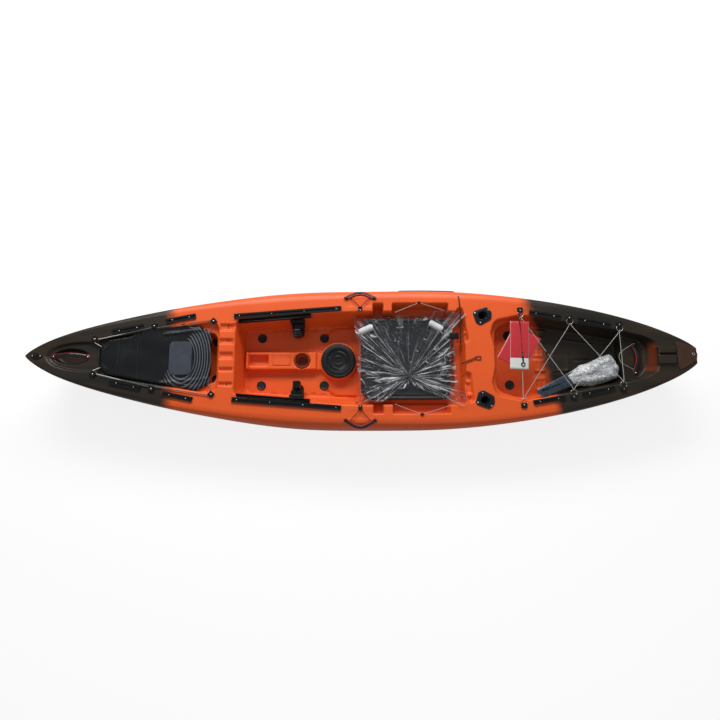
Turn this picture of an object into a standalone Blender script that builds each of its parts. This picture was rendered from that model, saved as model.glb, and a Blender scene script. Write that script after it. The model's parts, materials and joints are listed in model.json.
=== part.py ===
"""Sit-on-top fishing kayak, 13 feet long, with its seat folded and its rudder stowed in the tank well.

Metres. +X points aft, +Y to starboard, +Z up. The origin is on the ground, under the middle of the hull.
"""

import math

import bmesh
import bpy
from mathutils import Matrix
from mathutils import Vector

# Driving sizes of the hull
LENGTH = 3.96
BEAM = 0.85
WALL = 0.005
SHEER_MID = 0.295
SHEER_BOW_RISE = 0.090
SHEER_STERN_RISE = 0.050
RUB_DROP_MID = 0.070
RUB_DROP_END = 0.030
WIDEST_X = 0.25
STERN_FULLNESS = 1.015
HULL_TOP_CLEAR = 0.5

# Gap between two pieces that touch, and the running gap of pieces that move
SEAT_GAP = 0.0003
RUN_GAP = 0.0006

# Front well and its cover
FRONT_WELL_X = (-1.562, -0.856)
FRONT_WELL_HALF = (0.110, 0.226)
FRONT_LEDGE_DEPTH = 0.030
FRONT_TUB_X = (-1.520, -0.872)
FRONT_TUB_HALF = (0.072, 0.160)
FRONT_TUB_FLOOR = 0.170
COVER_OUTLINE = ((-1.541, 0.094), (-1.200, 0.162), (-0.912, 0.172))
COVER_THICK = 0.026

# Foot well, seat bay and what stands in them
COCKPIT_X = (-0.762, 0.632)
COCKPIT_KNEE_X = -0.100
COCKPIT_RIM_HALF = (0.232, 0.284)
FOOT_FLOOR = 0.115
FOOT_FLOOR_X = -0.705
FOOT_FLOOR_HALF = (0.190, 0.225)
FOOT_END_X = -0.010
BAY_LEDGE = 0.175
BAY_X = -0.030
TRENCH_X = (-0.020, 0.580)
TRENCH_HALF = 0.190
TRENCH_FLOOR = 0.130
NOTCHES_X = ((0.077, 0.133), (0.195, 0.530), (0.585, 0.620))
NOTCH_HALF = 0.330
NOTCH_FLOOR = 0.245
CONSOLE_X = (-0.720, -0.280)
CONSOLE_HALF = 0.058
CONSOLE_TOP = 0.165
TRAY_X = (-0.700, -0.588)
TRAY_HALF = 0.027
TRAY_DEPTH = 0.030
PLATE_X = (-0.553, -0.440)
PLATE_HALF = 0.026
PLATE_THICK = 0.003
CUP_X = -0.369
CUP_R = 0.038
CUP_DEPTH = 0.046

# Round hatch
HATCH_X = -0.141
HATCH_BORE_R = 0.083
HATCH_SEAL_INSET = 0.007
HATCH_SEAL_R = HATCH_BORE_R + HATCH_SEAL_INSET
HATCH_LID_LAP = 0.017
HATCH_LID_R = HATCH_BORE_R + HATCH_LID_LAP
HATCH_RING_LAP = 0.020
HATCH_RING_R = HATCH_BORE_R + HATCH_RING_LAP
HATCH_MOUND_LAP = 0.031
HATCH_MOUND_R = HATCH_BORE_R + HATCH_MOUND_LAP
HATCH_MOUND_TOP = 0.150
HATCH_RING_THICK = 0.006
HATCH_SEAL_WIRE = 0.003
HATCH_LID_HEIGHT = 0.022

# Tank well, stern shelf, stern block and stern plate
TANK_RIM = ((0.800, 0.215), (0.970, 0.262), (1.260, 0.214), (1.560, 0.162), (1.700, 0.125), (1.775, 0.085))
TANK_DRAFT = 0.030
TANK_FLOOR = 0.170
TANK_FLOOR_END_X = 1.600
SHELF_Z = 0.245
STERN_BLOCK_X = (1.800, 1.862)
STERN_BLOCK_HALF = 0.052
STERN_BLOCK_RISE = 0.014
STERN_SLOT_WIDTH = 0.008
STERN_SLOT_DEPTH = 0.010
STERN_PLATE_X = (1.872, 1.970)
STERN_PLATE_HALF = (0.108, 0.040)
STERN_PLATE_THICK = 0.003

# Bow handle recess
BOW_RECESS = ((-1.850, 0.018), (-1.625, 0.085), (-1.552, 0.052))
BOW_RECESS_DEPTH = 0.018
BOW_POCKET_X = -1.708
BOW_POCKET_R = 0.057
BOW_POCKET_DEPTH = 0.050

# Tracks: middle, distance from the centre line, half length, and how far the line spreads over its length
SHORT_TRACKS = (
    ("bow_track_fore", -1.393, 0.1675, 0.092, 0.0386),
    ("bow_track_aft", -1.086, 0.235, 0.090, 0.0362),
    ("stern_track_fore", 1.118, 0.258, 0.0945, -0.0322),
    ("stern_track_aft", 1.410, 0.208, 0.0955, -0.0384),
)
GEAR_TRACK = ("gear_track", -0.4435, 0.2775, 0.3255, 0.0510)
TRACK_WIDTH = 0.030
TRACK_HEIGHT = 0.010
TRACK_SLOT = 0.009
TRACK_UNDERCUT = 0.018

# Hooks round the front cover: name, place along the hull, half distance from the centre line, and turn
COVER_HOOKS = (("fore", -1.579, 0.1045, 36.0), ("mid", -1.239, 0.1895, 0.0), ("aft", -0.890, 0.2215, -50.0))
HOOK_WIDTH = 0.016
HOOK_BASE = 0.0045
HOOK_THROAT = 0.008
HOOK_POST = 0.0155
BUNGEE_R = 0.003
BUNGEE_SEAT_Y = HOOK_POST - BUNGEE_R - SEAT_GAP
BUNGEE_SEAT_Z = HOOK_BASE + BUNGEE_R + 2.0 * SEAT_GAP

# Eyes with a ring round the tank well: name, place along the hull, half distance from the centre line
TANK_EYES = (("fore", 0.969, 0.287), ("mid", 1.263, 0.238), ("aft", 1.556, 0.193))
EYE_WIDTH = 0.018
EYE_LENGTH = 0.026
EYE_HEIGHT = 0.0095
RING_R = 0.0155
RING_WIRE = 0.0016
RING_PLACE = 0.0255
RING_HEIGHT = 0.0068

# Foot braces
RAIL_X = (-0.730, -0.315)
RAIL_Z = 0.258
RAIL_HEIGHT = 0.026
RAIL_THICK = 0.014
RAIL_SEAT_DROP = 0.012
PEDAL_X = -0.390
CARRIAGE_HALF = 0.045
FOOTREST_Y = (0.060, 0.125)
PEDAL_PIN_Z = -0.046
PEDAL_PIN_R = 0.004
PEDAL_LUG_R = 0.0065
FOOTREST_LEAN = 0.28

# Scupper plugs: place along the hull, half distance, floor height
SCUPPERS = (
    ("bow", -0.897, 0.117, FRONT_TUB_FLOOR),
    ("foot_fore", -0.628, 0.151, FOOT_FLOOR),
    ("foot_aft", -0.232, 0.151, FOOT_FLOOR),
    ("tank", 0.922, 0.155, TANK_FLOOR),
)
SCUPPER_BORE_R = 0.016
SCUPPER_SEAT_R = 0.026
SCUPPER_SEAT_DEPTH = 0.007
PLUG_LENGTH = 0.045

# Carry handles at the sides
HANDLE_X = -0.004
HANDLE_PAD_INSET = 0.125
HANDLE_PAD_Y = BEAM / 2.0 - HANDLE_PAD_INSET
HANDLE_PAD_HEIGHT = 0.006
HANDLE_SPAN = 0.180
HANDLE_GRIP_R = 0.010
HANDLE_CORD_R = 0.003

# Rod holders
ROD_X = 0.740
ROD_Y = 0.258
ROD_BORE_R = 0.0215
ROD_TUBE_WALL = 0.003
ROD_TUBE_LENGTH = 0.200
ROD_LEAN = (0.35, 0.20, 0.915)
ROD_FLANGE = (
    (-0.056, 0.022), (0.024, 0.050), (0.052, 0.018), (0.050, -0.022), (-0.010, -0.056), (-0.036, -0.046))
ROD_FLANGE_THICK = 0.006

# Seat
SEAT_X = (0.020, 0.526)
SEAT_HALF = 0.236
SEAT_TUBE_R = 0.011
SEAT_FOOT_HEIGHT = 0.012
SEAT_STACK_GAP = 0.018
SEAT_BUMPER_Y = 0.110
SEAT_CORNER = 0.070
SEAT_HINGE_X = 0.540
SEAT_BOLT_R = 0.004
SEAT_EAR_THICK = 0.004
SLING_THICK = 0.008

# Rudder
RUDDER_X = 1.460
RUDDER_Y = -0.020
RUDDER_YAW = math.radians(205.0)
RUDDER_PITCH = math.radians(9.0)
RUDDER_HEAD = 0.110
RUDDER_HEAD_HALF = 0.032
RUDDER_HEAD_HEIGHT = 0.050
BLADE_LENGTH = 0.390
BLADE_HALF = 0.040
BLADE_THICK = 0.008
BLADE_BOLT_R = 0.006

# Colour, roughness and metallic value of each finish
FINISHES = {
    "orange polyethylene": ((0.70, 0.085, 0.020), 0.45, 0.0),
    "black nylon": ((0.012, 0.012, 0.013), 0.45, 0.0),
    "black rubber": ((0.018, 0.018, 0.020), 0.70, 0.0),
    "grey shock cord": ((0.42, 0.42, 0.42), 0.80, 0.0),
    "black aluminium": ((0.015, 0.016, 0.018), 0.35, 0.8),
    "grey mesh fabric": ((0.035, 0.037, 0.042), 0.90, 0.0),
    "brown polyethylene": ((0.075, 0.030, 0.018), 0.50, 0.0),
    "steel": ((0.60, 0.60, 0.60), 0.25, 1.0),
    "dark blade": ((0.030, 0.036, 0.045), 0.30, 0.6),
}

SIDES = (("starboard", 1.0), ("port", -1.0))

# Heights of the gunwale change slope only at these places, so that each fitting stands on a flat stretch
SHEER_KNOTS = (
    -1.98, -1.93, -1.86, -1.62, -1.53, -1.50, -1.285, -1.20, -0.97, -0.80, -0.08,
    0.80, 0.90, 1.005, 1.235, 1.30, 1.527, 1.62, 1.79, 1.87, 1.98,
)

# Half of a hull section: share of the half breadth, and height from keel (0) to rub line (1) to gunwale (2)
SECTION = (
    (0.00, 0.00), (0.20, 0.045), (0.36, 0.00), (0.50, 0.00), (0.74, 0.10), (0.90, 0.38), (0.975, 0.70),
    (1.00, 1.00), (0.985, 1.35), (0.94, 1.82), (0.87, 2.00), (0.00, 2.00),
)
HOLLOW_SECTION = (
    (0.00, 0.045), (0.20, 0.045), (0.50, 0.00), (0.74, 0.10), (0.90, 0.38), (1.00, 1.00), (0.94, 1.82),
    (0.87, 2.00), (0.00, 2.00),
)


def clear_scene():
    """Take every object out of the scene."""
    for obj in list(bpy.data.objects):
        bpy.data.objects.remove(obj, do_unlink=True)


def half_breadth(x):
    """Half breadth of the hull at x: one minus a power of the distance from the widest place."""
    if x < WIDEST_X:
        share = (WIDEST_X - x) / (LENGTH / 2.0 + WIDEST_X)
        body = max(1.0 - share ** 2.1, 0.0) ** 0.70
    else:
        share = (x - WIDEST_X) / ((LENGTH / 2.0) * STERN_FULLNESS - WIDEST_X)
        body = max(1.0 - share ** 2.0, 0.0) ** 0.63
    return BEAM / 2.0 * max(body, 0.012)


def smooth_sheer(x):
    """Gunwale height as a smooth curve that rises to both ends."""
    half = LENGTH / 2.0
    if x < -0.08:
        return SHEER_MID + SHEER_BOW_RISE * ((-0.08 - x) / (half - 0.08)) ** 2.0
    if x > 0.80:
        return SHEER_MID + SHEER_STERN_RISE * ((x - 0.80) / (half - 0.80)) ** 1.5
    return SHEER_MID


def gunwale_z(x):
    """Gunwale height, straight between the knots."""
    knots = SHEER_KNOTS
    place = min(max(x, knots[0]), knots[-1])
    for low, high in zip(knots, knots[1:]):
        if place <= high:
            share = (place - low) / (high - low)
            return smooth_sheer(low) * (1.0 - share) + smooth_sheer(high) * share
    return smooth_sheer(knots[-1])


def keel_z(x):
    """Keel height: flat amidships, a little rocker, then the stem and the stern post."""
    if x < -1.20:
        share = min((-1.20 - x) / (LENGTH / 2.0 - 1.20), 1.0)
        return 0.050 * share ** 2.0 + 0.270 * share ** 9.0
    if x > 1.30:
        share = min((x - 1.30) / (LENGTH / 2.0 - 1.30), 1.0)
        return 0.040 * share ** 2.0 + 0.180 * share ** 8.0
    return 0.0


def rub_z(x):
    """Height of the widest line."""
    share = min(abs(x) / (LENGTH / 2.0), 1.0)
    return gunwale_z(x) - RUB_DROP_MID + (RUB_DROP_MID - RUB_DROP_END) * share ** 2.0


def hull_ring(x, inset):
    """Points of one hull section, from the deck's middle down the starboard side and up the port side.

    The hollow, which has an inset, goes without the keel's tunnel and the finer points of the side.
    """
    outward = x + math.copysign(inset, x - WIDEST_X)
    breadth = half_breadth(outward) - 1.3 * inset
    keel = keel_z(x + math.copysign(inset, x)) + inset
    rub = rub_z(x)
    deck = gunwale_z(x) - inset
    half = []
    for share, level in (HOLLOW_SECTION if inset else SECTION):
        if level <= 1.0:
            z = keel + level * (rub - keel)
        else:
            z = rub + (level - 1.0) * (deck - rub)
        half.append((share * breadth, z))
    starboard = [(x, y, z) for y, z in reversed(half)]
    port = [(x, -y, z) for y, z in half[1:-1]]
    return starboard + port


def offset_outline(points, distance):
    """Move each point of a closed outline outwards by a distance."""
    area = 0.0
    count = len(points)
    for here, there in zip(points, points[1:] + points[:1]):
        area += here[0] * there[1] - there[0] * here[1]
    turn = math.copysign(1.0, area)
    moved = []
    for index in range(count):
        before = Vector(points[index - 1])
        here = Vector(points[index])
        after = Vector(points[(index + 1) % count])
        first = (here - before).normalized()
        second = (after - here).normalized()
        normal = Vector((first.y + second.y, -first.x - second.x)) * turn
        normal.normalize()
        flat = Vector((first.y, -first.x)) * turn
        stretch = max(normal.dot(flat), 0.4)
        moved.append(tuple(here + normal * (distance / stretch)))
    return moved


def rounded_outline(corners, radii, steps=3):
    """Closed outline through the corners, each rounded by an arc of its radius."""
    points = []
    count = len(corners)
    for index in range(count):
        corner = Vector(corners[index])
        before = Vector(corners[index - 1]) - corner
        after = Vector(corners[(index + 1) % count]) - corner
        angle = before.angle(after)
        radius = radii[index] if isinstance(radii, (list, tuple)) else radii
        reach = min(radius / math.tan(angle / 2.0), 0.48 * before.length, 0.48 * after.length)
        radius = reach * math.tan(angle / 2.0)
        centre = corner + (before.normalized() + after.normalized()).normalized() * (
            radius / math.sin(angle / 2.0))
        start = corner + before.normalized() * reach - centre
        stop = corner + after.normalized() * reach - centre
        sweep = start.angle_signed(stop) if start.length > 1e-9 else 0.0
        for step in range(steps + 1):
            turn = -sweep * step / steps
            spoke = Matrix.Rotation(turn, 2) @ start
            points.append(tuple(centre + spoke))
    return points


def mirrored_outline(half, radii, steps=3):
    """Outline of a shape that is alike on both sides, from its starboard corners bow to stern."""
    corners = list(half) + [(x, -y) for x, y in reversed(half)]
    spread = list(radii) + list(reversed(radii))
    return rounded_outline(corners, spread, steps)


def box_outline(low_x, high_x, low_y, high_y, radius, steps=2):
    """Rectangle with rounded corners."""
    corners = [(low_x, high_y), (high_x, high_y), (high_x, low_y), (low_x, low_y)]
    return rounded_outline(corners, radius, steps)


def circle_outline(x, y, radius, count):
    """Circle as an outline."""
    points = []
    for index in range(count):
        angle = 2.0 * math.pi * index / count
        points.append((x + radius * math.cos(angle), y + radius * math.sin(angle)))
    return points


def add_object(name, verts, faces):
    """New mesh object whose faces point out."""
    mesh = bpy.data.meshes.new(name)
    mesh.from_pydata(verts, [], faces)
    shape = bmesh.new()
    shape.from_mesh(mesh)
    bmesh.ops.recalc_face_normals(shape, faces=shape.faces)
    shape.to_mesh(mesh)
    shape.free()
    obj = bpy.data.objects.new(name, mesh)
    bpy.context.collection.objects.link(obj)
    return obj


def finish_object(obj, finish):
    """Give an object a material of its own."""
    colour, roughness, metallic = FINISHES[finish]
    material = bpy.data.materials.new(obj.name + " " + finish)
    material.use_nodes = True
    shader = material.node_tree.nodes["Principled BSDF"]
    shader.inputs["Base Color"].default_value = (*colour, 1.0)
    shader.inputs["Roughness"].default_value = roughness
    shader.inputs["Metallic"].default_value = metallic
    obj.data.materials.append(material)
    return obj


def loft(name, rings):
    """Closed solid through rings of equal length, with a face over each end."""
    count = len(rings[0])
    verts = [point for ring in rings for point in ring]
    faces = [tuple(range(count))]
    for level in range(len(rings) - 1):
        low = level * count
        high = low + count
        for index in range(count):
            following = (index + 1) % count
            faces.append((low + index, low + following, high + following, high + index))
    last = (len(rings) - 1) * count
    faces.append(tuple(range(last + count - 1, last - 1, -1)))
    return add_object(name, verts, faces)


def stack(name, levels):
    """Solid through outlines stacked in height. A height is a number or a function of x."""
    rings = []
    for outline, height in levels:
        if callable(height):
            rings.append([(x, y, height(x)) for x, y in outline])
        else:
            rings.append([(x, y, height) for x, y in outline])
    return loft(name, rings)


def turned(name, profile, segments=24):
    """Closed solid of revolution about Z. The profile's first and last points lie on the axis."""
    rings = []
    for radius, height in profile[1:-1]:
        rings.append([(x, y, height) for x, y in circle_outline(0.0, 0.0, radius, segments)])
    verts = [(0.0, 0.0, profile[0][1])]
    for ring in rings:
        verts.extend(ring)
    verts.append((0.0, 0.0, profile[-1][1]))
    last = len(verts) - 1
    faces = []
    for index in range(segments):
        following = (index + 1) % segments
        faces.append((0, 1 + following, 1 + index))
        faces.append((last, last - segments + index, last - segments + following))
        for level in range(len(rings) - 1):
            low = 1 + level * segments
            high = low + segments
            faces.append((low + index, low + following, high + following, high + index))
    return add_object(name, verts, faces)


def turned_ring(name, profile, segments=24):
    """Closed solid of revolution about Z with a hole in its middle, from a closed profile."""
    count = len(profile)
    verts = []
    for index in range(segments):
        angle = 2.0 * math.pi * index / segments
        for radius, height in profile:
            verts.append((radius * math.cos(angle), radius * math.sin(angle), height))
    faces = []
    for index in range(segments):
        low = index * count
        high = ((index + 1) % segments) * count
        for step in range(count):
            following = (step + 1) % count
            faces.append((low + step, low + following, high + following, high + step))
    return add_object(name, verts, faces)


def bar(name, section, length):
    """Section in local Y and Z, pulled out along local X, with its middle at the origin."""
    rings = []
    for x in (-length / 2.0, length / 2.0):
        rings.append([(x, y, z) for y, z in section])
    return loft(name, rings)


def block(name, low, high):
    """Box between two corners."""
    outline = [(low[0], low[1]), (high[0], low[1]), (high[0], high[1]), (low[0], high[1])]
    return stack(name, [(outline, low[2]), (outline, high[2])])


def tube_mesh(name, points, radius, sides=10, closed=False):
    """Round tube along points. Its sides stay aligned with the upward direction."""
    count = len(points)
    rings = []
    for index in range(count):
        if closed:
            before = Vector(points[index - 1])
            after = Vector(points[(index + 1) % count])
        else:
            before = Vector(points[max(index - 1, 0)])
            after = Vector(points[min(index + 1, count - 1)])
        along = (after - before).normalized()
        side = along.cross(Vector((0.0, 0.0, 1.0))).normalized()
        up = side.cross(along)
        ring = []
        for step in range(sides):
            angle = 2.0 * math.pi * (step + 0.5) / sides
            spoke = side * math.cos(angle) + up * math.sin(angle)
            ring.append(tuple(Vector(points[index]) + spoke * radius))
        rings.append(ring)
    if not closed:
        return loft(name, rings)
    verts = [point for ring in rings for point in ring]
    faces = []
    for index in range(count):
        low = index * sides
        high = ((index + 1) % count) * sides
        for step in range(sides):
            following = (step + 1) % sides
            faces.append((low + step, low + following, high + following, high + step))
    return add_object(name, verts, faces)


def boolean(target, other, operation):
    """Live Boolean on the target. The other object becomes a hidden cutter."""
    modifier = target.modifiers.new(operation.lower() + " " + other.name, "BOOLEAN")
    modifier.operation = operation
    modifier.solver = "EXACT"
    modifier.object = other
    other.hide_render = True
    other.display_type = "WIRE"
    return target


def cut(target, *cutters):
    """Take each cutter away from the target."""
    for cutter in cutters:
        boolean(target, cutter, "DIFFERENCE")
    return target


def join(target, *others):
    """Unite the target with each other solid."""
    for other in others:
        boolean(target, other, "UNION")
    return target


def deck_matrix(x, y, yaw=0.0, lift=SEAT_GAP):
    """Place and turn of a fitting that stands on the side deck at x, y."""
    reach = 0.001
    slope = (gunwale_z(x + reach) - gunwale_z(x - reach)) / (2.0 * reach)
    tilt = Matrix.Rotation(-math.atan(slope), 4, "Y")
    turn = Matrix.Rotation(yaw, 4, "Z")
    normal = tilt @ Vector((0.0, 0.0, 1.0))
    place = Vector((x, y, gunwale_z(x))) + normal * lift
    return Matrix.Translation(place) @ tilt @ turn


def ledge_z(x, depth, span):
    """Plane that runs a depth below the gunwale's ends over a span."""
    share = (x - span[0]) / (span[1] - span[0])
    return gunwale_z(span[0]) * (1.0 - share) + gunwale_z(span[1]) * share - depth


def slanted(depth, span):
    """Height function of such a plane."""
    return lambda x: ledge_z(x, depth, span)


def well(name, floor, rim, height, rim_z, grow):
    """Well with drafted walls: floor outline, rim outline, floor height and rim height, all grown alike."""
    wide_floor = offset_outline(floor, grow) if grow else floor
    wide_rim = offset_outline(rim, grow) if grow else rim
    low = (lambda x: height(x) - grow) if callable(height) else height - grow
    return stack(name, [(wide_floor, low), (wide_rim, rim_z), (wide_rim, HULL_TOP_CLEAR)])


def rim_half(x):
    """Half width of the cockpit's rim."""
    share = (x - COCKPIT_X[0]) / (COCKPIT_KNEE_X - COCKPIT_X[0])
    share = min(max(share, 0.0), 1.0)
    return COCKPIT_RIM_HALF[0] * (1.0 - share) + COCKPIT_RIM_HALF[1] * share


RAIL_ANGLE = math.atan((COCKPIT_RIM_HALF[1] - COCKPIT_RIM_HALF[0]) / (COCKPIT_KNEE_X - COCKPIT_X[0]))
RAIL_OFFSET = RAIL_THICK / 2.0 + SEAT_GAP


def rail_matrix(x, side, z):
    """Place of the foot brace rail's middle line at x. Local X runs aft along the rail, local Y outboard."""
    flip = Matrix.Diagonal((1.0, side, 1.0, 1.0))
    turn = Matrix.Rotation(RAIL_ANGLE, 4, "Z")
    y = rim_half(x) - RAIL_OFFSET / math.cos(RAIL_ANGLE)
    return flip @ Matrix.Translation((x, y, z)) @ turn @ flip


def well_solids(grow):
    """Solids of every well, pocket and notch, grown by the same distance on all sides."""
    tag = "jacket" if grow else "space"
    rim_clear = 0.004
    solids = []
    recess = mirrored_outline(BOW_RECESS, (0.015, 0.060, 0.030))
    span = (BOW_RECESS[0][0], BOW_RECESS[-1][0])
    solids.append(well(
        "bow recess " + tag, offset_outline(recess, -0.008), recess,
        slanted(BOW_RECESS_DEPTH, span), slanted(-rim_clear, span), grow))
    pocket = circle_outline(BOW_POCKET_X, 0.0, BOW_POCKET_R, 16)
    solids.append(well(
        "bow pocket " + tag, offset_outline(pocket, -0.010), pocket,
        slanted(BOW_POCKET_DEPTH, span), slanted(BOW_RECESS_DEPTH - rim_clear, span), grow))
    front = mirrored_outline(
        ((FRONT_WELL_X[0], FRONT_WELL_HALF[0]), (FRONT_WELL_X[1], FRONT_WELL_HALF[1])), (0.030, 0.050))
    solids.append(well(
        "front well " + tag, offset_outline(front, -0.006), front,
        slanted(FRONT_LEDGE_DEPTH, FRONT_WELL_X), slanted(-rim_clear, FRONT_WELL_X), grow))
    tub = mirrored_outline(
        ((FRONT_TUB_X[0], FRONT_TUB_HALF[0]), (FRONT_TUB_X[1], FRONT_TUB_HALF[1])), (0.030, 0.040))
    solids.append(well(
        "front tub " + tag, offset_outline(tub, -0.010), tub,
        FRONT_TUB_FLOOR, slanted(FRONT_LEDGE_DEPTH - rim_clear, FRONT_WELL_X), grow))
    foot_rim = mirrored_outline(
        ((COCKPIT_X[0], COCKPIT_RIM_HALF[0]), (COCKPIT_KNEE_X, COCKPIT_RIM_HALF[1]),
         (FOOT_END_X, COCKPIT_RIM_HALF[1])), (0.040, 0.300, 0.004))
    foot_floor = mirrored_outline(
        ((FOOT_FLOOR_X, FOOT_FLOOR_HALF[0]), (COCKPIT_KNEE_X, FOOT_FLOOR_HALF[1]),
         (FOOT_END_X, FOOT_FLOOR_HALF[1])), (0.040, 0.300, 0.004))
    solids.append(well(
        "foot well " + tag, foot_floor, foot_rim, FOOT_FLOOR, lambda x: gunwale_z(x) + rim_clear, grow))
    bay_corners = ((BAY_X, COCKPIT_RIM_HALF[1]), (COCKPIT_X[1], COCKPIT_RIM_HALF[1]))
    bay = mirrored_outline(bay_corners, (0.004, 0.030))
    bay_floor = mirrored_outline(
        ((BAY_X, COCKPIT_RIM_HALF[1] - 0.010), (COCKPIT_X[1] - 0.012, COCKPIT_RIM_HALF[1] - 0.010)),
        (0.004, 0.030))
    solids.append(well("seat bay " + tag, bay_floor, bay, BAY_LEDGE, SHEER_MID + rim_clear, grow))
    trench = mirrored_outline(((TRENCH_X[0], TRENCH_HALF), (TRENCH_X[1], TRENCH_HALF)), (0.004, 0.040))
    solids.append(well(
        "seat trench " + tag, offset_outline(trench, -0.006), trench,
        TRENCH_FLOOR, BAY_LEDGE + rim_clear, grow))
    for side_name, side in SIDES:
        for number, (low_x, high_x) in enumerate(NOTCHES_X, start=1):
            low = (low_x - grow, side * (COCKPIT_RIM_HALF[1] - 0.030), NOTCH_FLOOR - grow)
            high = (high_x + grow, side * (NOTCH_HALF + grow), HULL_TOP_CLEAR)
            solids.append(block(f"{side_name} notch {number} {tag}", low, high))
        rail_length = RAIL_X[1] - RAIL_X[0] + 0.020
        middle = (RAIL_X[0] + RAIL_X[1]) / 2.0
        seat = block(
            f"{side_name} rail seat {tag}",
            (-rail_length / 2.0 - grow, -0.050, -RAIL_HEIGHT / 2.0 - RAIL_SEAT_DROP - grow),
            (rail_length / 2.0 + grow, RAIL_OFFSET + grow, HULL_TOP_CLEAR - RAIL_Z))
        if side < 0.0:
            seat.data.transform(Matrix.Diagonal((1.0, -1.0, 1.0, 1.0)))
            seat.data.flip_normals()
        seat.matrix_world = rail_matrix(middle, side, RAIL_Z)
        solids.append(seat)
    rim_radii = (0.090, 0.200, 0.300, 0.250, 0.060, 0.050)
    rim = mirrored_outline(TANK_RIM, rim_radii)
    upper = [(x, y - TANK_DRAFT * 0.4) for x, y in TANK_RIM]
    upper[0] = (upper[0][0] + 0.014, upper[0][1])
    upper[-1] = (upper[-1][0] - 0.012, upper[-1][1])
    shelf = mirrored_outline(upper, rim_radii)
    solids.append(well(
        "tank upper " + tag, shelf, rim, SHELF_Z, lambda x: gunwale_z(x) + rim_clear, grow))
    floor_rim = [(x, y - TANK_DRAFT * 0.5) for x, y in TANK_RIM[:4]]
    floor_rim[0] = (floor_rim[0][0] + 0.020, floor_rim[0][1])
    floor_rim[-1] = (TANK_FLOOR_END_X, floor_rim[-1][1])
    floor = [(x, y - TANK_DRAFT * 0.5) for x, y in floor_rim]
    floor[0] = (floor[0][0] + 0.016, floor[0][1])
    floor[-1] = (floor[-1][0] - 0.016, floor[-1][1])
    radii = (0.080, 0.200, 0.300, 0.040)
    solids.append(well(
        "tank floor " + tag, mirrored_outline(floor, radii), mirrored_outline(floor_rim, radii),
        TANK_FLOOR, SHELF_Z + rim_clear, grow))
    return solids


def upright_cylinder(name, x, y, radius, low, high, count=16):
    """Upright cylinder."""
    circle = circle_outline(x, y, radius, count)
    return stack(name, [(circle, low), (circle, high)])


def console_pockets(grow):
    """Tray and cup recess in the console, grown by the same distance."""
    tag = "jacket" if grow else "space"
    tray = box_outline(TRAY_X[0], TRAY_X[1], -TRAY_HALF, TRAY_HALF, 0.006)
    cup = circle_outline(CUP_X, 0.0, CUP_R, 20)
    above = CONSOLE_TOP + 0.05
    rim = CONSOLE_TOP + 0.002
    pockets = []
    for name, outline, depth in (("tray", tray, TRAY_DEPTH), ("cup", cup, CUP_DEPTH)):
        low = offset_outline(outline, grow - 0.003)
        high = offset_outline(outline, grow) if grow else outline
        pockets.append(stack(
            f"console {name} {tag}", [(low, CONSOLE_TOP - depth - grow), (high, rim), (high, above)]))
    return pockets


def rod_axis(side):
    """Upward direction of a rod holder's tube."""
    return Vector((ROD_LEAN[0], ROD_LEAN[1] * side, ROD_LEAN[2])).normalized()


def leaning_cylinder(name, side, radius, low, high, count=20):
    """Cylinder along a rod holder's axis, from low to high measured from the deck."""
    axis = rod_axis(side)
    solid = upright_cylinder(name, 0.0, 0.0, radius, low, high, count)
    turn = Vector((0.0, 0.0, 1.0)).rotation_difference(axis).to_matrix().to_4x4()
    solid.matrix_world = Matrix.Translation((ROD_X, ROD_Y * side, gunwale_z(ROD_X))) @ turn
    return solid


def hull_stations(start, stop):
    """Places of the hull's sections: the knots of the sheer, and some between them."""
    extra = (-1.965, -1.90, -1.74, -1.40, -1.08, -0.56, -0.32, 0.20, 0.50, 1.12, 1.41, 1.71, 1.93, 1.96)
    places = sorted(set(SHEER_KNOTS) | set(extra))
    inside = [x for x in places if start < x < stop]
    return [start] + inside + [stop]


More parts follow.
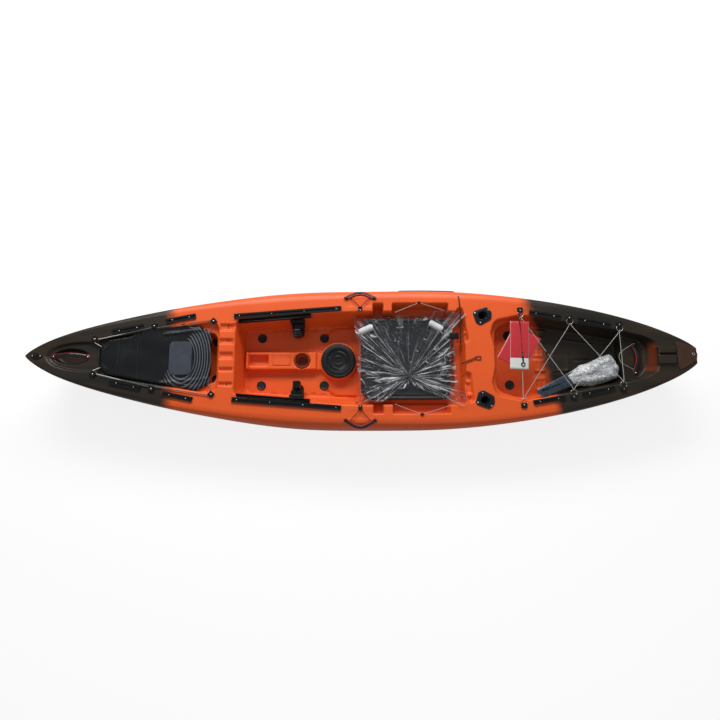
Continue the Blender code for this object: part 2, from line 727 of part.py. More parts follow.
def build_hull():
    """Rotomoulded shell: outer skin, wells, and a hollow that the round hatch opens into."""
    end = LENGTH / 2.0
    hull = loft("hull", [hull_ring(x, 0.0) for x in hull_stations(-end, end)])
    cut(hull, *well_solids(0.0))
    console = stack("console block", [
        (box_outline(
            CONSOLE_X[0] - 0.006, CONSOLE_X[1] + 0.006, -CONSOLE_HALF - 0.006, CONSOLE_HALF + 0.006, 0.008),
         FOOT_FLOOR - WALL / 2.0),
        (box_outline(CONSOLE_X[0], CONSOLE_X[1], -CONSOLE_HALF, CONSOLE_HALF, 0.008), CONSOLE_TOP)])
    mound = stack("hatch mound", [
        (circle_outline(HATCH_X, 0.0, HATCH_MOUND_R + 0.008, 28), FOOT_FLOOR - WALL / 2.0),
        (circle_outline(HATCH_X, 0.0, HATCH_MOUND_R, 28), HATCH_MOUND_TOP)])
    saddle_z = gunwale_z(STERN_BLOCK_X[0])
    saddle_top = gunwale_z(STERN_BLOCK_X[1]) + STERN_BLOCK_RISE
    stern_block = block(
        "stern block", (STERN_BLOCK_X[0], -STERN_BLOCK_HALF, saddle_z - WALL / 2.0),
        (STERN_BLOCK_X[1], STERN_BLOCK_HALF, saddle_top))
    join(hull, console, mound, stern_block)
    slot = block(
        "stern slot", (STERN_BLOCK_X[0] - 0.01, -STERN_SLOT_WIDTH / 2.0, saddle_top - STERN_SLOT_DEPTH),
        (STERN_BLOCK_X[1] + 0.01, STERN_SLOT_WIDTH / 2.0, saddle_top + 0.02))
    cut(hull, slot, *console_pockets(0.0))

    hollow = loft("hull hollow", [hull_ring(x, WALL) for x in hull_stations(-end + 0.09, end - 0.05)])
    cut(hollow, *well_solids(WALL))
    console_inside = block(
        "console inside", (CONSOLE_X[0] + WALL, -CONSOLE_HALF + WALL, FOOT_FLOOR - 2.0 * WALL),
        (CONSOLE_X[1] - WALL, CONSOLE_HALF - WALL, CONSOLE_TOP - WALL))
    join(hollow, console_inside)
    cut(hollow, *console_pockets(WALL))
    for side_name, side in SIDES:
        for place, x, y, floor in SCUPPERS:
            cut(hollow, upright_cylinder(
                f"{side_name} {place} scupper jacket", x, y * side, SCUPPER_SEAT_R + WALL * 0.8,
                -0.02, floor + 0.02, 12))
    cut(hull, hollow)

    cut(hull, upright_cylinder(
        "hatch bore", HATCH_X, 0.0, HATCH_BORE_R, FOOT_FLOOR - 0.03, HATCH_MOUND_TOP + 0.02, 28))
    for side_name, side in SIDES:
        for place, x, y, floor in SCUPPERS:
            y = y * side
            cut(hull, upright_cylinder(
                f"{side_name} {place} scupper bore", x, y, SCUPPER_BORE_R, -0.05, floor + 0.02, 12))
            cut(hull, upright_cylinder(
                f"{side_name} {place} scupper seat", x, y, SCUPPER_SEAT_R,
                floor - SCUPPER_SEAT_DEPTH, floor + 0.02, 12))
        cut(hull, leaning_cylinder(
            f"{side_name} rod bore", side, ROD_BORE_R + ROD_TUBE_WALL + RUN_GAP, -0.05, 0.05))
    finish_object(hull, "orange polyethylene")
    return hull


def build_front_cover():
    """Flexible cover on the front well's ledge. Its origin is on its upper front edge, where it folds."""
    outline = mirrored_outline(COVER_OUTLINE, (0.028, 0.200, 0.024))
    crown = offset_outline(outline, -0.022)
    base = FRONT_LEDGE_DEPTH - SEAT_GAP
    cover = stack("front_well_cover", [
        (outline, slanted(base, FRONT_WELL_X)),
        (outline, slanted(base - COVER_THICK * 0.5, FRONT_WELL_X)),
        (crown, slanted(base - COVER_THICK, FRONT_WELL_X))])
    front = COVER_OUTLINE[0][0]
    hinge = Vector((front, 0.0, ledge_z(front, base - COVER_THICK, FRONT_WELL_X)))
    cover.data.transform(Matrix.Translation(-hinge))
    cover.location = hinge
    finish_object(cover, "black rubber")


def track_section():
    """Slotted channel: an outer box with a slot and a wider groove under it."""
    half = TRACK_WIDTH / 2.0
    slot = TRACK_SLOT / 2.0
    groove = TRACK_UNDERCUT / 2.0
    groove_low = TRACK_HEIGHT * 0.30
    groove_high = TRACK_HEIGHT * 0.72
    return [
        (-half, 0.0), (half, 0.0), (half, TRACK_HEIGHT), (slot, TRACK_HEIGHT), (slot, groove_high),
        (groove, groove_high), (groove, groove_low), (-groove, groove_low), (-groove, groove_high),
        (-slot, groove_high), (-slot, TRACK_HEIGHT), (-half, TRACK_HEIGHT),
    ]


def build_tracks():
    """Accessory tracks on the side decks, each on its own flat stretch."""
    for name, x, y, half, spread in SHORT_TRACKS + (GEAR_TRACK,):
        yaw = math.asin(spread / (2.0 * half))
        for side_name, side in SIDES:
            track = bar(f"{name}_{side_name}", track_section(), 2.0 * half)
            track.matrix_world = deck_matrix(x, y * side, yaw * side)
            finish_object(track, "black nylon")


def hook_section(side):
    """Hook: base, post at its inboard end, and a lip over the throat, which opens outboard."""
    top = HOOK_BASE + HOOK_THROAT
    points = [
        (0.0130, 0.0), (0.0130, HOOK_BASE), (-HOOK_POST, HOOK_BASE), (-HOOK_POST, top),
        (-HOOK_POST + 0.0085, top), (-HOOK_POST + 0.0075, top + 0.0035), (-HOOK_POST - 0.0015, top + 0.0035),
        (-HOOK_POST - 0.0045, top + 0.0010), (-HOOK_POST - 0.0045, 0.0030), (-HOOK_POST - 0.0025, 0.0),
    ]
    return [(y * side, z) for y, z in points]


def hook_frame(hook, side):
    """Place of one cover hook. Its local Y points away from the well."""
    name, x, y, turn = hook
    return deck_matrix(x, y * side, math.radians(turn) * side)


def eye_frame(eye, side):
    """Place of one tank eye."""
    return deck_matrix(eye[1], eye[2] * side)


def build_hooks():
    """Hooks round the front cover."""
    for hook in COVER_HOOKS:
        for side_name, side in SIDES:
            piece = bar(f"cover_hook_{hook[0]}_{side_name}", hook_section(side), HOOK_WIDTH)
            piece.matrix_world = hook_frame(hook, side)
            finish_object(piece, "black nylon")


def build_tank_eyes():
    """Screwed eyes round the tank well, each with its ring lying over the well's rim."""
    for eye in TANK_EYES:
        for side_name, side in SIDES:
            outline = box_outline(
                -EYE_WIDTH / 2.0, EYE_WIDTH / 2.0, -EYE_LENGTH / 2.0, EYE_LENGTH / 2.0, 0.003)
            piece = stack(f"tank_eye_{eye[0]}_{side_name}", [
                (outline, 0.0), (outline, EYE_HEIGHT - 0.0015),
                (offset_outline(outline, -0.002), EYE_HEIGHT)])
            profile = []
            for index in range(5):
                angle = 2.0 * math.pi * index / 5.0
                profile.append((RING_R + RING_WIRE * math.cos(angle), RING_WIRE * math.sin(angle)))
            ring = turned_ring(f"{eye[0]} {side_name} ring", profile, 16)
            ring.location = (0.0, -RING_PLACE * side, RING_HEIGHT)
            ring.parent = piece
            join(piece, ring)
            piece.matrix_world = eye_frame(eye, side)
            finish_object(piece, "black nylon")


def filleted_loop(corners, radius, steps=3):
    """Closed route through the corners, with an arc at each and a point midway on long legs."""
    points = []
    count = len(corners)
    for index in range(count):
        here = corners[index]
        before = corners[index - 1] - here
        after = corners[(index + 1) % count] - here
        angle = before.angle(after)
        reach = min(radius / math.tan(angle / 2.0), 0.45 * before.length, 0.45 * after.length)
        if math.pi - angle < math.radians(8.0):
            points.append(here)
        else:
            bend = reach * math.tan(angle / 2.0)
            middle = (before.normalized() + after.normalized()).normalized()
            centre = here + middle * (bend / math.sin(angle / 2.0))
            start = here + before.normalized() * reach - centre
            stop = here + after.normalized() * reach - centre
            axis = start.cross(stop)
            sweep = start.angle(stop)
            for step in range(steps + 1):
                points.append(centre + Matrix.Rotation(sweep * step / steps, 3, axis) @ start)
        if after.length > 0.15:
            points.append(here + after * 0.5)
    return points


def add_cord_loop(name, points):
    """Closed cord as a curve with a round bevel."""
    curve = bpy.data.curves.new(name, "CURVE")
    curve.dimensions = "3D"
    curve.bevel_depth = BUNGEE_R
    curve.bevel_resolution = 2
    curve.use_fill_caps = True
    curve.resolution_u = 1
    curve.render_resolution_u = 0
    curve.twist_mode = "Z_UP"
    spline = curve.splines.new("POLY")
    spline.points.add(len(points) - 1)
    for target, point in zip(spline.points, points):
        target.co = (*point, 1.0)
    spline.use_cyclic_u = True
    obj = bpy.data.objects.new(name, curve)
    bpy.context.collection.objects.link(obj)
    finish_object(obj, "grey shock cord")


def build_cover_bungee():
    """Closed cord through the six hooks round the front well, and across both ends of the cover."""
    reach = HOOK_WIDTH / 2.0 + BUNGEE_R + 0.005
    route = []
    for side_name, side in SIDES:
        hooks = COVER_HOOKS if side > 0.0 else tuple(reversed(COVER_HOOKS))
        for hook in hooks:
            frame = hook_frame(hook, side)
            for end in (-reach * side, reach * side):
                route.append(frame @ Vector((end, -BUNGEE_SEAT_Y * side, BUNGEE_SEAT_Z)))
        corner = COVER_OUTLINE[-1] if side > 0.0 else COVER_OUTLINE[0]
        x = corner[0] + 0.008 * side
        y = (corner[1] - 0.030) * side
        rise = 0.018 if side > 0.0 else FRONT_LEDGE_DEPTH + BUNGEE_R + 0.001
        z = ledge_z(x, FRONT_LEDGE_DEPTH, FRONT_WELL_X) + rise
        route += [Vector((x, y, z)), Vector((x, -y, z))]
    add_cord_loop("cover_bungee", filleted_loop(route, 0.006))


def build_tank_bungee():
    """Closed cord through the six rings, which crosses the tank well in two places."""
    fore, mid, aft = TANK_EYES
    passes = (
        (fore, 1.0, -1.0), (mid, -1.0, 1.0), (aft, 1.0, -1.0),
        (aft, -1.0, -1.0), (mid, 1.0, 1.0), (fore, -1.0, -1.0))
    step = RING_WIRE + BUNGEE_R + 0.0007
    inner = RING_PLACE + RING_R
    route = []
    for index, (eye, side, first) in enumerate(passes):
        frame = eye_frame(eye, side)
        here = frame @ Vector((0.0, -(inner + 0.02) * side, RING_HEIGHT))
        for level, other in ((first, passes[index - 1]), (-first, passes[(index + 1) % len(passes)])):
            there = eye_frame(other[0], other[1]) @ Vector((0.0, -(inner + 0.02) * other[1], RING_HEIGHT))
            away = there - here
            skew = math.copysign(min(abs(away.x) / max(abs(away.y), 0.01), 1.2), away.x)
            if abs(away.x) < 0.05:
                skew = 0.5 * (1.0 if level == first else -1.0)
            over = Vector((skew * 0.003, -(inner - 0.002) * side, RING_HEIGHT + level * step))
            out = Vector((skew * 0.012, -(inner + 0.014) * side, RING_HEIGHT + level * step))
            pair = [frame @ out, frame @ over]
            if level != first:
                pair.reverse()
            route += pair
            if level == first:
                route.append(frame @ Vector((0.0, -(inner - 0.0080) * side, RING_HEIGHT)))
    add_cord_loop("tank_bungee", filleted_loop(route, 0.004, steps=2))


def strap(name, length, width, thick, rise, bow=0.0):
    """Strap handle along local X: flat at both ends, raised in the middle, and bowed to one side."""
    rings = []
    count = 11
    for index in range(count):
        share = index / (count - 1.0)
        x = (share - 0.5) * length
        swell = math.sin(math.pi * min(max((share - 0.12) / 0.76, 0.0), 1.0))
        z = rise * swell
        y = bow * swell
        rings.append([
            (x, y - width / 2.0, z), (x, y + width / 2.0, z),
            (x, y + width / 2.0, z + thick), (x, y - width / 2.0, z + thick)])
    return loft(name, rings)


def build_end_handles():
    """Carry handles at the bow and on the stern shelf."""
    span = (BOW_RECESS[0][0], BOW_RECESS[-1][0])
    slope = (gunwale_z(span[1]) - gunwale_z(span[0])) / (span[1] - span[0])
    tilt = Matrix.Rotation(-math.atan(slope), 4, "Y")
    bow = strap("bow_carry_handle", 0.222, 0.026, 0.007, 0.016)
    place = Vector((BOW_POCKET_X, 0.0, ledge_z(BOW_POCKET_X, BOW_RECESS_DEPTH, span)))
    place += (tilt @ Vector((0.0, 0.0, 1.0))) * SEAT_GAP
    bow.matrix_world = Matrix.Translation(place) @ tilt
    finish_object(bow, "black rubber")
    stern = strap("stern_carry_handle", 0.206, 0.024, 0.007, 0.014, bow=-0.016)
    place = Matrix.Translation((1.672, 0.0, SHELF_Z + SEAT_GAP))
    stern.matrix_world = place @ Matrix.Rotation(math.pi / 2.0, 4, "Z")
    finish_object(stern, "black rubber")


def build_bow_pad_eye():
    """Oval plate with a low bridge for a tether."""
    plate_outline = [(x * 1.25, y) for x, y in circle_outline(0.0, 0.0, 0.021, 16)]
    plate = stack("bow_pad_eye", [
        (plate_outline, 0.0), (plate_outline, 0.003), (offset_outline(plate_outline, -0.002), 0.0045)])
    arch = []
    for index in range(7):
        angle = math.pi * index / 6.0
        arch.append((0.0, -0.010 * math.cos(angle), 0.002 + 0.010 * math.sin(angle)))
    rings = []
    for x, y, z in arch:
        out = Vector((0.0, y, z - 0.002)).normalized() * 0.0025
        rings.append([
            (-0.003, y - out.y, z - out.z), (0.003, y - out.y, z - out.z),
            (0.003, y + out.y, z + out.z), (-0.003, y + out.y, z + out.z)])
    bridge = loft("pad eye bridge", rings)
    bridge.parent = plate
    join(plate, bridge)
    plate.matrix_world = deck_matrix(-1.892, 0.0)
    finish_object(plate, "black nylon")


def build_foot_braces():
    """Rails on the cockpit walls, with sliding carriages and tilting toe pedals."""
    rail_length = RAIL_X[1] - RAIL_X[0]
    middle = (RAIL_X[0] + RAIL_X[1]) / 2.0
    half_height = RAIL_HEIGHT / 2.0
    half_thick = RAIL_THICK / 2.0
    for side_name, side in SIDES:
        groove = half_thick * 0.45
        section = [
            (half_thick, -half_height), (half_thick, half_height), (-half_thick, half_height),
            (-half_thick, half_height * 0.45), (-groove, half_height * 0.45),
            (-groove, -half_height * 0.45), (-half_thick, -half_height * 0.45), (-half_thick, -half_height)]
        rail = bar(f"foot_rail_{side_name}", [(y * side, z) for y, z in section], rail_length)
        rail.matrix_world = rail_matrix(middle, side, RAIL_Z)
        finish_object(rail, "black aluminium")

        inner = -half_thick - RUN_GAP
        rest_y = (-FOOTREST_Y[1], -FOOTREST_Y[0])
        carriage = local_block(
            f"foot_carriage_{side_name}", side,
            (-CARRIAGE_HALF, inner - 0.018, -0.020), (CARRIAGE_HALF, inner, 0.016))
        arm = local_block(
            f"{side_name} arm", side, (-0.016, rest_y[1] - 0.006, -0.064), (0.010, -0.032, -0.006))
        link = local_block(
            f"{side_name} link", side, (-0.016, -0.040, -0.018), (0.010, inner - 0.010, -0.006))
        rest = leaning_plate(f"{side_name} footrest", side, rest_y, (-0.115, -0.057), PEDAL_PIN_Z, 0.014)
        lug_y = (rest_y[1] - 0.015, rest_y[1] - 0.008)
        lug = local_block(
            f"{side_name} lug", side, (-0.0065, lug_y[0], -0.062), (0.0065, lug_y[1], PEDAL_PIN_Z))
        eye = cross_pin(f"{side_name} lug eye", side, lug_y, PEDAL_LUG_R, PEDAL_PIN_Z)
        pin = cross_pin(
            f"{side_name} pedal pin", side, (rest_y[0] + 0.006, lug_y[0] + 0.003), PEDAL_PIN_R, PEDAL_PIN_Z)
        for extra in (arm, link, rest, lug, eye, pin):
            extra.parent = carriage
        join(carriage, link, arm, rest, lug, eye, pin)
        carriage.matrix_world = rail_matrix(PEDAL_X, side, RAIL_Z)
        finish_object(carriage, "black nylon")

        toe_y = (rest_y[0], lug_y[1] - 0.001)
        toe_low = PEDAL_LUG_R + 0.001
        pedal = leaning_plate(f"toe_pedal_{side_name}", side, toe_y, (toe_low, toe_low + 0.064), 0.0, 0.011)
        barrel = cross_pin(
            f"{side_name} barrel", side, (toe_y[0] + 0.008, lug_y[0] - 0.002), PEDAL_PIN_R + 0.006, 0.0)
        barrel.parent = pedal
        join(pedal, barrel)
        bore = cross_pin(f"{side_name} pedal bore", side, (-0.150, 0.0), PEDAL_PIN_R + RUN_GAP, 0.0)
        bore.parent = pedal
        cut(pedal, bore)
        pedal.matrix_world = rail_matrix(PEDAL_X, side, RAIL_Z) @ Matrix.Translation((0.0, 0.0, PEDAL_PIN_Z))
        finish_object(pedal, "black nylon")


def local_block(name, side, low, high):
    """Box in a frame whose local Y points outboard on starboard, mirrored for port."""
    ends = sorted((low[1] * side, high[1] * side))
    return block(name, (low[0], ends[0], low[2]), (high[0], ends[1], high[2]))


def cross_pin(name, side, across, radius, z):
    """Cylinder along local Y between two distances, at a height."""
    ends = sorted((across[0] * side, across[1] * side))
    return tube_mesh(name, [(0.0, ends[0], z), (0.0, ends[1], z)], radius, 12)


def leaning_plate(name, side, across, heights, pivot_z, thick):
    """Foot plate whose top leans towards the bow."""
    ends = sorted((across[0] * side, across[1] * side))
    rings = []
    for z in heights:
        x = (z - pivot_z) * -FOOTREST_LEAN
        rings.append([
            (x - thick / 2.0, ends[0], z), (x + thick / 2.0, ends[0], z),
            (x + thick / 2.0, ends[1], z), (x - thick / 2.0, ends[1], z)])
    return loft(name, rings)


def build_hatch():
    """Round hatch: ring on the mound, seal on the ring, and the lid over both."""
    base = HATCH_MOUND_TOP + SEAT_GAP
    collar = HATCH_BORE_R - RUN_GAP
    bore = collar - 0.006
    ring = turned_ring("hatch_ring", [
        (collar, 0.0), (HATCH_RING_R, 0.0), (HATCH_RING_R, HATCH_RING_THICK * 0.5),
        (HATCH_RING_R - 0.002, HATCH_RING_THICK), (bore, HATCH_RING_THICK),
        (bore, -0.030), (collar, -0.030)], 28)
    ring.location = (HATCH_X, 0.0, base)
    finish_object(ring, "black nylon")

    seal_profile = []
    for index in range(6):
        angle = 2.0 * math.pi * index / 6.0
        seal_profile.append((
            HATCH_SEAL_R + HATCH_SEAL_WIRE * math.cos(angle), HATCH_SEAL_WIRE * math.sin(angle)))
    seal = turned_ring("hatch_seal", seal_profile, 28)
    seal_z = base + HATCH_RING_THICK + SEAT_GAP + HATCH_SEAL_WIRE * math.sin(math.pi / 3.0)
    seal.location = (HATCH_X, 0.0, seal_z)
    finish_object(seal, "black rubber")

    roof = 2.0 * HATCH_SEAL_WIRE * math.sin(math.pi / 3.0) + SEAT_GAP
    groove_in = HATCH_SEAL_R - HATCH_SEAL_WIRE - RUN_GAP
    groove_out = HATCH_SEAL_R + HATCH_SEAL_WIRE + RUN_GAP
    top = HATCH_LID_HEIGHT
    lid = turned("hatch_lid", [
        (0.0, RUN_GAP), (groove_in, RUN_GAP), (groove_in, roof), (groove_out, roof), (groove_out, RUN_GAP),
        (HATCH_LID_R, RUN_GAP), (HATCH_LID_R, top * 0.55), (HATCH_LID_R - 0.006, top), (0.070, top),
        (0.066, top - 0.006), (0.0, top - 0.006)], 28)
    grip = block("lid grip", (-0.062, -0.009, top - 0.008), (0.062, 0.009, top - 0.001))
    grip.parent = lid
    join(lid, grip)
    lid.location = (HATCH_X, 0.0, base + HATCH_RING_THICK + SEAT_GAP)
    finish_object(lid, "black nylon")


def build_console_plate():
    """Screwed plate over the console's instrument place."""
    outline = box_outline(PLATE_X[0], PLATE_X[1], -PLATE_HALF, PLATE_HALF, 0.004)
    low = CONSOLE_TOP + SEAT_GAP
    plate = stack("console_plate", [(outline, low), (outline, low + PLATE_THICK)])
    finish_object(plate, "orange polyethylene")


def build_scupper_plugs():
    """Rubber plugs in the moulded scupper tubes. The bow pair lies under the cover's edge."""
    flange = SCUPPER_SEAT_R - RUN_GAP * 2.0
    stem = SCUPPER_BORE_R - RUN_GAP
    for place, x, y, floor in SCUPPERS[1:]:
        for side_name, side in SIDES:
            plug = turned(f"scupper_plug_{place}_{side_name}", [
                (0.0, -PLUG_LENGTH), (stem * 0.86, -PLUG_LENGTH), (stem, 0.0), (flange, 0.0),
                (flange, 0.004), (flange - 0.003, 0.006), (0.0, 0.006)], 12)
            plug.location = (x, y * side, floor - SCUPPER_SEAT_DEPTH + SEAT_GAP)
            plug.rotation_euler = (0.0, 0.0, math.pi / 12.0)
            finish_object(plug, "black rubber")


def build_side_handles():
    """Toggle handles: pad on the deck, and a grip on two cords that swings up about the pad."""
    pad_z = gunwale_z(HANDLE_X)
    for side_name, side in SIDES:
        outline = box_outline(-0.012, 0.012, -0.014, 0.014, 0.004)
        pad = stack(f"side_handle_pad_{side_name}", [(outline, 0.0), (outline, HANDLE_PAD_HEIGHT)])
        pad.location = (HANDLE_X, HANDLE_PAD_Y * side, pad_z + SEAT_GAP)
        finish_object(pad, "black nylon")

        pivot_z = pad_z + SEAT_GAP + HANDLE_PAD_HEIGHT + HANDLE_CORD_R + SEAT_GAP
        pivot = Vector((HANDLE_X, (HANDLE_PAD_Y + 0.010) * side, pivot_z))
        reach = 0.118
        drop = -0.007
        grip_points = []
        for index in range(9):
            share = index / 8.0 * 2.0 - 1.0
            bulge = math.cos(share * math.pi / 2.0)
            grip_points.append((
                share * HANDLE_SPAN / 2.0, side * (reach - 0.026 + 0.026 * bulge), drop - 0.017 * bulge))
        grip = tube_mesh(f"side_handle_grip_{side_name}", grip_points, HANDLE_GRIP_R, 10)
        for end in (-1.0, 1.0):
            tip = (end * HANDLE_SPAN * 0.370, side * (reach - 0.013), drop - 0.006)
            knee = (end * HANDLE_SPAN * 0.280, side * (reach - 0.042), 0.001)
            cord = tube_mesh(
                f"{side_name} cord {'aft' if end > 0.0 else 'fore'}",
                [(end * 0.001, 0.0, 0.0), knee, tip], HANDLE_CORD_R, 6)
            cord.parent = grip
            join(grip, cord)
        grip.location = pivot
        finish_object(grip, "black rubber")


def build_rod_holders():
    """Flush rod holders: a rounded three-cornered flange and a closed tube that leans aft and outboard."""
    deck = gunwale_z(ROD_X)
    for side_name, side in SIDES:
        outline = rounded_outline([(x, y * side) for x, y in ROD_FLANGE], 0.016, 2)
        flange = stack(f"rod_holder_{side_name}", [
            (outline, SEAT_GAP), (outline, ROD_FLANGE_THICK * 0.6),
            (offset_outline(outline, -0.003), ROD_FLANGE_THICK)])
        flange.location = (ROD_X, ROD_Y * side, deck)
        tube = leaning_cylinder(
            f"{side_name} rod tube", side, ROD_BORE_R + ROD_TUBE_WALL, -ROD_TUBE_LENGTH, 0.004, 20)
        bore = leaning_cylinder(
            f"{side_name} rod hole", side, ROD_BORE_R, -ROD_TUBE_LENGTH + ROD_TUBE_WALL, 0.05, 20)
        join(flange, tube)
        cut(flange, bore)
        finish_object(flange, "black nylon")


def frame_loop(name, z):
    """Closed tube with rounded corners, in the seat's plan."""
    inset = SEAT_TUBE_R
    outline = box_outline(
        SEAT_X[0] + inset, SEAT_X[1] - inset, -SEAT_HALF + inset, SEAT_HALF - inset, SEAT_CORNER, 4)
    return tube_mesh(name, [(x, y, z) for x, y in outline], SEAT_TUBE_R, 8, closed=True)


def sling(name, z):
    """Fabric panel between the tubes of a frame."""
    reach = SEAT_TUBE_R * math.cos(math.pi / 8.0)
    inset = SEAT_TUBE_R + reach + SEAT_GAP
    outline = box_outline(
        SEAT_X[0] + inset, SEAT_X[1] - inset, -SEAT_HALF + inset, SEAT_HALF - inset, SEAT_CORNER - reach, 4)
    return stack(name, [(outline, z - SLING_THICK / 2.0), (outline, z + SLING_THICK / 2.0)])


def build_seat():
    """Folded seat: base frame on the bay's ledges, back frame lying on it, slings and hinge bolts."""
    base_z = BAY_LEDGE + SEAT_GAP + SEAT_FOOT_HEIGHT + SEAT_TUBE_R - 0.002
    back_z = base_z + 2.0 * SEAT_TUBE_R + SEAT_STACK_GAP
    hinge_z = (base_z + back_z) / 2.0
    base = frame_loop("seat_base_frame", base_z)
    back = frame_loop("seat_back_frame", back_z)
    tube_y = SEAT_HALF - SEAT_TUBE_R
    foot_z = BAY_LEDGE + SEAT_GAP
    outer_plate = (SEAT_HALF - 0.0005, SEAT_HALF + SEAT_EAR_THICK)
    inner_plate = (SEAT_HALF - 2.0 * SEAT_TUBE_R - SEAT_EAR_THICK, SEAT_HALF - 2.0 * SEAT_TUBE_R + 0.0005)
    for side_name, side in SIDES:
        for place, x in (("fore", 0.130), ("aft", 0.420)):
            foot = local_block(
                f"{side_name} {place} seat foot", side, (x - 0.045, tube_y - 0.014, foot_z),
                (x + 0.045, tube_y + 0.014, base_z - SEAT_TUBE_R * 0.4))
            join(base, foot)
        bumper = local_block(
            f"{side_name} seat bumper", side,
            (SEAT_X[0] + SEAT_TUBE_R - 0.007, SEAT_BUMPER_Y - 0.020, base_z + SEAT_TUBE_R * 0.5),
            (SEAT_X[0] + SEAT_TUBE_R + 0.007, SEAT_BUMPER_Y + 0.020, back_z - SEAT_TUBE_R - SEAT_GAP))
        join(base, bumper)
        bracket = ear_plate(
            f"{side_name} base ear", side, outer_plate, (base_z - 0.004, hinge_z + 0.012), -1.0)
        join(base, bracket)
        ear = ear_plate(f"{side_name} back ear", side, inner_plate, (hinge_z - 0.012, back_z + 0.004), 1.0)
        ear.parent = back
        hole = bolt_solid(f"{side_name} ear hole", side, hinge_z, SEAT_BOLT_R + RUN_GAP, 0.19, 0.26)
        hole.parent = back
        join(back, ear)
        cut(back, hole)
        base_hole = bolt_solid(f"{side_name} base hole", side, hinge_z, SEAT_BOLT_R + RUN_GAP, 0.19, 0.26)
        cut(base, base_hole)
        head_y = outer_plate[1] + RUN_GAP
        nut_y = inner_plate[0] - RUN_GAP
        bolt = bolt_solid(
            f"seat_hinge_bolt_{side_name}", side, hinge_z, SEAT_BOLT_R, nut_y - 0.004, head_y + 0.004)
        for end_name, low, high in (("head", head_y, head_y + 0.004), ("nut", nut_y - 0.004, nut_y)):
            cap = bolt_solid(f"{side_name} bolt {end_name}", side, hinge_z, SEAT_BOLT_R + 0.003, low, high)
            join(bolt, cap)
        finish_object(bolt, "steel")
    pivot = Vector((SEAT_HINGE_X, 0.0, hinge_z))
    back.data.transform(Matrix.Translation(-pivot))
    for piece in bpy.data.objects:
        if piece.parent == back:
            piece.data.transform(Matrix.Translation(-pivot))
    back.location = pivot
    finish_object(base, "black aluminium")
    finish_object(back, "black aluminium")
    finish_object(sling("seat_base_sling", base_z), "grey mesh fabric")
    back_sling = sling("seat_back_sling", back_z)
    back_sling.data.transform(Matrix.Translation(-pivot))
    back_sling.location = pivot
    finish_object(back_sling, "grey mesh fabric")


def ear_plate(name, side, across, heights, lean):
    """Hinge plate beside a frame tube, reaching aft to the hinge bolt."""
    low_y, high_y = sorted((across[0] * side, across[1] * side))
    front = SEAT_X[1] - (SEAT_CORNER + 0.030 if lean < 0.0 else 0.056)
    back = SEAT_HINGE_X + 0.011
    narrow = 0.010
    if lean < 0.0:
        profile = [(front, heights[0] - 0.004), (back, heights[1] - 2.2 * narrow), (back, heights[1]),
                   (SEAT_HINGE_X - 0.012, heights[1]), (front, heights[0] + 0.008)]
    else:
        profile = [(front, heights[1] - 0.008), (SEAT_HINGE_X - 0.012, heights[0]), (back, heights[0]),
                   (back, heights[0] + 2.2 * narrow), (front, heights[1] + 0.004)]
    rings = [[(x, y, z) for x, z in profile] for y in (low_y, high_y)]
    return loft(name, rings)


def bolt_solid(name, side, z, radius, low, high):
    """Cylinder along Y through the seat's hinge."""
    ends = sorted((low * side, high * side))
    return tube_mesh(name, [(SEAT_HINGE_X, ends[0], z), (SEAT_HINGE_X, ends[1], z)], radius, 10)


def rudder_matrix():
    """Place of the stowed rudder: local X runs from pivot along the blade, local Z is the pivot's axis."""
    lowest = RUDDER_HEAD_HEIGHT / 2.0 * math.cos(RUDDER_PITCH) + RUDDER_HEAD * math.sin(RUDDER_PITCH)
    turn = Matrix.Rotation(RUDDER_YAW, 4, "Z") @ Matrix.Rotation(-RUDDER_PITCH, 4, "Y")
    return Matrix.Translation((RUDDER_X, RUDDER_Y, TANK_FLOOR + lowest + SEAT_GAP)) @ turn


def build_rudder():
    """Rudder, taken off the stern: forked head, and the blade on its bolt between the cheeks."""
    half = RUDDER_HEAD_HEIGHT / 2.0
    cheek_gap = BLADE_THICK / 2.0 + RUN_GAP
    outline = rounded_outline([
        (-RUDDER_HEAD, RUDDER_HEAD_HALF * 0.7), (0.030, RUDDER_HEAD_HALF), (0.030, -RUDDER_HEAD_HALF),
        (-RUDDER_HEAD, -RUDDER_HEAD_HALF * 0.7)], [0.006, 0.020, 0.020, 0.006])
    head = stack("rudder_head", [(outline, -half), (outline, half)])
    fork = block("rudder fork", (-0.050, -0.080, -cheek_gap), (0.080, 0.080, cheek_gap))
    hole = upright_cylinder(
        "rudder bolt hole", 0.0, 0.0, BLADE_BOLT_R - RUN_GAP, -half * 0.6, half * 0.6, 12)
    fork.parent = head
    hole.parent = head
    cut(head, fork)
    join(head, hole)
    head.matrix_world = rudder_matrix()
    finish_object(head, "black nylon")

    blade_outline = rounded_outline([
        (-0.026, BLADE_HALF * 0.6), (0.060, BLADE_HALF), (BLADE_LENGTH - 0.010, BLADE_HALF),
        (BLADE_LENGTH, BLADE_HALF * 0.5), (BLADE_LENGTH - 0.050, -BLADE_HALF), (0.060, -BLADE_HALF),
        (-0.026, -BLADE_HALF * 0.6)], [0.018, 0.040, 0.020, 0.016, 0.050, 0.040, 0.018])
    blade = stack("rudder_blade", [
        (offset_outline(blade_outline, -0.002), -BLADE_THICK / 2.0), (blade_outline, -BLADE_THICK / 5.0),
        (blade_outline, BLADE_THICK / 5.0), (offset_outline(blade_outline, -0.002), BLADE_THICK / 2.0)])
    bore = upright_cylinder("blade bore", 0.0, 0.0, BLADE_BOLT_R, -0.05, 0.05, 12)
    bore.parent = blade
    cut(blade, bore)
    blade.matrix_world = rudder_matrix()
    finish_object(blade, "dark blade")


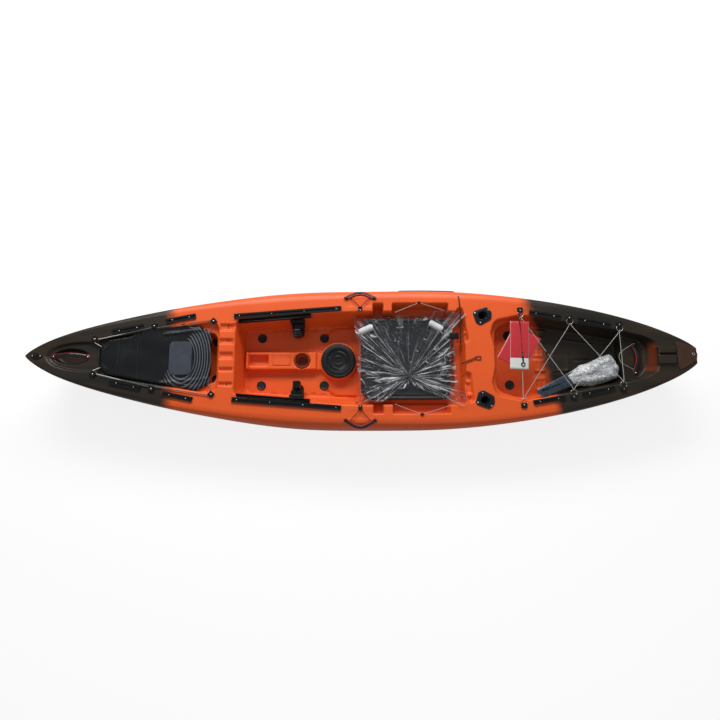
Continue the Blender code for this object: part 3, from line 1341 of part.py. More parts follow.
def build_stern_plate():
    """Tail plate where the rudder bracket bolts on, with the hole of its eyelet."""
    span = STERN_PLATE_X
    outline = mirrored_outline(
        ((span[0], STERN_PLATE_HALF[0]), (span[1] - 0.016, STERN_PLATE_HALF[1] + 0.018),
         (span[1], STERN_PLATE_HALF[1])),
        (0.004, 0.020, 0.006))
    plate = stack("stern_plate", [
        (outline, lambda x: gunwale_z(x) + SEAT_GAP), (outline, lambda x: gunwale_z(x) + STERN_PLATE_THICK)])
    finish_object(plate, "brown polyethylene")


def shade(angle=math.radians(35.0)):
    """Smooth shading with sharp edges kept on every mesh."""
    for obj in bpy.data.objects:
        if obj.type == "MESH" and not obj.hide_render:
            obj.data.shade_smooth()
            obj.data.set_sharp_from_angle(angle=angle)


def main():
    """Build the kayak piece by piece."""
    clear_scene()
    build_hull()
    build_front_cover()
    build_tracks()
    build_hooks()
    build_tank_eyes()
    build_cover_bungee()
    build_tank_bungee()
    build_end_handles()
    build_bow_pad_eye()
    build_foot_braces()
    build_hatch()
    build_console_plate()
    build_scupper_plugs()
    build_side_handles()
    build_rod_holders()
    build_seat()
    build_rudder()
    build_stern_plate()
    shade()


main()
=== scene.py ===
"""Sit-on-top fishing kayak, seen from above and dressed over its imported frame.

The bow is at -X, the stern at +X, starboard at +Y, and +Z is up. Lengths are metres.
"""

import json
import logging
import math
from dataclasses import dataclass
from enum import Enum

import bmesh
import bpy
import numpy as np
from mathutils import Matrix, Vector


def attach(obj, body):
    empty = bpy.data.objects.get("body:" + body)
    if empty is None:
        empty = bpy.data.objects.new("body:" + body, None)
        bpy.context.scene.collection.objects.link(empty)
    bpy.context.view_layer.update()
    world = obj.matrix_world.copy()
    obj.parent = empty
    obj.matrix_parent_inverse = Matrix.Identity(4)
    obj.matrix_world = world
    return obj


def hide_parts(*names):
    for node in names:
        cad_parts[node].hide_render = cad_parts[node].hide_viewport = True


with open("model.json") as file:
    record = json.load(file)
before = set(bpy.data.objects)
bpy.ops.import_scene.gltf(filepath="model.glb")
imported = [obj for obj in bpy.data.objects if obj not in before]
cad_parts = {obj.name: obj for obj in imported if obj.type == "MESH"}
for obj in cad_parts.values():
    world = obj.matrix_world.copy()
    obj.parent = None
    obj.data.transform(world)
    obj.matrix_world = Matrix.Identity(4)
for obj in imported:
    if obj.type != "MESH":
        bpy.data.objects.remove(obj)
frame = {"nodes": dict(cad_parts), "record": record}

LOG = logging.getLogger("kayak")
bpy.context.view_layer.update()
CLEARANCE = 0.0003
BADGE = (-1.075, -0.005)
BADGE_SQUEEZE = 0.62
KNOT = (0.290, -0.106)
CUP_X = -0.369
Array = np.ndarray
Socket = bpy.types.NodeSocket
Tree = bpy.types.NodeTree
Place = tuple[float, float]


class Side(Enum):
    """The two sides of the boat, with the sign of their Y."""

    STARBOARD = 1.0
    PORT = -1.0

    @property
    def label(self) -> str:
        """Name used in the frame's nodes."""
        return self.name.lower()


def linear(code: str) -> tuple[float, float, float, float]:
    """Linear colour of an sRGB hex code.

    Args:
        code: Six hex digits after a hash.

    Returns:
        Red, green, blue and an alpha of one.
    """
    parts = [int(code[start:start + 2], 16) / 255.0 for start in (1, 3, 5)]
    red, green, blue = [c / 12.92 if c <= 0.04045 else ((c + 0.055) / 1.055) ** 2.4 for c in parts]
    return red, green, blue, 1.0


def add(tree: Tree, kind: str, feeds: dict | None = None, **settings: object) -> bpy.types.Node:
    """Add one shader node.

    Args:
        tree: Node tree that gets it.
        kind: The node's type without its ShaderNode start.
        feeds: Input name or number to a value or to another node's output.
        settings: Attributes of the node.

    Returns:
        The new node.
    """
    node = tree.nodes.new("ShaderNode" + kind)
    for key, value in settings.items():
        setattr(node, key, value)
    for key, value in (feeds or {}).items():
        if isinstance(value, Socket):
            tree.links.new(value, node.inputs[key])
        else:
            node.inputs[key].default_value = value
    return node


def maths(tree: Tree, operation: str, *feeds: Socket | float) -> Socket:
    """Result of one Math node over its feeds."""
    return add(tree, "Math", dict(enumerate(feeds)), operation=operation).outputs[0]


def remap(tree: Tree, value: Socket, low: float, high: float, start: float = 0.0, end: float = 1.0,
          smooth: bool = False) -> Socket:
    """The value mapped from low and high to start and end, and held between them.

    Args:
        tree: The material's node tree.
        value: The value to map.
        low: Value that gives the start.
        high: Value that gives the end.
        start: Result at the low value.
        end: Result at the high value.
        smooth: Whether the change eases in and out.

    Returns:
        The mapped value.
    """
    return add(tree, "MapRange", {
        "Value": value, "From Min": low, "From Max": high, "To Min": start, "To Max": end},
        interpolation_type="SMOOTHSTEP" if smooth else "LINEAR").outputs["Result"]


def blend(tree: Tree, share: Socket, *colours: Socket | str) -> Socket:
    """Mix of two colours by a share of the second. Each is a hex code or another node's output."""
    first, second = (linear(colour) if isinstance(colour, str) else colour for colour in colours)
    return add(tree, "Mix", {"Factor": share, "A": first, "B": second}, data_type="RGBA").outputs["Result"]


def noise(tree: Tree, where: Socket, scale: float, detail: float, **more: float) -> Socket:
    """Value of a noise texture, with its Roughness or Distortion where they are given."""
    return add(tree, "TexNoise", {"Vector": where, "Scale": scale, "Detail": detail, **more}).outputs["Fac"]


def wave(tree: Tree, value: Socket, pitch: float) -> Socket:
    """Sine of the value, one turn for each pitch."""
    return maths(tree, "SINE", maths(tree, "MULTIPLY", value, 2.0 * math.pi / pitch))


def on_object(tree: Tree) -> Socket:
    """Place on the piece, in metres."""
    return add(tree, "TexCoord").outputs["Object"]


def on_sheet(tree: Tree) -> Socket:
    """Place on the piece's own UVs."""
    return add(tree, "UVMap", uv_map="UVMap").outputs["UV"]


def split(tree: Tree, where: Socket) -> list[Socket]:
    """X, Y and Z of a place."""
    return list(add(tree, "SeparateXYZ", {"Vector": where}).outputs)


def feed(tree: Tree, shader: bpy.types.Node, value: Socket, name: str = "Base Color") -> None:
    """Link a value to one of the shader's inputs, in place of what fed it."""
    tree.links.new(value, shader.inputs[name])


def emboss(tree: Tree, shader: bpy.types.Node, height: Socket, depth: float, invert: bool = False) -> None:
    """Give the shader a bump of a depth in metres."""
    bump = add(tree, "Bump", {"Height": height, "Distance": depth, "Strength": 1.0}, invert=invert)
    feed(tree, shader, bump.outputs["Normal"], "Normal")


def ease(share: Array) -> Array:
    """Smooth step, 3t^2 - 2t^3 of a share held between 0 and 1."""
    held = np.clip(share, 0.0, 1.0)
    return held * held * (3.0 - 2.0 * held)


def unit(rows: Array) -> Array:
    """Rows scaled to length one."""
    return rows / np.maximum(np.linalg.norm(rows, axis=-1, keepdims=True), 1e-12)


def ripple(x: Array, y: Array, waves: tuple[tuple[float, float, float], ...]) -> Array:
    """Sum of sines sin(ax + by + c) over the waves, divided by their number."""
    return sum(np.sin(a * x + b * y + c) for a, b, c in waves) / len(waves)


@dataclass
class Shell:
    """Points and quads of one surface or several, before they become a mesh."""

    points: Array
    quads: Array
    uvs: Array

    @staticmethod
    def grid(points: Array, wrap_rows: bool = False, wrap_columns: bool = False) -> "Shell":
        """Quads over a grid of points P[i, j], whose normal is dP/di x dP/dj.

        Args:
            points: Array of shape (rows, columns, 3).
            wrap_rows: Join the last row to the first.
            wrap_columns: Join the last column to the first.

        Returns:
            The shell, with UVs in metres along both ways of the grid.
        """
        rows, columns = points.shape[:2]
        i, j = np.meshgrid(
            np.arange(rows if wrap_rows else rows - 1), np.arange(columns if wrap_columns else columns - 1),
            indexing="ij")
        quads = np.stack([
            i * columns + j, (i + 1) % rows * columns + j,
            (i + 1) % rows * columns + (j + 1) % columns, i * columns + (j + 1) % columns], -1).reshape(-1, 4)
        closed = np.concatenate([points, points[:1]], 0)
        along = np.concatenate([[0.0], np.cumsum(np.linalg.norm(np.diff(closed, axis=0), axis=2).mean(1))])
        closed = np.concatenate([points, points[:, :1]], 1)
        across = np.concatenate([[0.0], np.cumsum(np.linalg.norm(np.diff(closed, axis=1), axis=2).mean(0))])
        uvs = np.stack([
            np.stack([along[i], across[j]], -1), np.stack([along[i + 1], across[j]], -1),
            np.stack([along[i + 1], across[j + 1]], -1), np.stack([along[i], across[j + 1]], -1)], -2)
        return Shell(points.reshape(-1, 3), quads, uvs.reshape(-1, 4, 2))

    @staticmethod
    def union(shells: list["Shell"]) -> "Shell":
        """Several shells as one.

        Args:
            shells: Shells to join.

        Returns:
            The joined shell.
        """
        starts = np.cumsum([0] + [len(shell.points) for shell in shells[:-1]])
        return Shell(
            np.concatenate([shell.points for shell in shells]),
            np.concatenate([shell.quads + start for shell, start in zip(shells, starts)]),
            np.concatenate([shell.uvs for shell in shells]))

    def flipped(self) -> "Shell":
        """The shell with its faces turned to the other side."""
        return Shell(self.points, self.quads[:, ::-1], self.uvs[:, ::-1])

    def moved(self, matrix: Matrix) -> "Shell":
        """The shell carried by a matrix."""
        turn = np.array(matrix)
        return Shell(self.points @ turn[:3, :3].T + turn[:3, 3], self.quads, self.uvs)

    def mirrored(self) -> "Shell":
        """The shell on the other side of the boat, with its faces still pointing out."""
        return Shell(self.points * (1.0, -1.0, 1.0), self.quads, self.uvs).flipped()

    def on(self, side: Side) -> "Shell":
        """The starboard shell as it is, or mirrored for port."""
        return self if side is Side.STARBOARD else self.mirrored()


def offset(x: float, y: float, z: float) -> Matrix:
    """Matrix that moves by x, y and z."""
    return Matrix.Translation((x, y, z))


def rotation(angle: float, axis: str = "Z") -> Matrix:
    """Matrix that turns by an angle about an axis."""
    return Matrix.Rotation(angle, 4, axis)


def revolve(profile: list[Place] | Array, segments: int = 48) -> Shell:
    """Turned shell: (r cos a, r sin a, z) for each (r, z) of the profile, read from the bottom upwards outside.

    Args:
        profile: Distance from the axis and height of each point.
        segments: Faces round the axis.

    Returns:
        The turned shell.
    """
    rim = np.asarray(profile, float)
    angle = np.linspace(0.0, 2.0 * np.pi, segments, endpoint=False)
    points = np.stack([
        rim[None, :, 0] * np.cos(angle)[:, None], rim[None, :, 0] * np.sin(angle)[:, None],
        np.broadcast_to(rim[None, :, 1], (segments, len(rim)))], -1)
    return Shell.grid(points, wrap_rows=True)


def tube(path: Array, radius: Array | float, sides: int = 12, closed: bool = False,
         up: tuple[float, float, float] = (0.0, 0.0, 1.0), flat: float = 1.0) -> Shell:
    """Round bar along a path: P + r (cos a n + flat sin a b), where n and b stand square to the path.

    Args:
        path: Points of the middle line, shape (n, 3).
        radius: One radius, or one for each point.
        sides: Number of sides.
        closed: Join the end to the start; otherwise both ends are closed by a point.
        up: Direction that the path never runs along.
        flat: Thickness along b as a share of that along n.

    Returns:
        The bar's shell.
    """
    path = np.asarray(path, float)
    ahead = np.roll(path, -1, 0) - np.roll(path, 1, 0)
    if not closed:
        ahead[0], ahead[-1] = path[1] - path[0], path[-1] - path[-2]
    ahead = unit(ahead)
    normal = unit(np.cross(np.asarray(up, float), ahead))
    binormal = np.cross(ahead, normal)
    angle = np.linspace(0.0, 2.0 * np.pi, sides, endpoint=False) + np.pi / sides
    size = np.broadcast_to(np.asarray(radius, float), (len(path),))[:, None, None]
    points = path[:, None] + size * (
        np.cos(angle)[None, :, None] * normal[:, None] + flat * np.sin(angle)[None, :, None] * binormal[:, None])
    if not closed:
        ends = [np.broadcast_to(path[at], (1, sides, 3)) for at in (0, -1)]
        points = np.concatenate([ends[0], points, ends[1]])
    return Shell.grid(points, wrap_rows=closed, wrap_columns=True).flipped()


def slab(outline: Array, levels: list[Place]) -> Shell:
    """Plate over an outline: ring k is the outline moved inwards by an inset, at a height, and both ends close.

    Args:
        outline: Corners in order against the clock, shape (n, 2).
        levels: Inset and height of each ring, from the bottom up.

    Returns:
        The plate's shell.
    """
    outline = np.asarray(outline, float)
    ahead = unit(np.roll(outline, -1, 0) - np.roll(outline, 1, 0))
    inward = np.stack([-ahead[:, 1], ahead[:, 0]], -1)
    centre = outline.mean(0)
    rings = [np.column_stack([outline + inward * inset, np.full(len(outline), height)]) for inset, height in levels]
    caps = [np.broadcast_to((*centre, levels[at][1]), (1, len(outline), 3)) for at in (0, -1)]
    points = np.concatenate([caps[0], np.stack(rings), caps[1]])
    return Shell.grid(points, wrap_columns=True).flipped()


def rounded(corners: Array, radii: Array | float, steps: int = 6) -> Array:
    """Closed outline with an arc at each corner; the arc's points are centre + r (cos a, sin a) in even turns.

    Args:
        corners: Corners in order.
        radii: Radius of every corner, or one for each.
        steps: Parts of each arc.

    Returns:
        Points of the outline.
    """
    corners = np.asarray(corners, float)
    radii = np.broadcast_to(np.asarray(radii, float), (len(corners),))
    back = unit(np.roll(corners, 1, 0) - corners)
    forth = unit(np.roll(corners, -1, 0) - corners)
    half = np.arccos(np.clip((back * forth).sum(1), -1.0, 1.0)) / 2.0
    length = np.linalg.norm(np.roll(corners, -1, 0) - corners, axis=1)
    reach = np.minimum(radii / np.tan(half), 0.48 * np.minimum(length, np.roll(length, 1)))
    share = np.linspace(0.0, 1.0, steps + 1)[None, :, None]
    start = (corners + back * reach[:, None])[:, None]
    stop = (corners + forth * reach[:, None])[:, None]
    middle = corners[:, None]
    weight = np.cos(np.pi / 2.0 - half)[:, None, None]
    top = (1 - share) ** 2 * start + 2 * share * (1 - share) * weight * middle + share ** 2 * stop
    top = top / ((1 - share) ** 2 + 2 * share * (1 - share) * weight + share ** 2)
    return top.reshape(-1, corners.shape[1])


def rectangle(low: Place, high: Place) -> list[Place]:
    """Corners of a rectangle against the clock, from its low corner."""
    return [low, (high[0], low[1]), high, (low[0], high[1])]


def tablet(half_x: float, half_y: float, radius: float) -> Array:
    """Rounded rectangle about the origin."""
    return rounded(rectangle((-half_x, -half_y), (half_x, half_y)), radius)


def capped(rows: Array) -> Array:
    """Rows of points, between their first and last row drawn together at its middle."""
    ends = [np.broadcast_to(rows[at].mean(0), (1, *rows.shape[1:])) for at in (0, -1)]
    return np.concatenate([ends[0], rows, ends[1]])


def mirrored_outline(half: tuple[Place, ...], radii: tuple[float, ...]) -> Array:
    """Outline that is alike on both sides, from its starboard corners bow to stern."""
    corners = [*half, *((x, -y) for x, y in reversed(half))]
    return rounded(corners[::-1], [*radii, *reversed(radii)][::-1])


def distance(x: Array, y: Array, outline: Array) -> Array:
    """Signed distance to a closed outline: the least distance to its segments, below zero inside.

    Args:
        x: X of the points.
        y: Y of the points.
        outline: Corners of the outline in order.

    Returns:
        Distance at each point.
    """
    best = np.full(x.shape, 1e9)
    inside = np.zeros(x.shape, bool)
    for (ax, ay), (bx, by) in zip(outline, np.roll(outline, -1, 0)):
        dx, dy = bx - ax, by - ay
        share = np.clip(((x - ax) * dx + (y - ay) * dy) / max(dx * dx + dy * dy, 1e-12), 0.0, 1.0)
        best = np.minimum(best, (x - ax - share * dx) ** 2 + (y - ay - share * dy) ** 2)
        if ay != by:
            inside ^= ((ay > y) != (by > y)) & (x < dx * (y - ay) / dy + ax)
    return np.where(inside, -1.0, 1.0) * np.sqrt(best)


def strokes(x: Array, y: Array, route: list[Place], half: float) -> Array:
    """Strength of a line through the route's points, 1 on it and 0 past its half width.

    Args:
        x: X of the points.
        y: Y of the points.
        route: Points that the line runs through.
        half: Half width.

    Returns:
        Strength at each point.
    """
    best = np.full(x.shape, 1e9)
    for (ax, ay), (bx, by) in zip(route, route[1:]):
        dx, dy = bx - ax, by - ay
        share = np.clip(((x - ax) * dx + (y - ay) * dy) / (dx * dx + dy * dy), 0.0, 1.0)
        best = np.minimum(best, np.hypot(x - ax - share * dx, y - ay - share * dy))
    return ease(1.0 - best / half)


@dataclass(frozen=True)
class Finish:
    """A finish on one Principled shader. Each kind adds its own pattern."""

    label: str
    colour: str
    roughness: float = 0.5
    metallic: float = 0.0
    sheen: float = 0.0
    coat: float = 0.0
    gleam: float = 0.5

    def material(self) -> bpy.types.Material:
        """The finish's material, made on first use.

        Returns:
            The material.
        """
        found = bpy.data.materials.get(self.label)
        if found is not None:
            return found
        material = bpy.data.materials.new(self.label)
        material.use_nodes = True
        shader = material.node_tree.nodes["Principled BSDF"]
        for name, value in (
                ("Roughness", self.roughness), ("Metallic", self.metallic), ("Sheen Weight", self.sheen),
                ("Coat Weight", self.coat), ("Coat Roughness", 0.15), ("Specular IOR Level", self.gleam)):
            shader.inputs[name].default_value = value
        self.dress(material.node_tree, shader)
        return material

    def dress(self, tree: Tree, shader: bpy.types.Node) -> None:
        """Add the finish's pattern to the shader."""
        raise NotImplementedError

    def mottle(self, tree: Tree, shader: bpy.types.Node, other: str, size: float, share: float = 0.5) -> None:
        """Vary the colour in clouds of a size in metres, towards another colour by a share."""
        amount = remap(tree, noise(tree, on_object(tree), 1.0 / size, 4.0), 0.35, 0.68, 0.0, share)
        feed(tree, shader, blend(tree, amount, self.colour, other))

    def grain(self, tree: Tree, shader: bpy.types.Node, size: float, depth: float) -> None:
        """Bump of a grain size and a depth in metres."""
        emboss(tree, shader, noise(tree, on_object(tree), 1.0 / size, 3.0), depth)


@dataclass(frozen=True)
class RotomouldedPolyethylene(Finish):
    """Rotomoulded polyethylene: waxy and softly shiny, one pigment powder run into another in the mould."""

    charcoal: str = "#1C1B18"
    umber: str = "#34281B"
    # Reddish colour of the painted reflected light on the stern shelf's walls.
    reflected_red: str = "#6A2C12"
    deep: str = "#DC5220"
    bow_change: float = -1.135
    stern_change: float = 1.092
    change_width: float = 0.085
    ragged: float = 0.09
    slant: float = 0.262
    lean: float = 0.35
    band: float = 1.762

    def dress(self, tree: Tree, shader: bpy.types.Node) -> None:
        """Pigments by the object's X, with cloudy edges, over an orange-peel bump.

        The change is read from X plus a slant in Y and Z plus noise, so its edge is ragged as thrown powder.

        Args:
            tree: The material's node tree.
            shader: The material's shader node.
        """
        where = on_object(tree)
        x, y, z = split(tree, where)
        along = maths(tree, "MULTIPLY_ADD", noise(tree, where, 9.0, 6.0, Roughness=0.62), self.ragged, x)
        bow = remap(
            tree, along, self.bow_change - 0.010, self.bow_change + self.change_width, 1.0, 0.0, smooth=True)
        leaned = maths(tree, "MULTIPLY_ADD", y, self.slant, along)
        leaned = maths(tree, "MULTIPLY_ADD", z, self.lean, leaned)
        start = self.stern_change + 0.105
        stern = remap(tree, leaned, start + 0.005, start + self.change_width, smooth=True)
        streaks = add(tree, "Mapping", {"Vector": where, "Scale": (1.2, 7.0, 4.0)}).outputs[0]
        black = blend(tree, remap(tree, noise(tree, streaks, 1.6, 5.0), 0.36, 0.66), self.charcoal, self.umber)
        # Painted reflected light: a reddish band on the stern shelf's walls, mixed over the charcoal.
        reflected_share = self.reflected_band(tree, along, y, z)
        bright = noise(tree, where, 3.5, 5.0)
        warm = blend(tree, bright, self.colour, self.deep)
        dark = maths(tree, "MAXIMUM", bow, stern)
        feed(tree, shader, blend(tree, dark, warm, blend(tree, reflected_share, black, self.reflected_red)))
        feed(tree, shader, remap(tree, bright, 0.0, 1.0, 0.34, 0.48), "Roughness")
        self.grain(tree, shader, 0.004, 0.0006)

    def reflected_band(self, tree: Tree, along: Socket, y: Socket, z: Socket) -> Socket:
        """Share of painted reflected light: a reddish band across the stern shelf, between its walls and below the
        deck.

        Args:
            tree: The material's node tree.
            along: X with its slant and noise.
            y: Y of the point.
            z: Z of the point.

        Returns:
            The share of painted reflected light.
        """
        off = maths(tree, "ABSOLUTE", maths(tree, "SUBTRACT", along, self.band + self.ragged / 2.0))
        reflected_share = remap(tree, off, 0.016, 0.034, 0.9, 0.0, smooth=True)
        inboard = remap(tree, maths(tree, "ABSOLUTE", y), 0.078, 0.094, 1.0, 0.0)
        sunk = remap(tree, z, 0.318, 0.332, 1.0, 0.0)
        return maths(tree, "MULTIPLY", maths(tree, "MULTIPLY", reflected_share, inboard), sunk)


@dataclass(frozen=True)
class MouldedPlastic(Finish):
    """Injection moulded nylon or polyethylene: an even spark-eroded grain that breaks up the shine."""

    other: str = "#2B2C2E"

    def dress(self, tree: Tree, shader: bpy.types.Node) -> None:
        """Slightly uneven colour and a grain drawn at about 2 mm, coarser than the real 0.3 mm."""
        self.mottle(tree, shader, self.other, 0.03)
        self.grain(tree, shader, 0.0022, 0.0004)


@dataclass(frozen=True)
class MouldedRubber(Finish):
    """Soft thermoplastic rubber: dull, with a bloom of paler dust in its low places."""

    other: str = "#33343A"

    def dress(self, tree: Tree, shader: bpy.types.Node) -> None:
        """Dusty clouds and a fine pebbled bump."""
        self.mottle(tree, shader, self.other, 0.05, 0.6)
        self.grain(tree, shader, 0.003, 0.0005)


@dataclass(frozen=True)
class BraidedCord(Finish):
    """Braided polyester sleeve over a rubber core: two strands cross in small diamonds."""

    fleck: str = "#2A2B2C"
    pitch: float = 0.006

    def dress(self, tree: Tree, shader: bpy.types.Node) -> None:
        """Diamonds from the piece's own UVs: sin(k(u+v)) sin(k(u-v)), a strand every few millimetres.

        Args:
            tree: The material's node tree.
            shader: The material's shader node.
        """
        u, v, _ = split(tree, on_sheet(tree))
        strands = [wave(tree, maths(tree, "MULTIPLY_ADD", v, sign, u), self.pitch) for sign in (1.0, -1.0)]
        braid = maths(tree, "MULTIPLY", *strands)
        feed(tree, shader, blend(tree, remap(tree, braid, 0.1, 0.7), self.colour, self.fleck))
        emboss(tree, shader, braid, 0.0004)


@dataclass(frozen=True)
class LitEndCord(BraidedCord):
    """Black braided cord with a painted highlight: its fore end is pale, where light falls on it near the fore hooks.
    """

    lit: str = "#C2C2BB"
    forward_of: float = -1.400
    fade: float = 0.04

    def dress(self, tree: Tree, shader: bpy.types.Node) -> None:
        """Braid first; then the pale colour of the painted highlight by the piece's X.

        Args:
            tree: The material's node tree.
            shader: The material's shader node.
        """
        BraidedCord.dress(self, tree, shader)
        braid = shader.inputs["Base Color"].links[0].from_socket
        aft = remap(tree, split(tree, on_object(tree))[0], self.forward_of - self.fade, self.forward_of)
        # Painted highlight: the fore end takes the pale colour.
        feed(tree, shader, blend(tree, aft, self.lit, braid))


@dataclass(frozen=True)
class PlainCard(Finish):
    """Laminated red card with a bare white panel at its foot and a pale welded edge."""

    panel: float = 0.23
    other: str = "#D9DAD6"
    cloud: str = "#B3242E"
    weld: str = "#E8B9B6"

    def dress(self, tree: Tree, shader: bpy.types.Node) -> None:
        """White where the sheet's V is below the panel's share, pale at the edges, with a faint mottle.

        Args:
            tree: The material's node tree.
            shader: The material's shader node.
        """
        u, v, _ = split(tree, on_sheet(tree))
        face = blend(tree, noise(tree, on_object(tree), 70.0, 4.0), self.colour, self.cloud)
        card = blend(tree, maths(tree, "LESS_THAN", v, self.panel), face, self.other)
        off = maths(tree, "ABSOLUTE", maths(tree, "SUBTRACT", u, 0.5))
        feed(tree, shader, blend(tree, remap(tree, off, 0.465, 0.485, 0.0, 0.55), card, self.weld))


@dataclass(frozen=True)
class WovenMesh(Finish):
    """Open polyester mesh: a grid of coated yarns with dark holes between them."""

    hole: str = "#0C0D0F"
    pitch: float = 0.006

    def dress(self, tree: Tree, shader: bpy.types.Node) -> None:
        """Holes where sin(kx) sin(ky) is high; the mesh is 2 mm on the real seat and is drawn at 6 mm.

        Args:
            tree: The material's node tree.
            shader: The material's shader node.
        """
        x, y, _ = split(tree, on_object(tree))
        weave = maths(tree, "MULTIPLY", wave(tree, x, self.pitch), wave(tree, y, self.pitch))
        feed(tree, shader, blend(tree, remap(tree, weave, 0.2, 0.6), self.colour, self.hole))
        emboss(tree, shader, weave, 0.0006, invert=True)


@dataclass(frozen=True)
class CoatedCloth(Finish):
    """Woven polyester with a rubbery coating: near black, with a dull gleam on its folds."""

    other: str = "#262B33"
    pitch: float = 0.0045

    def dress(self, tree: Tree, shader: bpy.types.Node) -> None:
        """Cloudy wear, and a plain weave that is drawn at 4.5 mm so that it shows.

        Args:
            tree: The material's node tree.
            shader: The material's shader node.
        """
        self.mottle(tree, shader, self.other, 0.08, 0.8)
        yarns = [add(tree, "TexWave", {"Vector": on_object(tree), "Scale": 0.314 / self.pitch, "Distortion": 0.4},
                     bands_direction=axis).outputs["Fac"] for axis in "XY"]
        emboss(tree, shader, maths(tree, "ADD", *yarns), 0.00025)


@dataclass(frozen=True)
class RibbedCloth(CoatedCloth):
    """Coated cloth with moulded ribs that run round the badge, and a painted highlight on their crests."""

    # Colour of the painted highlight on the rib crests.
    crest_highlight: str = "#59616B"
    spacing: float = 0.0150

    def dress(self, tree: Tree, shader: bpy.types.Node) -> None:
        """Painted highlight on the crests, where sin(2 pi r / spacing) is high; r is the distance from the badge,
        squeezed along Y.

        Args:
            tree: The material's node tree.
            shader: The material's shader node.
        """
        CoatedCloth.dress(self, tree, shader)
        plain = shader.inputs["Base Color"].links[0].from_socket
        where = on_object(tree)
        squeezed = add(tree, "Mapping", {
            "Vector": where, "Location": (-BADGE[0], -BADGE[1] * BADGE_SQUEEZE, 0.0),
            "Scale": (1.0, BADGE_SQUEEZE, 0.0)})
        reach = add(tree, "VectorMath", {0: squeezed.outputs[0]}, operation="LENGTH").outputs["Value"]
        # Painted highlight: the share of the crest colour on each rib.
        crest_highlight = remap(tree, wave(tree, reach, self.spacing), 0.15, 0.75)
        outside = remap(tree, reach, 0.072, 0.082)
        x, y, _ = split(tree, where)
        inner = maths(tree, "MAXIMUM", maths(tree, "ADD", y, 0.10), 0.0)
        aft = remap(tree, maths(tree, "MULTIPLY_ADD", inner, -0.6, x), -1.175, -1.115)
        amount = maths(tree, "MULTIPLY", maths(tree, "MULTIPLY", crest_highlight, outside), aft)
        feed(tree, shader, blend(tree, amount, plain, self.crest_highlight))


@dataclass(frozen=True)
class ClearFilm(Finish):
    """Thin glossy polyethylene film: nearly clear where it lies flat, with painted white highlights along its pleats
    and crinkles.
    """

    clear: float = 0.11
    highlight_alpha: float = 0.76
    shade: str = "#454A4F"

    def dress(self, tree: Tree, shader: bpy.types.Node) -> None:
        """Painted highlights: alpha and a whiter colour from streaks along the pleats, read from the sheet's own UVs,
        and from small crinkles.

        The streaks are fainter where the slope y / |x| from the knot is steep, which is straight to starboard.

        Args:
            tree: The material's node tree.
            shader: The material's shader node.
        """
        pleats = add(tree, "Mapping", {"Vector": on_sheet(tree), "Scale": (4.0, 64.0, 1.0)}).outputs[0]
        streak = noise(tree, pleats, 1.0, 4.0, Roughness=0.66)
        place = on_object(tree)
        cloud = noise(tree, place, 17.0, 7.0, Distortion=2.2)
        crinkle = remap(tree, cloud, 0.59, 0.72, 0.0, 0.7)
        knot = add(tree, "Mapping", {"Vector": place, "Location": (-KNOT[0], -KNOT[1], 0.0)}).outputs[0]
        x, y, _ = split(tree, knot)
        slope = maths(tree, "DIVIDE", y, maths(tree, "ADD", maths(tree, "ABSOLUTE", x), 0.02))
        calm = remap(tree, slope, 0.7, 1.5, 1.0, 0.30)
        line = maths(tree, "MULTIPLY", remap(tree, streak, 0.54, 0.62), calm)
        # Painted highlight: this share whitens the colour and raises the alpha.
        white = maths(tree, "MAXIMUM", line, crinkle)
        feed(tree, shader, remap(tree, white, 0.0, 1.0, self.clear, self.highlight_alpha), "Alpha")
        feed(tree, shader, blend(tree, white, self.shade, self.colour))
        emboss(tree, shader, maths(tree, "ADD", streak, cloud), 0.006)


@dataclass(frozen=True)
class BubbleWrap(Finish):
    """Bubble wrap: silver grey film over rows of 10 mm bubbles, with a painted highlight on each bubble."""

    other: str = "#A2A6AA"
    bubble: float = 0.011

    def dress(self, tree: Tree, shader: bpy.types.Node) -> None:
        """Bubbles from a cell pattern: a painted highlight at their middles and painted shade in the valleys between
        them.

        Args:
            tree: The material's node tree.
            shader: The material's shader node.
        """
        where = on_object(tree)
        cell = add(tree, "TexVoronoi", {"Vector": where, "Scale": 1.0 / self.bubble}).outputs["Distance"]
        rise = maths(tree, "MULTIPLY_ADD", cell, 0.5, noise(tree, where, 26.0, 5.0, Distortion=1.5))
        # Painted light: the pale colour at each bubble's middle is a painted highlight, and the darker one in the
        # valleys is painted shade.
        feed(tree, shader, blend(tree, remap(tree, rise, 0.55, 0.88), self.colour, self.other))
        emboss(tree, shader, rise, 0.006, invert=True)


@dataclass(frozen=True)
class TurnedMetal(Finish):
    """Metal, turned, drawn or coated: fine lines that spread its highlight."""

    other: str = "#8C8E90"

    def dress(self, tree: Tree, shader: bpy.types.Node) -> None:
        """Uneven tarnish and a faint drawn bump."""
        self.mottle(tree, shader, self.other, 0.012, 0.5)
        self.grain(tree, shader, 0.0015, 0.0001)


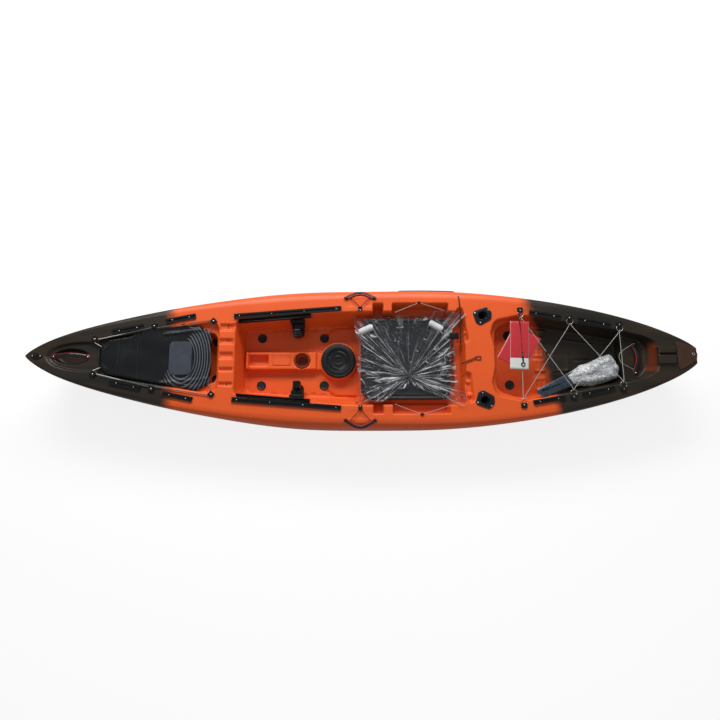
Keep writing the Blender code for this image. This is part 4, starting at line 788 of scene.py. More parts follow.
class Palette:
    """Every finish of the boat."""

    SHELL = RotomouldedPolyethylene("Rotomoulded polyethylene, orange into charcoal", "#EE6428", gleam=0.35)
    NYLON = MouldedPlastic("Moulded nylon, black", "#0B0C0D", 0.38, gleam=0.35, other="#141517")
    LID = MouldedPlastic("Moulded polypropylene, blue black", "#080B0E", 0.42, gleam=0.35, other="#101418")
    PLUG = MouldedPlastic("Moulded thermoplastic, scupper black", "#15191C", 0.5, gleam=0.4, other="#22272B")
    FLANGE = MouldedPlastic("Moulded nylon, blue black satin", "#0C1317", 0.28, other="#141E23")
    BROWN = MouldedPlastic("Moulded polyethylene, dark brown", "#3B2416", 0.5, gleam=0.4, other="#4C3324")
    RUBBER = MouldedRubber("Moulded rubber, black", "#0E0F11", 0.6, gleam=0.35, other="#1B1C1F")
    GLOSS_RUBBER = MouldedRubber("Moulded rubber, black and rubbed shiny", "#0A0B0D", 0.24, other="#1B1C21")
    GLOSS_NYLON = MouldedPlastic("Moulded nylon, black satin", "#08090A", 0.22, other="#121315")
    THREAD = CoatedCloth("Bonded polyester thread, grey", "#2E333B", 0.6, other="#3C424B")
    TRIM = MouldedRubber("Moulded rubber, dark red", "#93161E", 0.42, other="#B3262E")
    SHOCK_CORD = BraidedCord("Braided shock cord, light grey with a fleck", "#B4B4AF", 0.75, gleam=0.3)
    PALE_CORD = BraidedCord("Braided shock cord, pale grey", "#BDBDB7", 0.75, gleam=0.3, fleck="#6E6E6A")
    # The pale fore end of this cord is a painted highlight.
    COVER_CORD = LitEndCord("Braided shock cord, black and worn pale", "#343433", 0.7, gleam=0.35, fleck="#A4A49E")
    CARD = PlainCard("Laminated paperboard, red with a bare white panel", "#C9343E", 0.35)
    PLAIN_CARD = PlainCard("Laminated paperboard, red", "#C9343E", 0.35, panel=-1.0)
    TEAL_CARD = PlainCard("Laminated paperboard, grey green", "#5D7F7A", 0.4, panel=2.0, other="#5D7F7A")
    DEEP_SHELL = MouldedPlastic("Rotomoulded polyethylene, shaded", "#7E2C16", 0.45, gleam=0.3, other="#8E3620")
    BLACK_CORD = BraidedCord("Braided cord, black", "#0C0C0D", 0.75, gleam=0.3, fleck="#2C2C2E")
    MESH = WovenMesh("Open polyester mesh, charcoal", "#1C2024", 0.7, sheen=0.2, gleam=0.3)
    COVER = RibbedCloth("Coated polyester cloth, ribbed", "#040608", 0.32, gleam=0.38, other="#090D11")
    BADGE = MouldedRubber("Moulded rubber patch, slate", "#373D46", 0.55, gleam=0.3, other="#414852")
    ALUMINIUM = TurnedMetal("Powder coated aluminium tube, black", "#0C0D0F", 0.35, other="#17181A")
    STEEL = TurnedMetal("Stainless steel, turned", "#C9CBCD", 0.28, 1.0)
    BLADE = TurnedMetal("Coated aluminium sheet, dark blue", "#5E6B7A", 0.24, 0.85, other="#1E252D")
    FILM = ClearFilm("Polyethylene film, clear and creased", "#E4E7EA", 0.16)
    WRAP = BubbleWrap("Bubble wrap, silver grey", "#ECEEF0", 0.16)
    FOAM = MouldedRubber("Polyethylene foam sleeve, white", "#D3D5D7", 0.6, gleam=0.3, other="#B4B7BA")


def solid(name: str, shell: Shell, finish: Finish, body: str = "kayak",
          stands_for: tuple[str, ...] = (), sharp: float | None = 40.0) -> bpy.types.Object:
    """Make a shell into a finished piece that rides on a body.

    Args:
        name: Name of the piece.
        shell: Its surface.
        finish: Its finish.
        body: The body of the frame that carries it.
        stands_for: Nodes of the frame that it replaces.
        sharp: Edges that turn by more degrees than this stay crisp; none does where it is None.

    Returns:
        The piece's object.
    """
    mesh = bpy.data.meshes.new(name)
    count = len(shell.quads)
    mesh.vertices.add(len(shell.points))
    mesh.vertices.foreach_set("co", shell.points.astype(np.float32).ravel())
    mesh.loops.add(4 * count)
    mesh.loops.foreach_set("vertex_index", shell.quads.astype(np.int32).ravel())
    mesh.polygons.add(count)
    mesh.polygons.foreach_set("loop_start", np.arange(count, dtype=np.int32) * 4)
    mesh.uv_layers.new(name="UVMap").data.foreach_set("uv", shell.uvs.astype(np.float32).ravel())
    mesh.update(calc_edges=True)
    merged = bmesh.new()
    merged.from_mesh(mesh)
    bmesh.ops.remove_doubles(merged, verts=merged.verts, dist=2e-6)
    bmesh.ops.dissolve_degenerate(merged, edges=merged.edges, dist=1e-6)
    merged.to_mesh(mesh)
    merged.free()
    mesh.polygons.foreach_set("use_smooth", np.ones(len(mesh.polygons), bool))
    if sharp is not None:
        mesh.set_sharp_from_angle(angle=math.radians(sharp))
    mesh.materials.append(finish.material())
    piece = bpy.data.objects.new(name, mesh)
    bpy.context.scene.collection.objects.link(piece)
    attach(piece, body)
    if stands_for:
        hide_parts(*stands_for)
    LOG.info("%s: %d points on %s", name, len(mesh.vertices), body)
    return piece


def steel(name: str, shells: list[Shell]) -> None:
    """Make shells into one steel piece on the hull."""
    solid(name, Shell.union(shells), Palette.STEEL)


@dataclass
class Lines:
    """The hull's main curves, as functions of x."""

    length: float = 3.96
    beam: float = 0.85
    widest: float = 0.25
    sheer_mid: float = 0.295
    flat_span: Place = (-0.08, 0.80)
    deck_share: float = 0.87
    knots: tuple[float, ...] = (
        -1.98, -1.93, -1.86, -1.62, -1.53, -1.50, -1.285, -1.20, -0.97, -0.80, -0.08, 0.80, 0.90, 1.005, 1.235,
        1.30, 1.527, 1.62, 1.79, 1.87, 1.98)
    flare: tuple[Place, ...] = (
        (0.0, 1.0), (0.12, 0.995), (0.28, 0.975), (0.46, 0.93), (0.66, 0.84), (0.82, 0.70), (0.905, 0.55),
        (0.955, 0.40), (0.985, 0.27), (1.0, 0.0))

    def breadth(self, x: Array) -> Array:
        """Half breadth: B/2 (1 - s^2.1)^0.70 forward of the widest place, B/2 (1 - s^2)^0.63 aft of it.

        Args:
            x: Places along the boat.

        Returns:
            Half breadth at each place.
        """
        half = self.length / 2.0
        fore = np.clip((self.widest - x) / (half + self.widest), 0.0, 1.0)
        aft = np.clip((x - self.widest) / (half * 1.015 - self.widest), 0.0, 1.0)
        body = np.where(x < self.widest, (1.0 - fore ** 2.1) ** 0.70, (1.0 - aft ** 2.0) ** 0.63)
        return self.beam / 2.0 * np.maximum(body, 0.012)

    def side_breadth(self, x: Array) -> Array:
        """Half breadth of the widest line: the half breadth plus bells a exp(-((x - m) / w)^2) that fill the side.

        Args:
            x: Places along the boat.

        Returns:
            Half breadth at each place.
        """
        bells = ((0.0205, -0.40, 0.48), (0.0090, 0.50, 0.46), (-0.0050, -1.45, 0.30), (-0.0030, 1.55, 0.30))
        swell = sum(high * np.exp(-((x - middle) / wide) ** 2) for high, middle, wide in bells)
        return self.breadth(x) + swell * np.clip((self.length / 2.0 - np.abs(x)) / 0.2, 0.0, 1.0)

    def topside(self, x: Array, level: Array) -> tuple[Array, Array]:
        """Half breadth and height of the side from the widest line, level 0, up to the deck's edge, level 1.

        Args:
            x: Places along the boat.
            level: Share of the way up the side.

        Returns:
            Half breadths and heights.
        """
        edge, wide = self.deck_share * self.breadth(x), self.side_breadth(x)
        low, high = self.rub(x), self.gunwale(x)
        return edge + (wide - edge) * np.interp(level, *zip(*self.flare)), low + (high - low) * level

    def gunwale(self, x: Array) -> Array:
        """Gunwale height, straight between the knots of a curve that rises to both ends.

        Args:
            x: Places along the boat.

        Returns:
            Height at each place.
        """
        half = self.length / 2.0
        fore, aft = self.flat_span
        knots = np.array(self.knots)
        rise = np.where(
            knots < fore, 0.090 * (np.clip(fore - knots, 0.0, None) / (half + fore)) ** 2.0,
            0.050 * (np.clip(knots - aft, 0.0, None) / (half - aft)) ** 1.5)
        return np.interp(x, knots, self.sheer_mid + rise)

    def keel(self, x: Array) -> Array:
        """Keel height: flat amidships, then a rocker and the steep stem and stern post.

        Args:
            x: Places along the boat.

        Returns:
            Height at each place.
        """
        bow = np.clip((-1.20 - x) / 0.78, 0.0, 1.0)
        stern = np.clip((x - 1.30) / 0.68, 0.0, 1.0)
        return 0.050 * bow ** 2.0 + 0.270 * bow ** 9.0 + 0.040 * stern ** 2.0 + 0.180 * stern ** 8.0

    def rub(self, x: Array) -> Array:
        """Height of the widest line, which sinks by a bell amidships and rises a little to both ends."""
        ends = np.clip(np.abs(x) / (self.length / 2.0), 0.0, 1.0) ** 2.0
        return self.gunwale(x) - 0.070 - 0.100 * np.exp(-((x + 0.15) / 0.75) ** 2) + 0.040 * ends

    def plane(self, x: Array, depth: float, span: Place) -> Array:
        """Straight line that runs a depth below the gunwale's ends over a span."""
        low, high = self.gunwale(np.array(span))
        return low + (high - low) * (x - span[0]) / (span[1] - span[0]) - depth

    def stand(self, x: float, y: float, yaw: float = 0.0, lift: float = CLEARANCE) -> Matrix:
        """Place and turn of a fitting that stands on the side deck, clear of it by a lift.

        Args:
            x: Place along the boat.
            y: Place across the boat.
            yaw: Turn about the vertical.
            lift: Gap above the deck.

        Returns:
            The fitting's matrix.
        """
        fore, aft = self.gunwale(np.array([x - 0.001, x + 0.001]))
        tilt = rotation(-math.atan((aft - fore) / 0.002), "Y")
        place = Vector((x, y, float(self.gunwale(x)))) + (tilt @ Vector((0.0, 0.0, 1.0))) * lift
        return Matrix.Translation(place) @ tilt @ rotation(yaw)


LINES = Lines()
FRONT_WELL = (-1.562, -0.856)
BOW_RECESS = (-1.850, -1.552)
RECESS_DEPTH = 0.018
FOOT_FLOOR = 0.115
CONSOLE_TOP = 0.165
TANK_FLOOR = 0.170
SHELF = 0.245
HATCH_X = -0.141
SCUPPERS = ((-0.897, 0.117, 0.170), (-0.628, 0.151, FOOT_FLOOR), (-0.232, 0.151, FOOT_FLOOR),
            (0.922, 0.155, TANK_FLOOR))


@dataclass
class Well:
    """A sunk place: its wall runs from a rim outline down to a floor outline."""

    rim: Array
    floor: Array
    top: Array | float
    bottom: Array | float
    soft: float = 0.35

    def sink(self, x: Array, y: Array, z: Array) -> Array:
        """Lower the deck into the well.

        Across the wall t = a / (a + b), where a is how far a point is inside the rim and b how far outside the
        floor. The height goes from top to bottom with a mix of t and its smooth step, which rounds both edges.

        Args:
            x: Places along the boat.
            y: Places across the boat.
            z: Heights of the deck so far.

        Returns:
            Heights with the well in them.
        """
        inside = -distance(x, y, self.rim)
        outside = np.maximum(distance(x, y, self.floor), 0.0)
        share = np.clip(inside, 0.0, None) / np.maximum(np.clip(inside, 0.0, None) + outside, 1e-6)
        fall = (1.0 - self.soft) * share + self.soft * ease(share)
        wall = self.top + (self.bottom - self.top) * fall
        return np.where(inside > 0.0, np.minimum(z, wall), z)


@dataclass
class Marks:
    """Soft-edged masks over a grid of deck points, each 1 inside and 0 outside."""

    x: Array
    y: Array

    def patch(self, low_x: float, high_x: float, low_y: float, high_y: float, soft: float,
              both: bool = False) -> Array:
        """A rectangle, on both sides where it is asked for.

        Args:
            low_x: Fore edge.
            high_x: Aft edge.
            low_y: Port edge, or the inner one of both.
            high_y: Starboard edge, or the outer one of both.
            soft: Width of the soft edge.
            both: Whether the rectangle stands on both sides.

        Returns:
            The mask at each point.
        """
        where = np.abs(self.y) if both else self.y
        gap = np.minimum(np.minimum(self.x - low_x, high_x - self.x), np.minimum(where - low_y, high_y - where))
        return ease(gap / soft + 0.5)

    def trough(self, start: Place, stop: Place, half: float, soft: float) -> Array:
        """All within a half width of a line.

        Args:
            start: One end of the line.
            stop: Its other end.
            half: Half width.
            soft: Width of the soft edge.

        Returns:
            The mask at each point.
        """
        (ax, ay), dx, dy = start, stop[0] - start[0], stop[1] - start[1]
        share = np.clip(((self.x - ax) * dx + (self.y - ay) * dy) / (dx * dx + dy * dy), 0.0, 1.0)
        return ease((half - np.hypot(self.x - ax - share * dx, self.y - ay - share * dy)) / soft + 0.5)

    def disc(self, x: float, y: float, radius: float, soft: float) -> Array:
        """A circle."""
        return ease((radius - np.hypot(self.x - x, self.y - y)) / soft + 0.5)


@dataclass
class Hull:
    """Rotomoulded shell, as one surface on a grid of stations along X and places round each section."""

    counts: tuple[int, ...] = (14, 36, 24, 12, 8)
    side_count: int = 20
    bottom_count: int = 36
    spacing: float = 0.0056
    fine_spacing: float = 0.0026
    shift: float = 0.0128
    rod_hole: float = 0.026
    cuts: tuple[float, float] = (-0.800, 0.716)
    edges: tuple[float, ...] = (
        -1.845, -1.558, -1.520, -0.874, -0.858, -0.838, -0.752, -0.742, -0.722, -0.700, -0.588, -0.553, -0.440, -0.280,
        -0.025, 0.077, 0.133, 0.195, 0.530, 0.580, 0.605, 0.632, 0.648, 0.806, 0.822, 1.592, 1.770, 1.802, 1.862)
    section: tuple[Place, ...] = (
        (0.0, 0.0), (0.10, 0.012), (0.20, 0.045), (0.29, 0.012), (0.36, 0.0), (0.50, 0.0), (0.63, 0.035),
        (0.74, 0.10), (0.83, 0.21), (0.90, 0.38), (0.945, 0.54), (0.975, 0.70), (0.993, 0.87), (1.0, 1.0))
    rim_key: tuple[Place, ...] = (
        (-1.98, 0.003), (-1.8474, 0.004), (-1.7997, 0.0564), (-1.739, 0.0784), (-1.688, 0.0878), (-1.625, 0.092),
        (-1.575, 0.106), (-0.856, 0.226), (-0.762, 0.232),
        (-0.100, 0.284), (0.645, 0.284), (0.730, 0.250), (0.800, 0.222), (0.880, 0.242), (0.970, 0.256),
        (1.260, 0.214), (1.560, 0.162), (1.700, 0.125), (1.775, 0.085), (1.870, 0.060), (1.98, 0.004))
    floor_key: tuple[Place, ...] = (
        (-1.98, 0.002), (-1.8474, 0.003), (-1.800, 0.036), (-1.739, 0.060), (-1.688, 0.070), (-1.625, 0.074),
        (-1.520, 0.072), (-0.872, 0.160), (-0.728, 0.198), (-0.100, 0.233), (-0.030, 0.190), (0.580, 0.190),
        (0.700, 0.190), (0.820, 0.185), (0.970, 0.226),
        (1.260, 0.184), (1.560, 0.132), (1.700, 0.108), (1.775, 0.070), (1.870, 0.045), (1.98, 0.003))

    def stations(self) -> Array:
        """Places along X, closer together near each cross edge: the density is 1/s plus a bell at each edge.

        Returns:
            The places in order.
        """
        fine = np.linspace(-LINES.length / 2.0, LINES.length / 2.0, 20001)
        bells = np.exp(-((fine[:, None] - np.array(self.edges)) / 0.011) ** 2).sum(1)
        density = 1.0 / self.spacing + np.minimum(bells, 1.0) * (1.0 / self.fine_spacing - 1.0 / self.spacing)
        total = np.concatenate([[0.0], np.cumsum((density[1:] + density[:-1]) / 2.0 * np.diff(fine))])
        return np.interp(np.linspace(0.0, total[-1], int(total[-1])), total, fine)

    def wells(self, x: Array) -> list[Well]:
        """Every well of the deck, from the largest down to those inside it.

        Args:
            x: Places along the boat.

        Returns:
            The wells in order.
        """
        deck = LINES.gunwale(x)
        sunk = LINES.plane(x, RECESS_DEPTH, BOW_RECESS)
        turn = np.linspace(0.0, 2.0 * np.pi, 72, endpoint=False)
        circle = np.column_stack([np.cos(turn), np.sin(turn)])
        recess = np.minimum(circle * (0.2364, 0.092) + (-1.627, 0.0), (-1.556, 1.0))
        recess_floor = np.minimum(circle * (0.216, 0.076) + (-1.627, 0.0), (-1.566, 1.0))
        front = mirrored_outline(((-1.562, 0.110), (-0.856, 0.226)), (0.030, 0.050))
        front_floor = mirrored_outline(((-1.555, 0.104), (-0.863, 0.219)), (0.027, 0.046))
        tub = mirrored_outline(((-1.520, 0.072), (-0.872, 0.160)), (0.030, 0.040))
        tub_floor = mirrored_outline(((-1.508, 0.062), (-0.884, 0.148)), (0.025, 0.035))
        foot = mirrored_outline(((-0.762, 0.232), (-0.100, 0.284), (0.000, 0.284)), (0.040, 0.300, 0.004))
        foot_floor = mirrored_outline(((-0.728, 0.198), (-0.100, 0.233), (0.000, 0.233)), (0.040, 0.300, 0.004))
        bay = mirrored_outline(((-0.030, 0.284), (0.632, 0.284)), (0.004, 0.030))
        bay_floor = mirrored_outline(((-0.030, 0.272), (0.618, 0.272)), (0.004, 0.028))
        trench = mirrored_outline(((-0.024, 0.190), (0.580, 0.190)), (0.004, 0.040))
        trench_floor = mirrored_outline(((-0.014, 0.180), (0.570, 0.180)), (0.004, 0.034))
        rim = ((0.970, 0.262), (1.260, 0.214), (1.560, 0.162), (1.700, 0.125), (1.775, 0.085))
        front_wall = ((0.806, 0.062), (0.787, 0.150), (0.806, 0.228))
        radii = (0.060, 0.070, 0.050, 0.200, 0.300, 0.250, 0.060, 0.050)
        tank = mirrored_outline((*front_wall, *rim), radii)
        shelf_front = tuple((a + 0.015, b - 0.006) for a, b in front_wall)
        shelf = mirrored_outline((*shelf_front, *((a, b - 0.013) for a, b in rim[:4]), (1.728, 0.068)), radii)
        low_rim = mirrored_outline(
            ((0.820, 0.200), *((a, b - 0.015) for a, b in rim[:2]), (1.600, 0.143)), (0.080, 0.200, 0.300, 0.040))
        low = mirrored_outline(
            ((0.838, 0.184), *((a, b - 0.031) for a, b in rim[:2]), (1.582, 0.126)), (0.070, 0.190, 0.280, 0.036))
        return [
            Well(recess, recess_floor, deck, sunk, 0.9),
            Well(circle * (0.104, 0.052) + (-1.718, 0.0), circle * (0.078, 0.036) + (-1.718, 0.0),
                 sunk, LINES.plane(x, 0.050, BOW_RECESS), 0.9),
            Well(front, front_floor, deck, LINES.plane(x, 0.030, FRONT_WELL)),
            Well(tub, tub_floor, LINES.plane(x, 0.030, FRONT_WELL), 0.170),
            Well(foot, foot_floor, deck, FOOT_FLOOR, 0.25),
            Well(bay, bay_floor, deck, 0.175),
            Well(trench, trench_floor, 0.175, 0.130),
            Well(tank, shelf, deck, SHELF, 0.5),
            Well(low_rim, low, SHELF, TANK_FLOOR, 0.5),
        ]

    def relief(self, x: Array, y: Array, z: Array) -> Array:
        """Everything that patches raise or sink on the sunk deck, the tail block and the ridges under the handles.

        Args:
            x: Places along the boat.
            y: Places across the boat.
            z: Heights of the deck so far.

        Returns:
            The changed heights.
        """
        marks = Marks(x, y)
        z = self.sides(marks, z)
        z = self.console(marks, z)
        z = self.step(marks, z)
        z = self.floor_lines(marks, z)
        z = self.rear_slots(marks, z)
        z = self.tank_floor(marks, z)
        block = marks.patch(1.768, 1.868, -0.048, 0.056, 0.006)
        z = np.where(block > 0.0, np.maximum(z, LINES.gunwale(x) + 0.017 * block), z)
        z -= 0.016 * marks.patch(1.774, 1.872, 0.0065, 0.0165, 0.003)
        side = np.abs(y)
        grip = ease((0.090 - np.abs(x - SideHandle.x)) / 0.02) * ease((side - 0.315) / 0.008)
        return z - 0.004 * grip * (0.5 + 0.5 * np.sin(side / 0.011 * 2.0 * np.pi))

    def sides(self, marks: Marks, z: Array) -> Array:
        """Gunwale notches beside the seat, and the ledges under the gear tracks.

        Args:
            marks: Masks over the deck's points.
            z: Heights of the deck so far.

        Returns:
            The changed heights.
        """
        deck = LINES.gunwale(marks.x)
        for low_x, high_x in ((0.077, 0.133), (0.195, 0.530)):
            notch = marks.patch(low_x, high_x, 0.262, 0.330, 0.005, both=True)
            z = np.where(notch > 0.0, np.minimum(z, deck + (0.185 - deck) * notch), z)
        inside = np.abs(marks.y) < np.interp(marks.x, *zip(*self.rim_key)) - 0.0005
        ledge = marks.patch(-0.740, -0.305, 0.200, 0.400, 0.004, both=True) * inside
        return np.where(ledge > 0.5, np.minimum(z, 0.232), z)

    def console(self, marks: Marks, z: Array) -> Array:
        """Console with its tray, its plate's recess and the cup's bore, and the low link to the hatch.

        Args:
            marks: Masks over the deck's points.
            z: Heights of the deck so far.

        Returns:
            The changed heights.
        """
        body = marks.patch(-0.722, -0.278, -0.060, 0.060, 0.007)
        z = np.where(body > 0.0, np.maximum(z, FOOT_FLOOR + (CONSOLE_TOP - FOOT_FLOOR) * body), z)
        link = marks.patch(-0.285, -0.225, -0.058, 0.058, 0.006)
        z = np.where(link > 0.0, np.maximum(z, FOOT_FLOOR + 0.030 * link), z)
        z -= 0.042 * marks.patch(-0.700, -0.584, -0.025, 0.032, 0.005)
        z -= 0.0022 * marks.patch(-0.557, -0.436, -0.030, 0.030, 0.004)
        return z - 0.060 * marks.disc(CUP_X, 0.0, 0.043, 0.005)

    def step(self, marks: Marks, z: Array) -> Array:
        """Five grip grooves on the step, and its wall down to the foot well in three stairs.

        Args:
            marks: Masks over the deck's points.
            z: Heights of the deck so far.

        Returns:
            The changed heights.
        """
        for middle, half in ((0.186, 0.018), (0.099, 0.014), (0.012, 0.017), (-0.072, 0.009), (-0.160, 0.009)):
            z -= 0.015 * marks.patch(-0.850, -0.766, middle - half, middle + half, 0.008)
        fall = LINES.gunwale(marks.x) - FOOT_FLOOR
        level = np.clip((z - FOOT_FLOOR) / fall, 0.0, 1.0) * 3.0
        stair = (np.floor(level) + ease((level - np.floor(level) - 0.30) / 0.4)) / 3.0
        wall = marks.patch(-0.772, -0.700, -0.180, 0.180, 0.006)
        return z + wall * (FOOT_FLOOR + fall * stair - z)

    def floor_lines(self, marks: Marks, z: Array) -> Array:
        """Drain grooves from the aft scuppers, and a row of heel marks along each wall of the foot well.

        Args:
            marks: Masks over the deck's points.
            z: Heights of the deck so far.

        Returns:
            The changed heights.
        """
        for sign in (1.0, -1.0):
            route = [(-0.220, 0.172 * sign), (-0.178, 0.222 * sign), (-0.030, 0.226 * sign)]
            z -= 0.018 * strokes(marks.x, marks.y, route, 0.009) * (z < 0.19)
        for number in range(7):
            place = -0.560 + 0.062 * number
            low = 0.200 + 0.008 * (number % 2)
            z -= 0.005 * marks.patch(place, place + 0.030, low, 0.220, 0.006, both=True)
        return z

    def rear_slots(self, marks: Marks, z: Array) -> Array:
        """Slots of the seat strap in the deck aft of the seat, each with two bosses.

        Args:
            marks: Masks over the deck's points.
            z: Heights of the deck so far.

        Returns:
            The changed heights.
        """
        for start, stop, bosses in (
                ((0.604, 0.285), (0.632, 0.115), ((0.611, 0.250), (0.627, 0.155))),
                ((0.642, -0.110), (0.656, -0.250), ((0.645, -0.145), (0.653, -0.225)))):
            z -= 0.035 * marks.trough(start, stop, 0.018, 0.006) * (z > 0.2)
            for at, out in bosses:
                z += 0.014 * marks.disc(at, out, 0.012, 0.004) * (z > 0.2)
        return z

    def tank_floor(self, marks: Marks, z: Array) -> Array:
        """Raised line, slot, slotted pads, recess rim and waves of the tank well's floor.

        Args:
            marks: Masks over the deck's points.
            z: Heights of the deck so far.

        Returns:
            The changed heights.
        """
        z += 0.005 * strokes(marks.x, marks.y, [(1.256, 0.131), (1.469, 0.095)], 0.008) * (z < 0.2)
        z -= 0.006 * marks.trough((1.330, 0.0), (1.422, 0.0), 0.006, 0.004) * (z < 0.2)
        pads = ((1.075, 1.150, -0.035, 0.040), (1.075, 1.150, -0.150, 0.040), (1.100, 1.147, 0.163, 0.028),
                (1.070, 1.137, 0.052, 0.034))
        for low, high, middle, half in pads:
            pad = marks.patch(low, high, middle - half, middle + half, 0.010)
            slot = sum(marks.patch(low + share * (high - low) - 0.005, low + share * (high - low) + 0.005,
                                   middle - 0.62 * half, middle + 0.62 * half, 0.004) for share in (0.30, 0.70))
            z += (0.011 * pad - 0.014 * slot) * (z < 0.2)
        rim = (marks.patch(1.196, 1.296, -0.071, 0.060, 0.010)
               - marks.patch(1.206, 1.286, -0.061, 0.050, 0.008))
        z += 0.007 * rim * (z < 0.2)
        along = ease((marks.x - 0.84) / 0.03) * ease((1.56 - marks.x) / 0.03)
        waves = ripple(marks.x, marks.y, ((38.0, 0.0, 0.0),)) * (z < 0.18) * (np.abs(marks.y) < 0.1)
        return z + 0.002 * along * waves

    def upper(self, x: Array, y: Array) -> Array:
        """Height of the deck and everything sunk into it or standing on it.

        Args:
            x: Places along the boat.
            y: Places across the boat.

        Returns:
            Height at each point.
        """
        z = LINES.gunwale(x)
        for well in self.wells(x):
            z = well.sink(x, y, z)
        z = self.relief(x, y, z)
        for _ in range(2):
            z[1:-1] = 0.25 * z[:-2] + 0.5 * z[1:-1] + 0.25 * z[2:]
            z[:, 1:-1] = 0.25 * z[:, :-2] + 0.5 * z[:, 1:-1] + 0.25 * z[:, 2:]
        return z

    def surface(self) -> tuple[Array, Array]:
        """The whole skin as P[station, place], from the keel up starboard, over the deck and down port.

        Across the deck the places follow the console, floor, rim, notch and deck-edge lines, so walls stay crisp.

        Returns:
            Place of each station, and the points of the skin.
        """
        x = self.stations()
        breadth, keel, rub, deck = LINES.breadth(x), LINES.keel(x), LINES.rub(x), LINES.gunwale(x)
        wide = LINES.side_breadth(x)
        edge = LINES.deck_share * breadth
        rim = np.minimum(np.interp(x, *zip(*self.rim_key)), 0.80 * edge)
        floor = np.minimum(np.interp(x, *zip(*self.floor_key)), 0.85 * rim)
        keys = [np.zeros_like(x), np.minimum(0.060, 0.45 * floor), floor, rim,
                rim + np.minimum(0.332 - 0.284, 0.6 * (edge - rim)), edge]
        columns = [keys[0][:, None]]
        for low, high, count in zip(keys, keys[1:], self.counts):
            share = np.linspace(0.0, 1.0, count + 1)[1:]
            columns.append(low[:, None] + (high - low)[:, None] * share)
        half = np.concatenate(columns, 1)
        across = np.concatenate([half[:, ::-1], -half[:, 1:]], 1)
        along = np.broadcast_to(x[:, None], across.shape)
        top = self.upper(along, across)
        top[:, 0] = deck
        top[:, -1] = deck

        def sweep(table: tuple[Place, ...], count: int) -> tuple[Array, Array]:
            """Even shares along a run of section points.

            Args:
                table: Section points in order.
                count: Parts that the run is divided into.

            Returns:
                Both coordinates of the new points.
            """
            run = np.array(table)
            length = np.concatenate([[0.0], np.cumsum(np.hypot(np.diff(run[:, 0]), 0.3 * np.diff(run[:, 1])))])
            place = np.linspace(0.0, length[-1], count + 1)
            return np.interp(place, length, run[:, 0]), np.interp(place, length, run[:, 1])

        share_low, level_low = sweep(self.section, self.bottom_count)
        low_y = wide[:, None] * share_low
        low_z = keel[:, None] + (rub - keel)[:, None] * level_low
        up_y, up_z = LINES.topside(x[:, None], np.linspace(0.0, 1.0, self.side_count)[None] ** 0.6)
        bead = np.exp(-((up_y - LINES.deck_share * breadth[:, None] - 0.010) / 0.004) ** 2)
        up_z = up_z - 0.004 * bead * np.clip(breadth[:, None] / 0.2, 0.0, 1.0)
        side_y = np.concatenate([low_y, up_y[:, 1:-1]], 1)
        side_z = np.concatenate([low_z, up_z[:, 1:-1]], 1)
        for at, out, _ in SCUPPERS:
            pit = ease((0.020 - np.hypot(x[:, None] - at, side_y - out)) / 0.006)
            side_z = side_z + 0.030 * pit * (side_z < 0.1)
        ring_y = np.concatenate([side_y, across, -side_y[:, :0:-1]], 1)
        ring_z = np.concatenate([side_z, top, side_z[:, :0:-1]], 1)
        seen = x + self.shift * ease((np.abs(x) - 1.78) / 0.20)
        return seen, np.stack([np.broadcast_to(seen[:, None], ring_y.shape), ring_y, ring_z], -1)

    def build(self) -> None:
        """Make the bow, the middle and the stern, each a closed surface whose cut ends meet inside the deck."""
        x, points = self.surface()
        bounds = [-10.0, *self.cuts, 10.0]
        for name, low, high in zip(("hull_bow", "hull_middle", "hull_stern"), bounds, bounds[1:]):
            first = max(int(np.searchsorted(x, low)) - 1, 0)
            last = min(int(np.searchsorted(x, high)), len(x))
            part = points[first:last]
            shell = Shell.grid(capped(part), wrap_columns=True).flipped()
            if name == "hull_stern":
                middle = shell.points[shell.quads].mean(1)
                out = np.hypot(middle[:, 0] - RodHolder.x, np.abs(middle[:, 1]) - RodHolder.y)
                keep = (out >= self.rod_hole) | (middle[:, 2] <= SHELF + 0.005)
                shell = Shell(shell.points, shell.quads[keep], shell.uvs[keep])
            piece = solid(name, shell, Palette.SHELL, stands_for=("hull",), sharp=None)
            self.crisp_ends(piece.data, (float(x[first]), float(x[last - 1])))

    def crisp_ends(self, mesh: bpy.types.Mesh, ends: tuple[float, float]) -> None:
        """Keep the flat cut ends from bending the light on the skin beside them.

        Args:
            mesh: Mesh of one part of the hull.
            ends: X of the part's two ends.
        """
        places = np.empty(3 * len(mesh.vertices), np.float32)
        mesh.vertices.foreach_get("co", places)
        along = places.reshape(-1, 3)[:, 0]
        edges = np.empty(2 * len(mesh.edges), np.int32)
        mesh.edges.foreach_get("vertices", edges)
        pair = along[edges.reshape(-1, 2)]
        crisp = np.zeros(len(mesh.edges), bool)
        for end in ends:
            crisp |= (np.abs(pair - end) < 1e-5).all(1)
        mesh.edges.foreach_set("use_edge_sharp", crisp)


def fillet_route(corners: Array, radius: float, steps: int = 5, closed: bool = True) -> Array:
    """Route through corners with an arc at each, from the rational curve that draws a circle's arc exactly.

    Args:
        corners: Corners in order.
        radius: Radius of the arcs.
        steps: Parts of each arc.
        closed: Whether the route closes on itself.

    Returns:
        Points of the route.
    """
    if closed:
        return rounded(corners, radius, steps)
    arcs = rounded(corners, radius, steps).reshape(len(corners), steps + 1, corners.shape[1])
    return np.concatenate([corners[:1], arcs[1:-1].reshape(-1, corners.shape[1]), corners[-1:]])


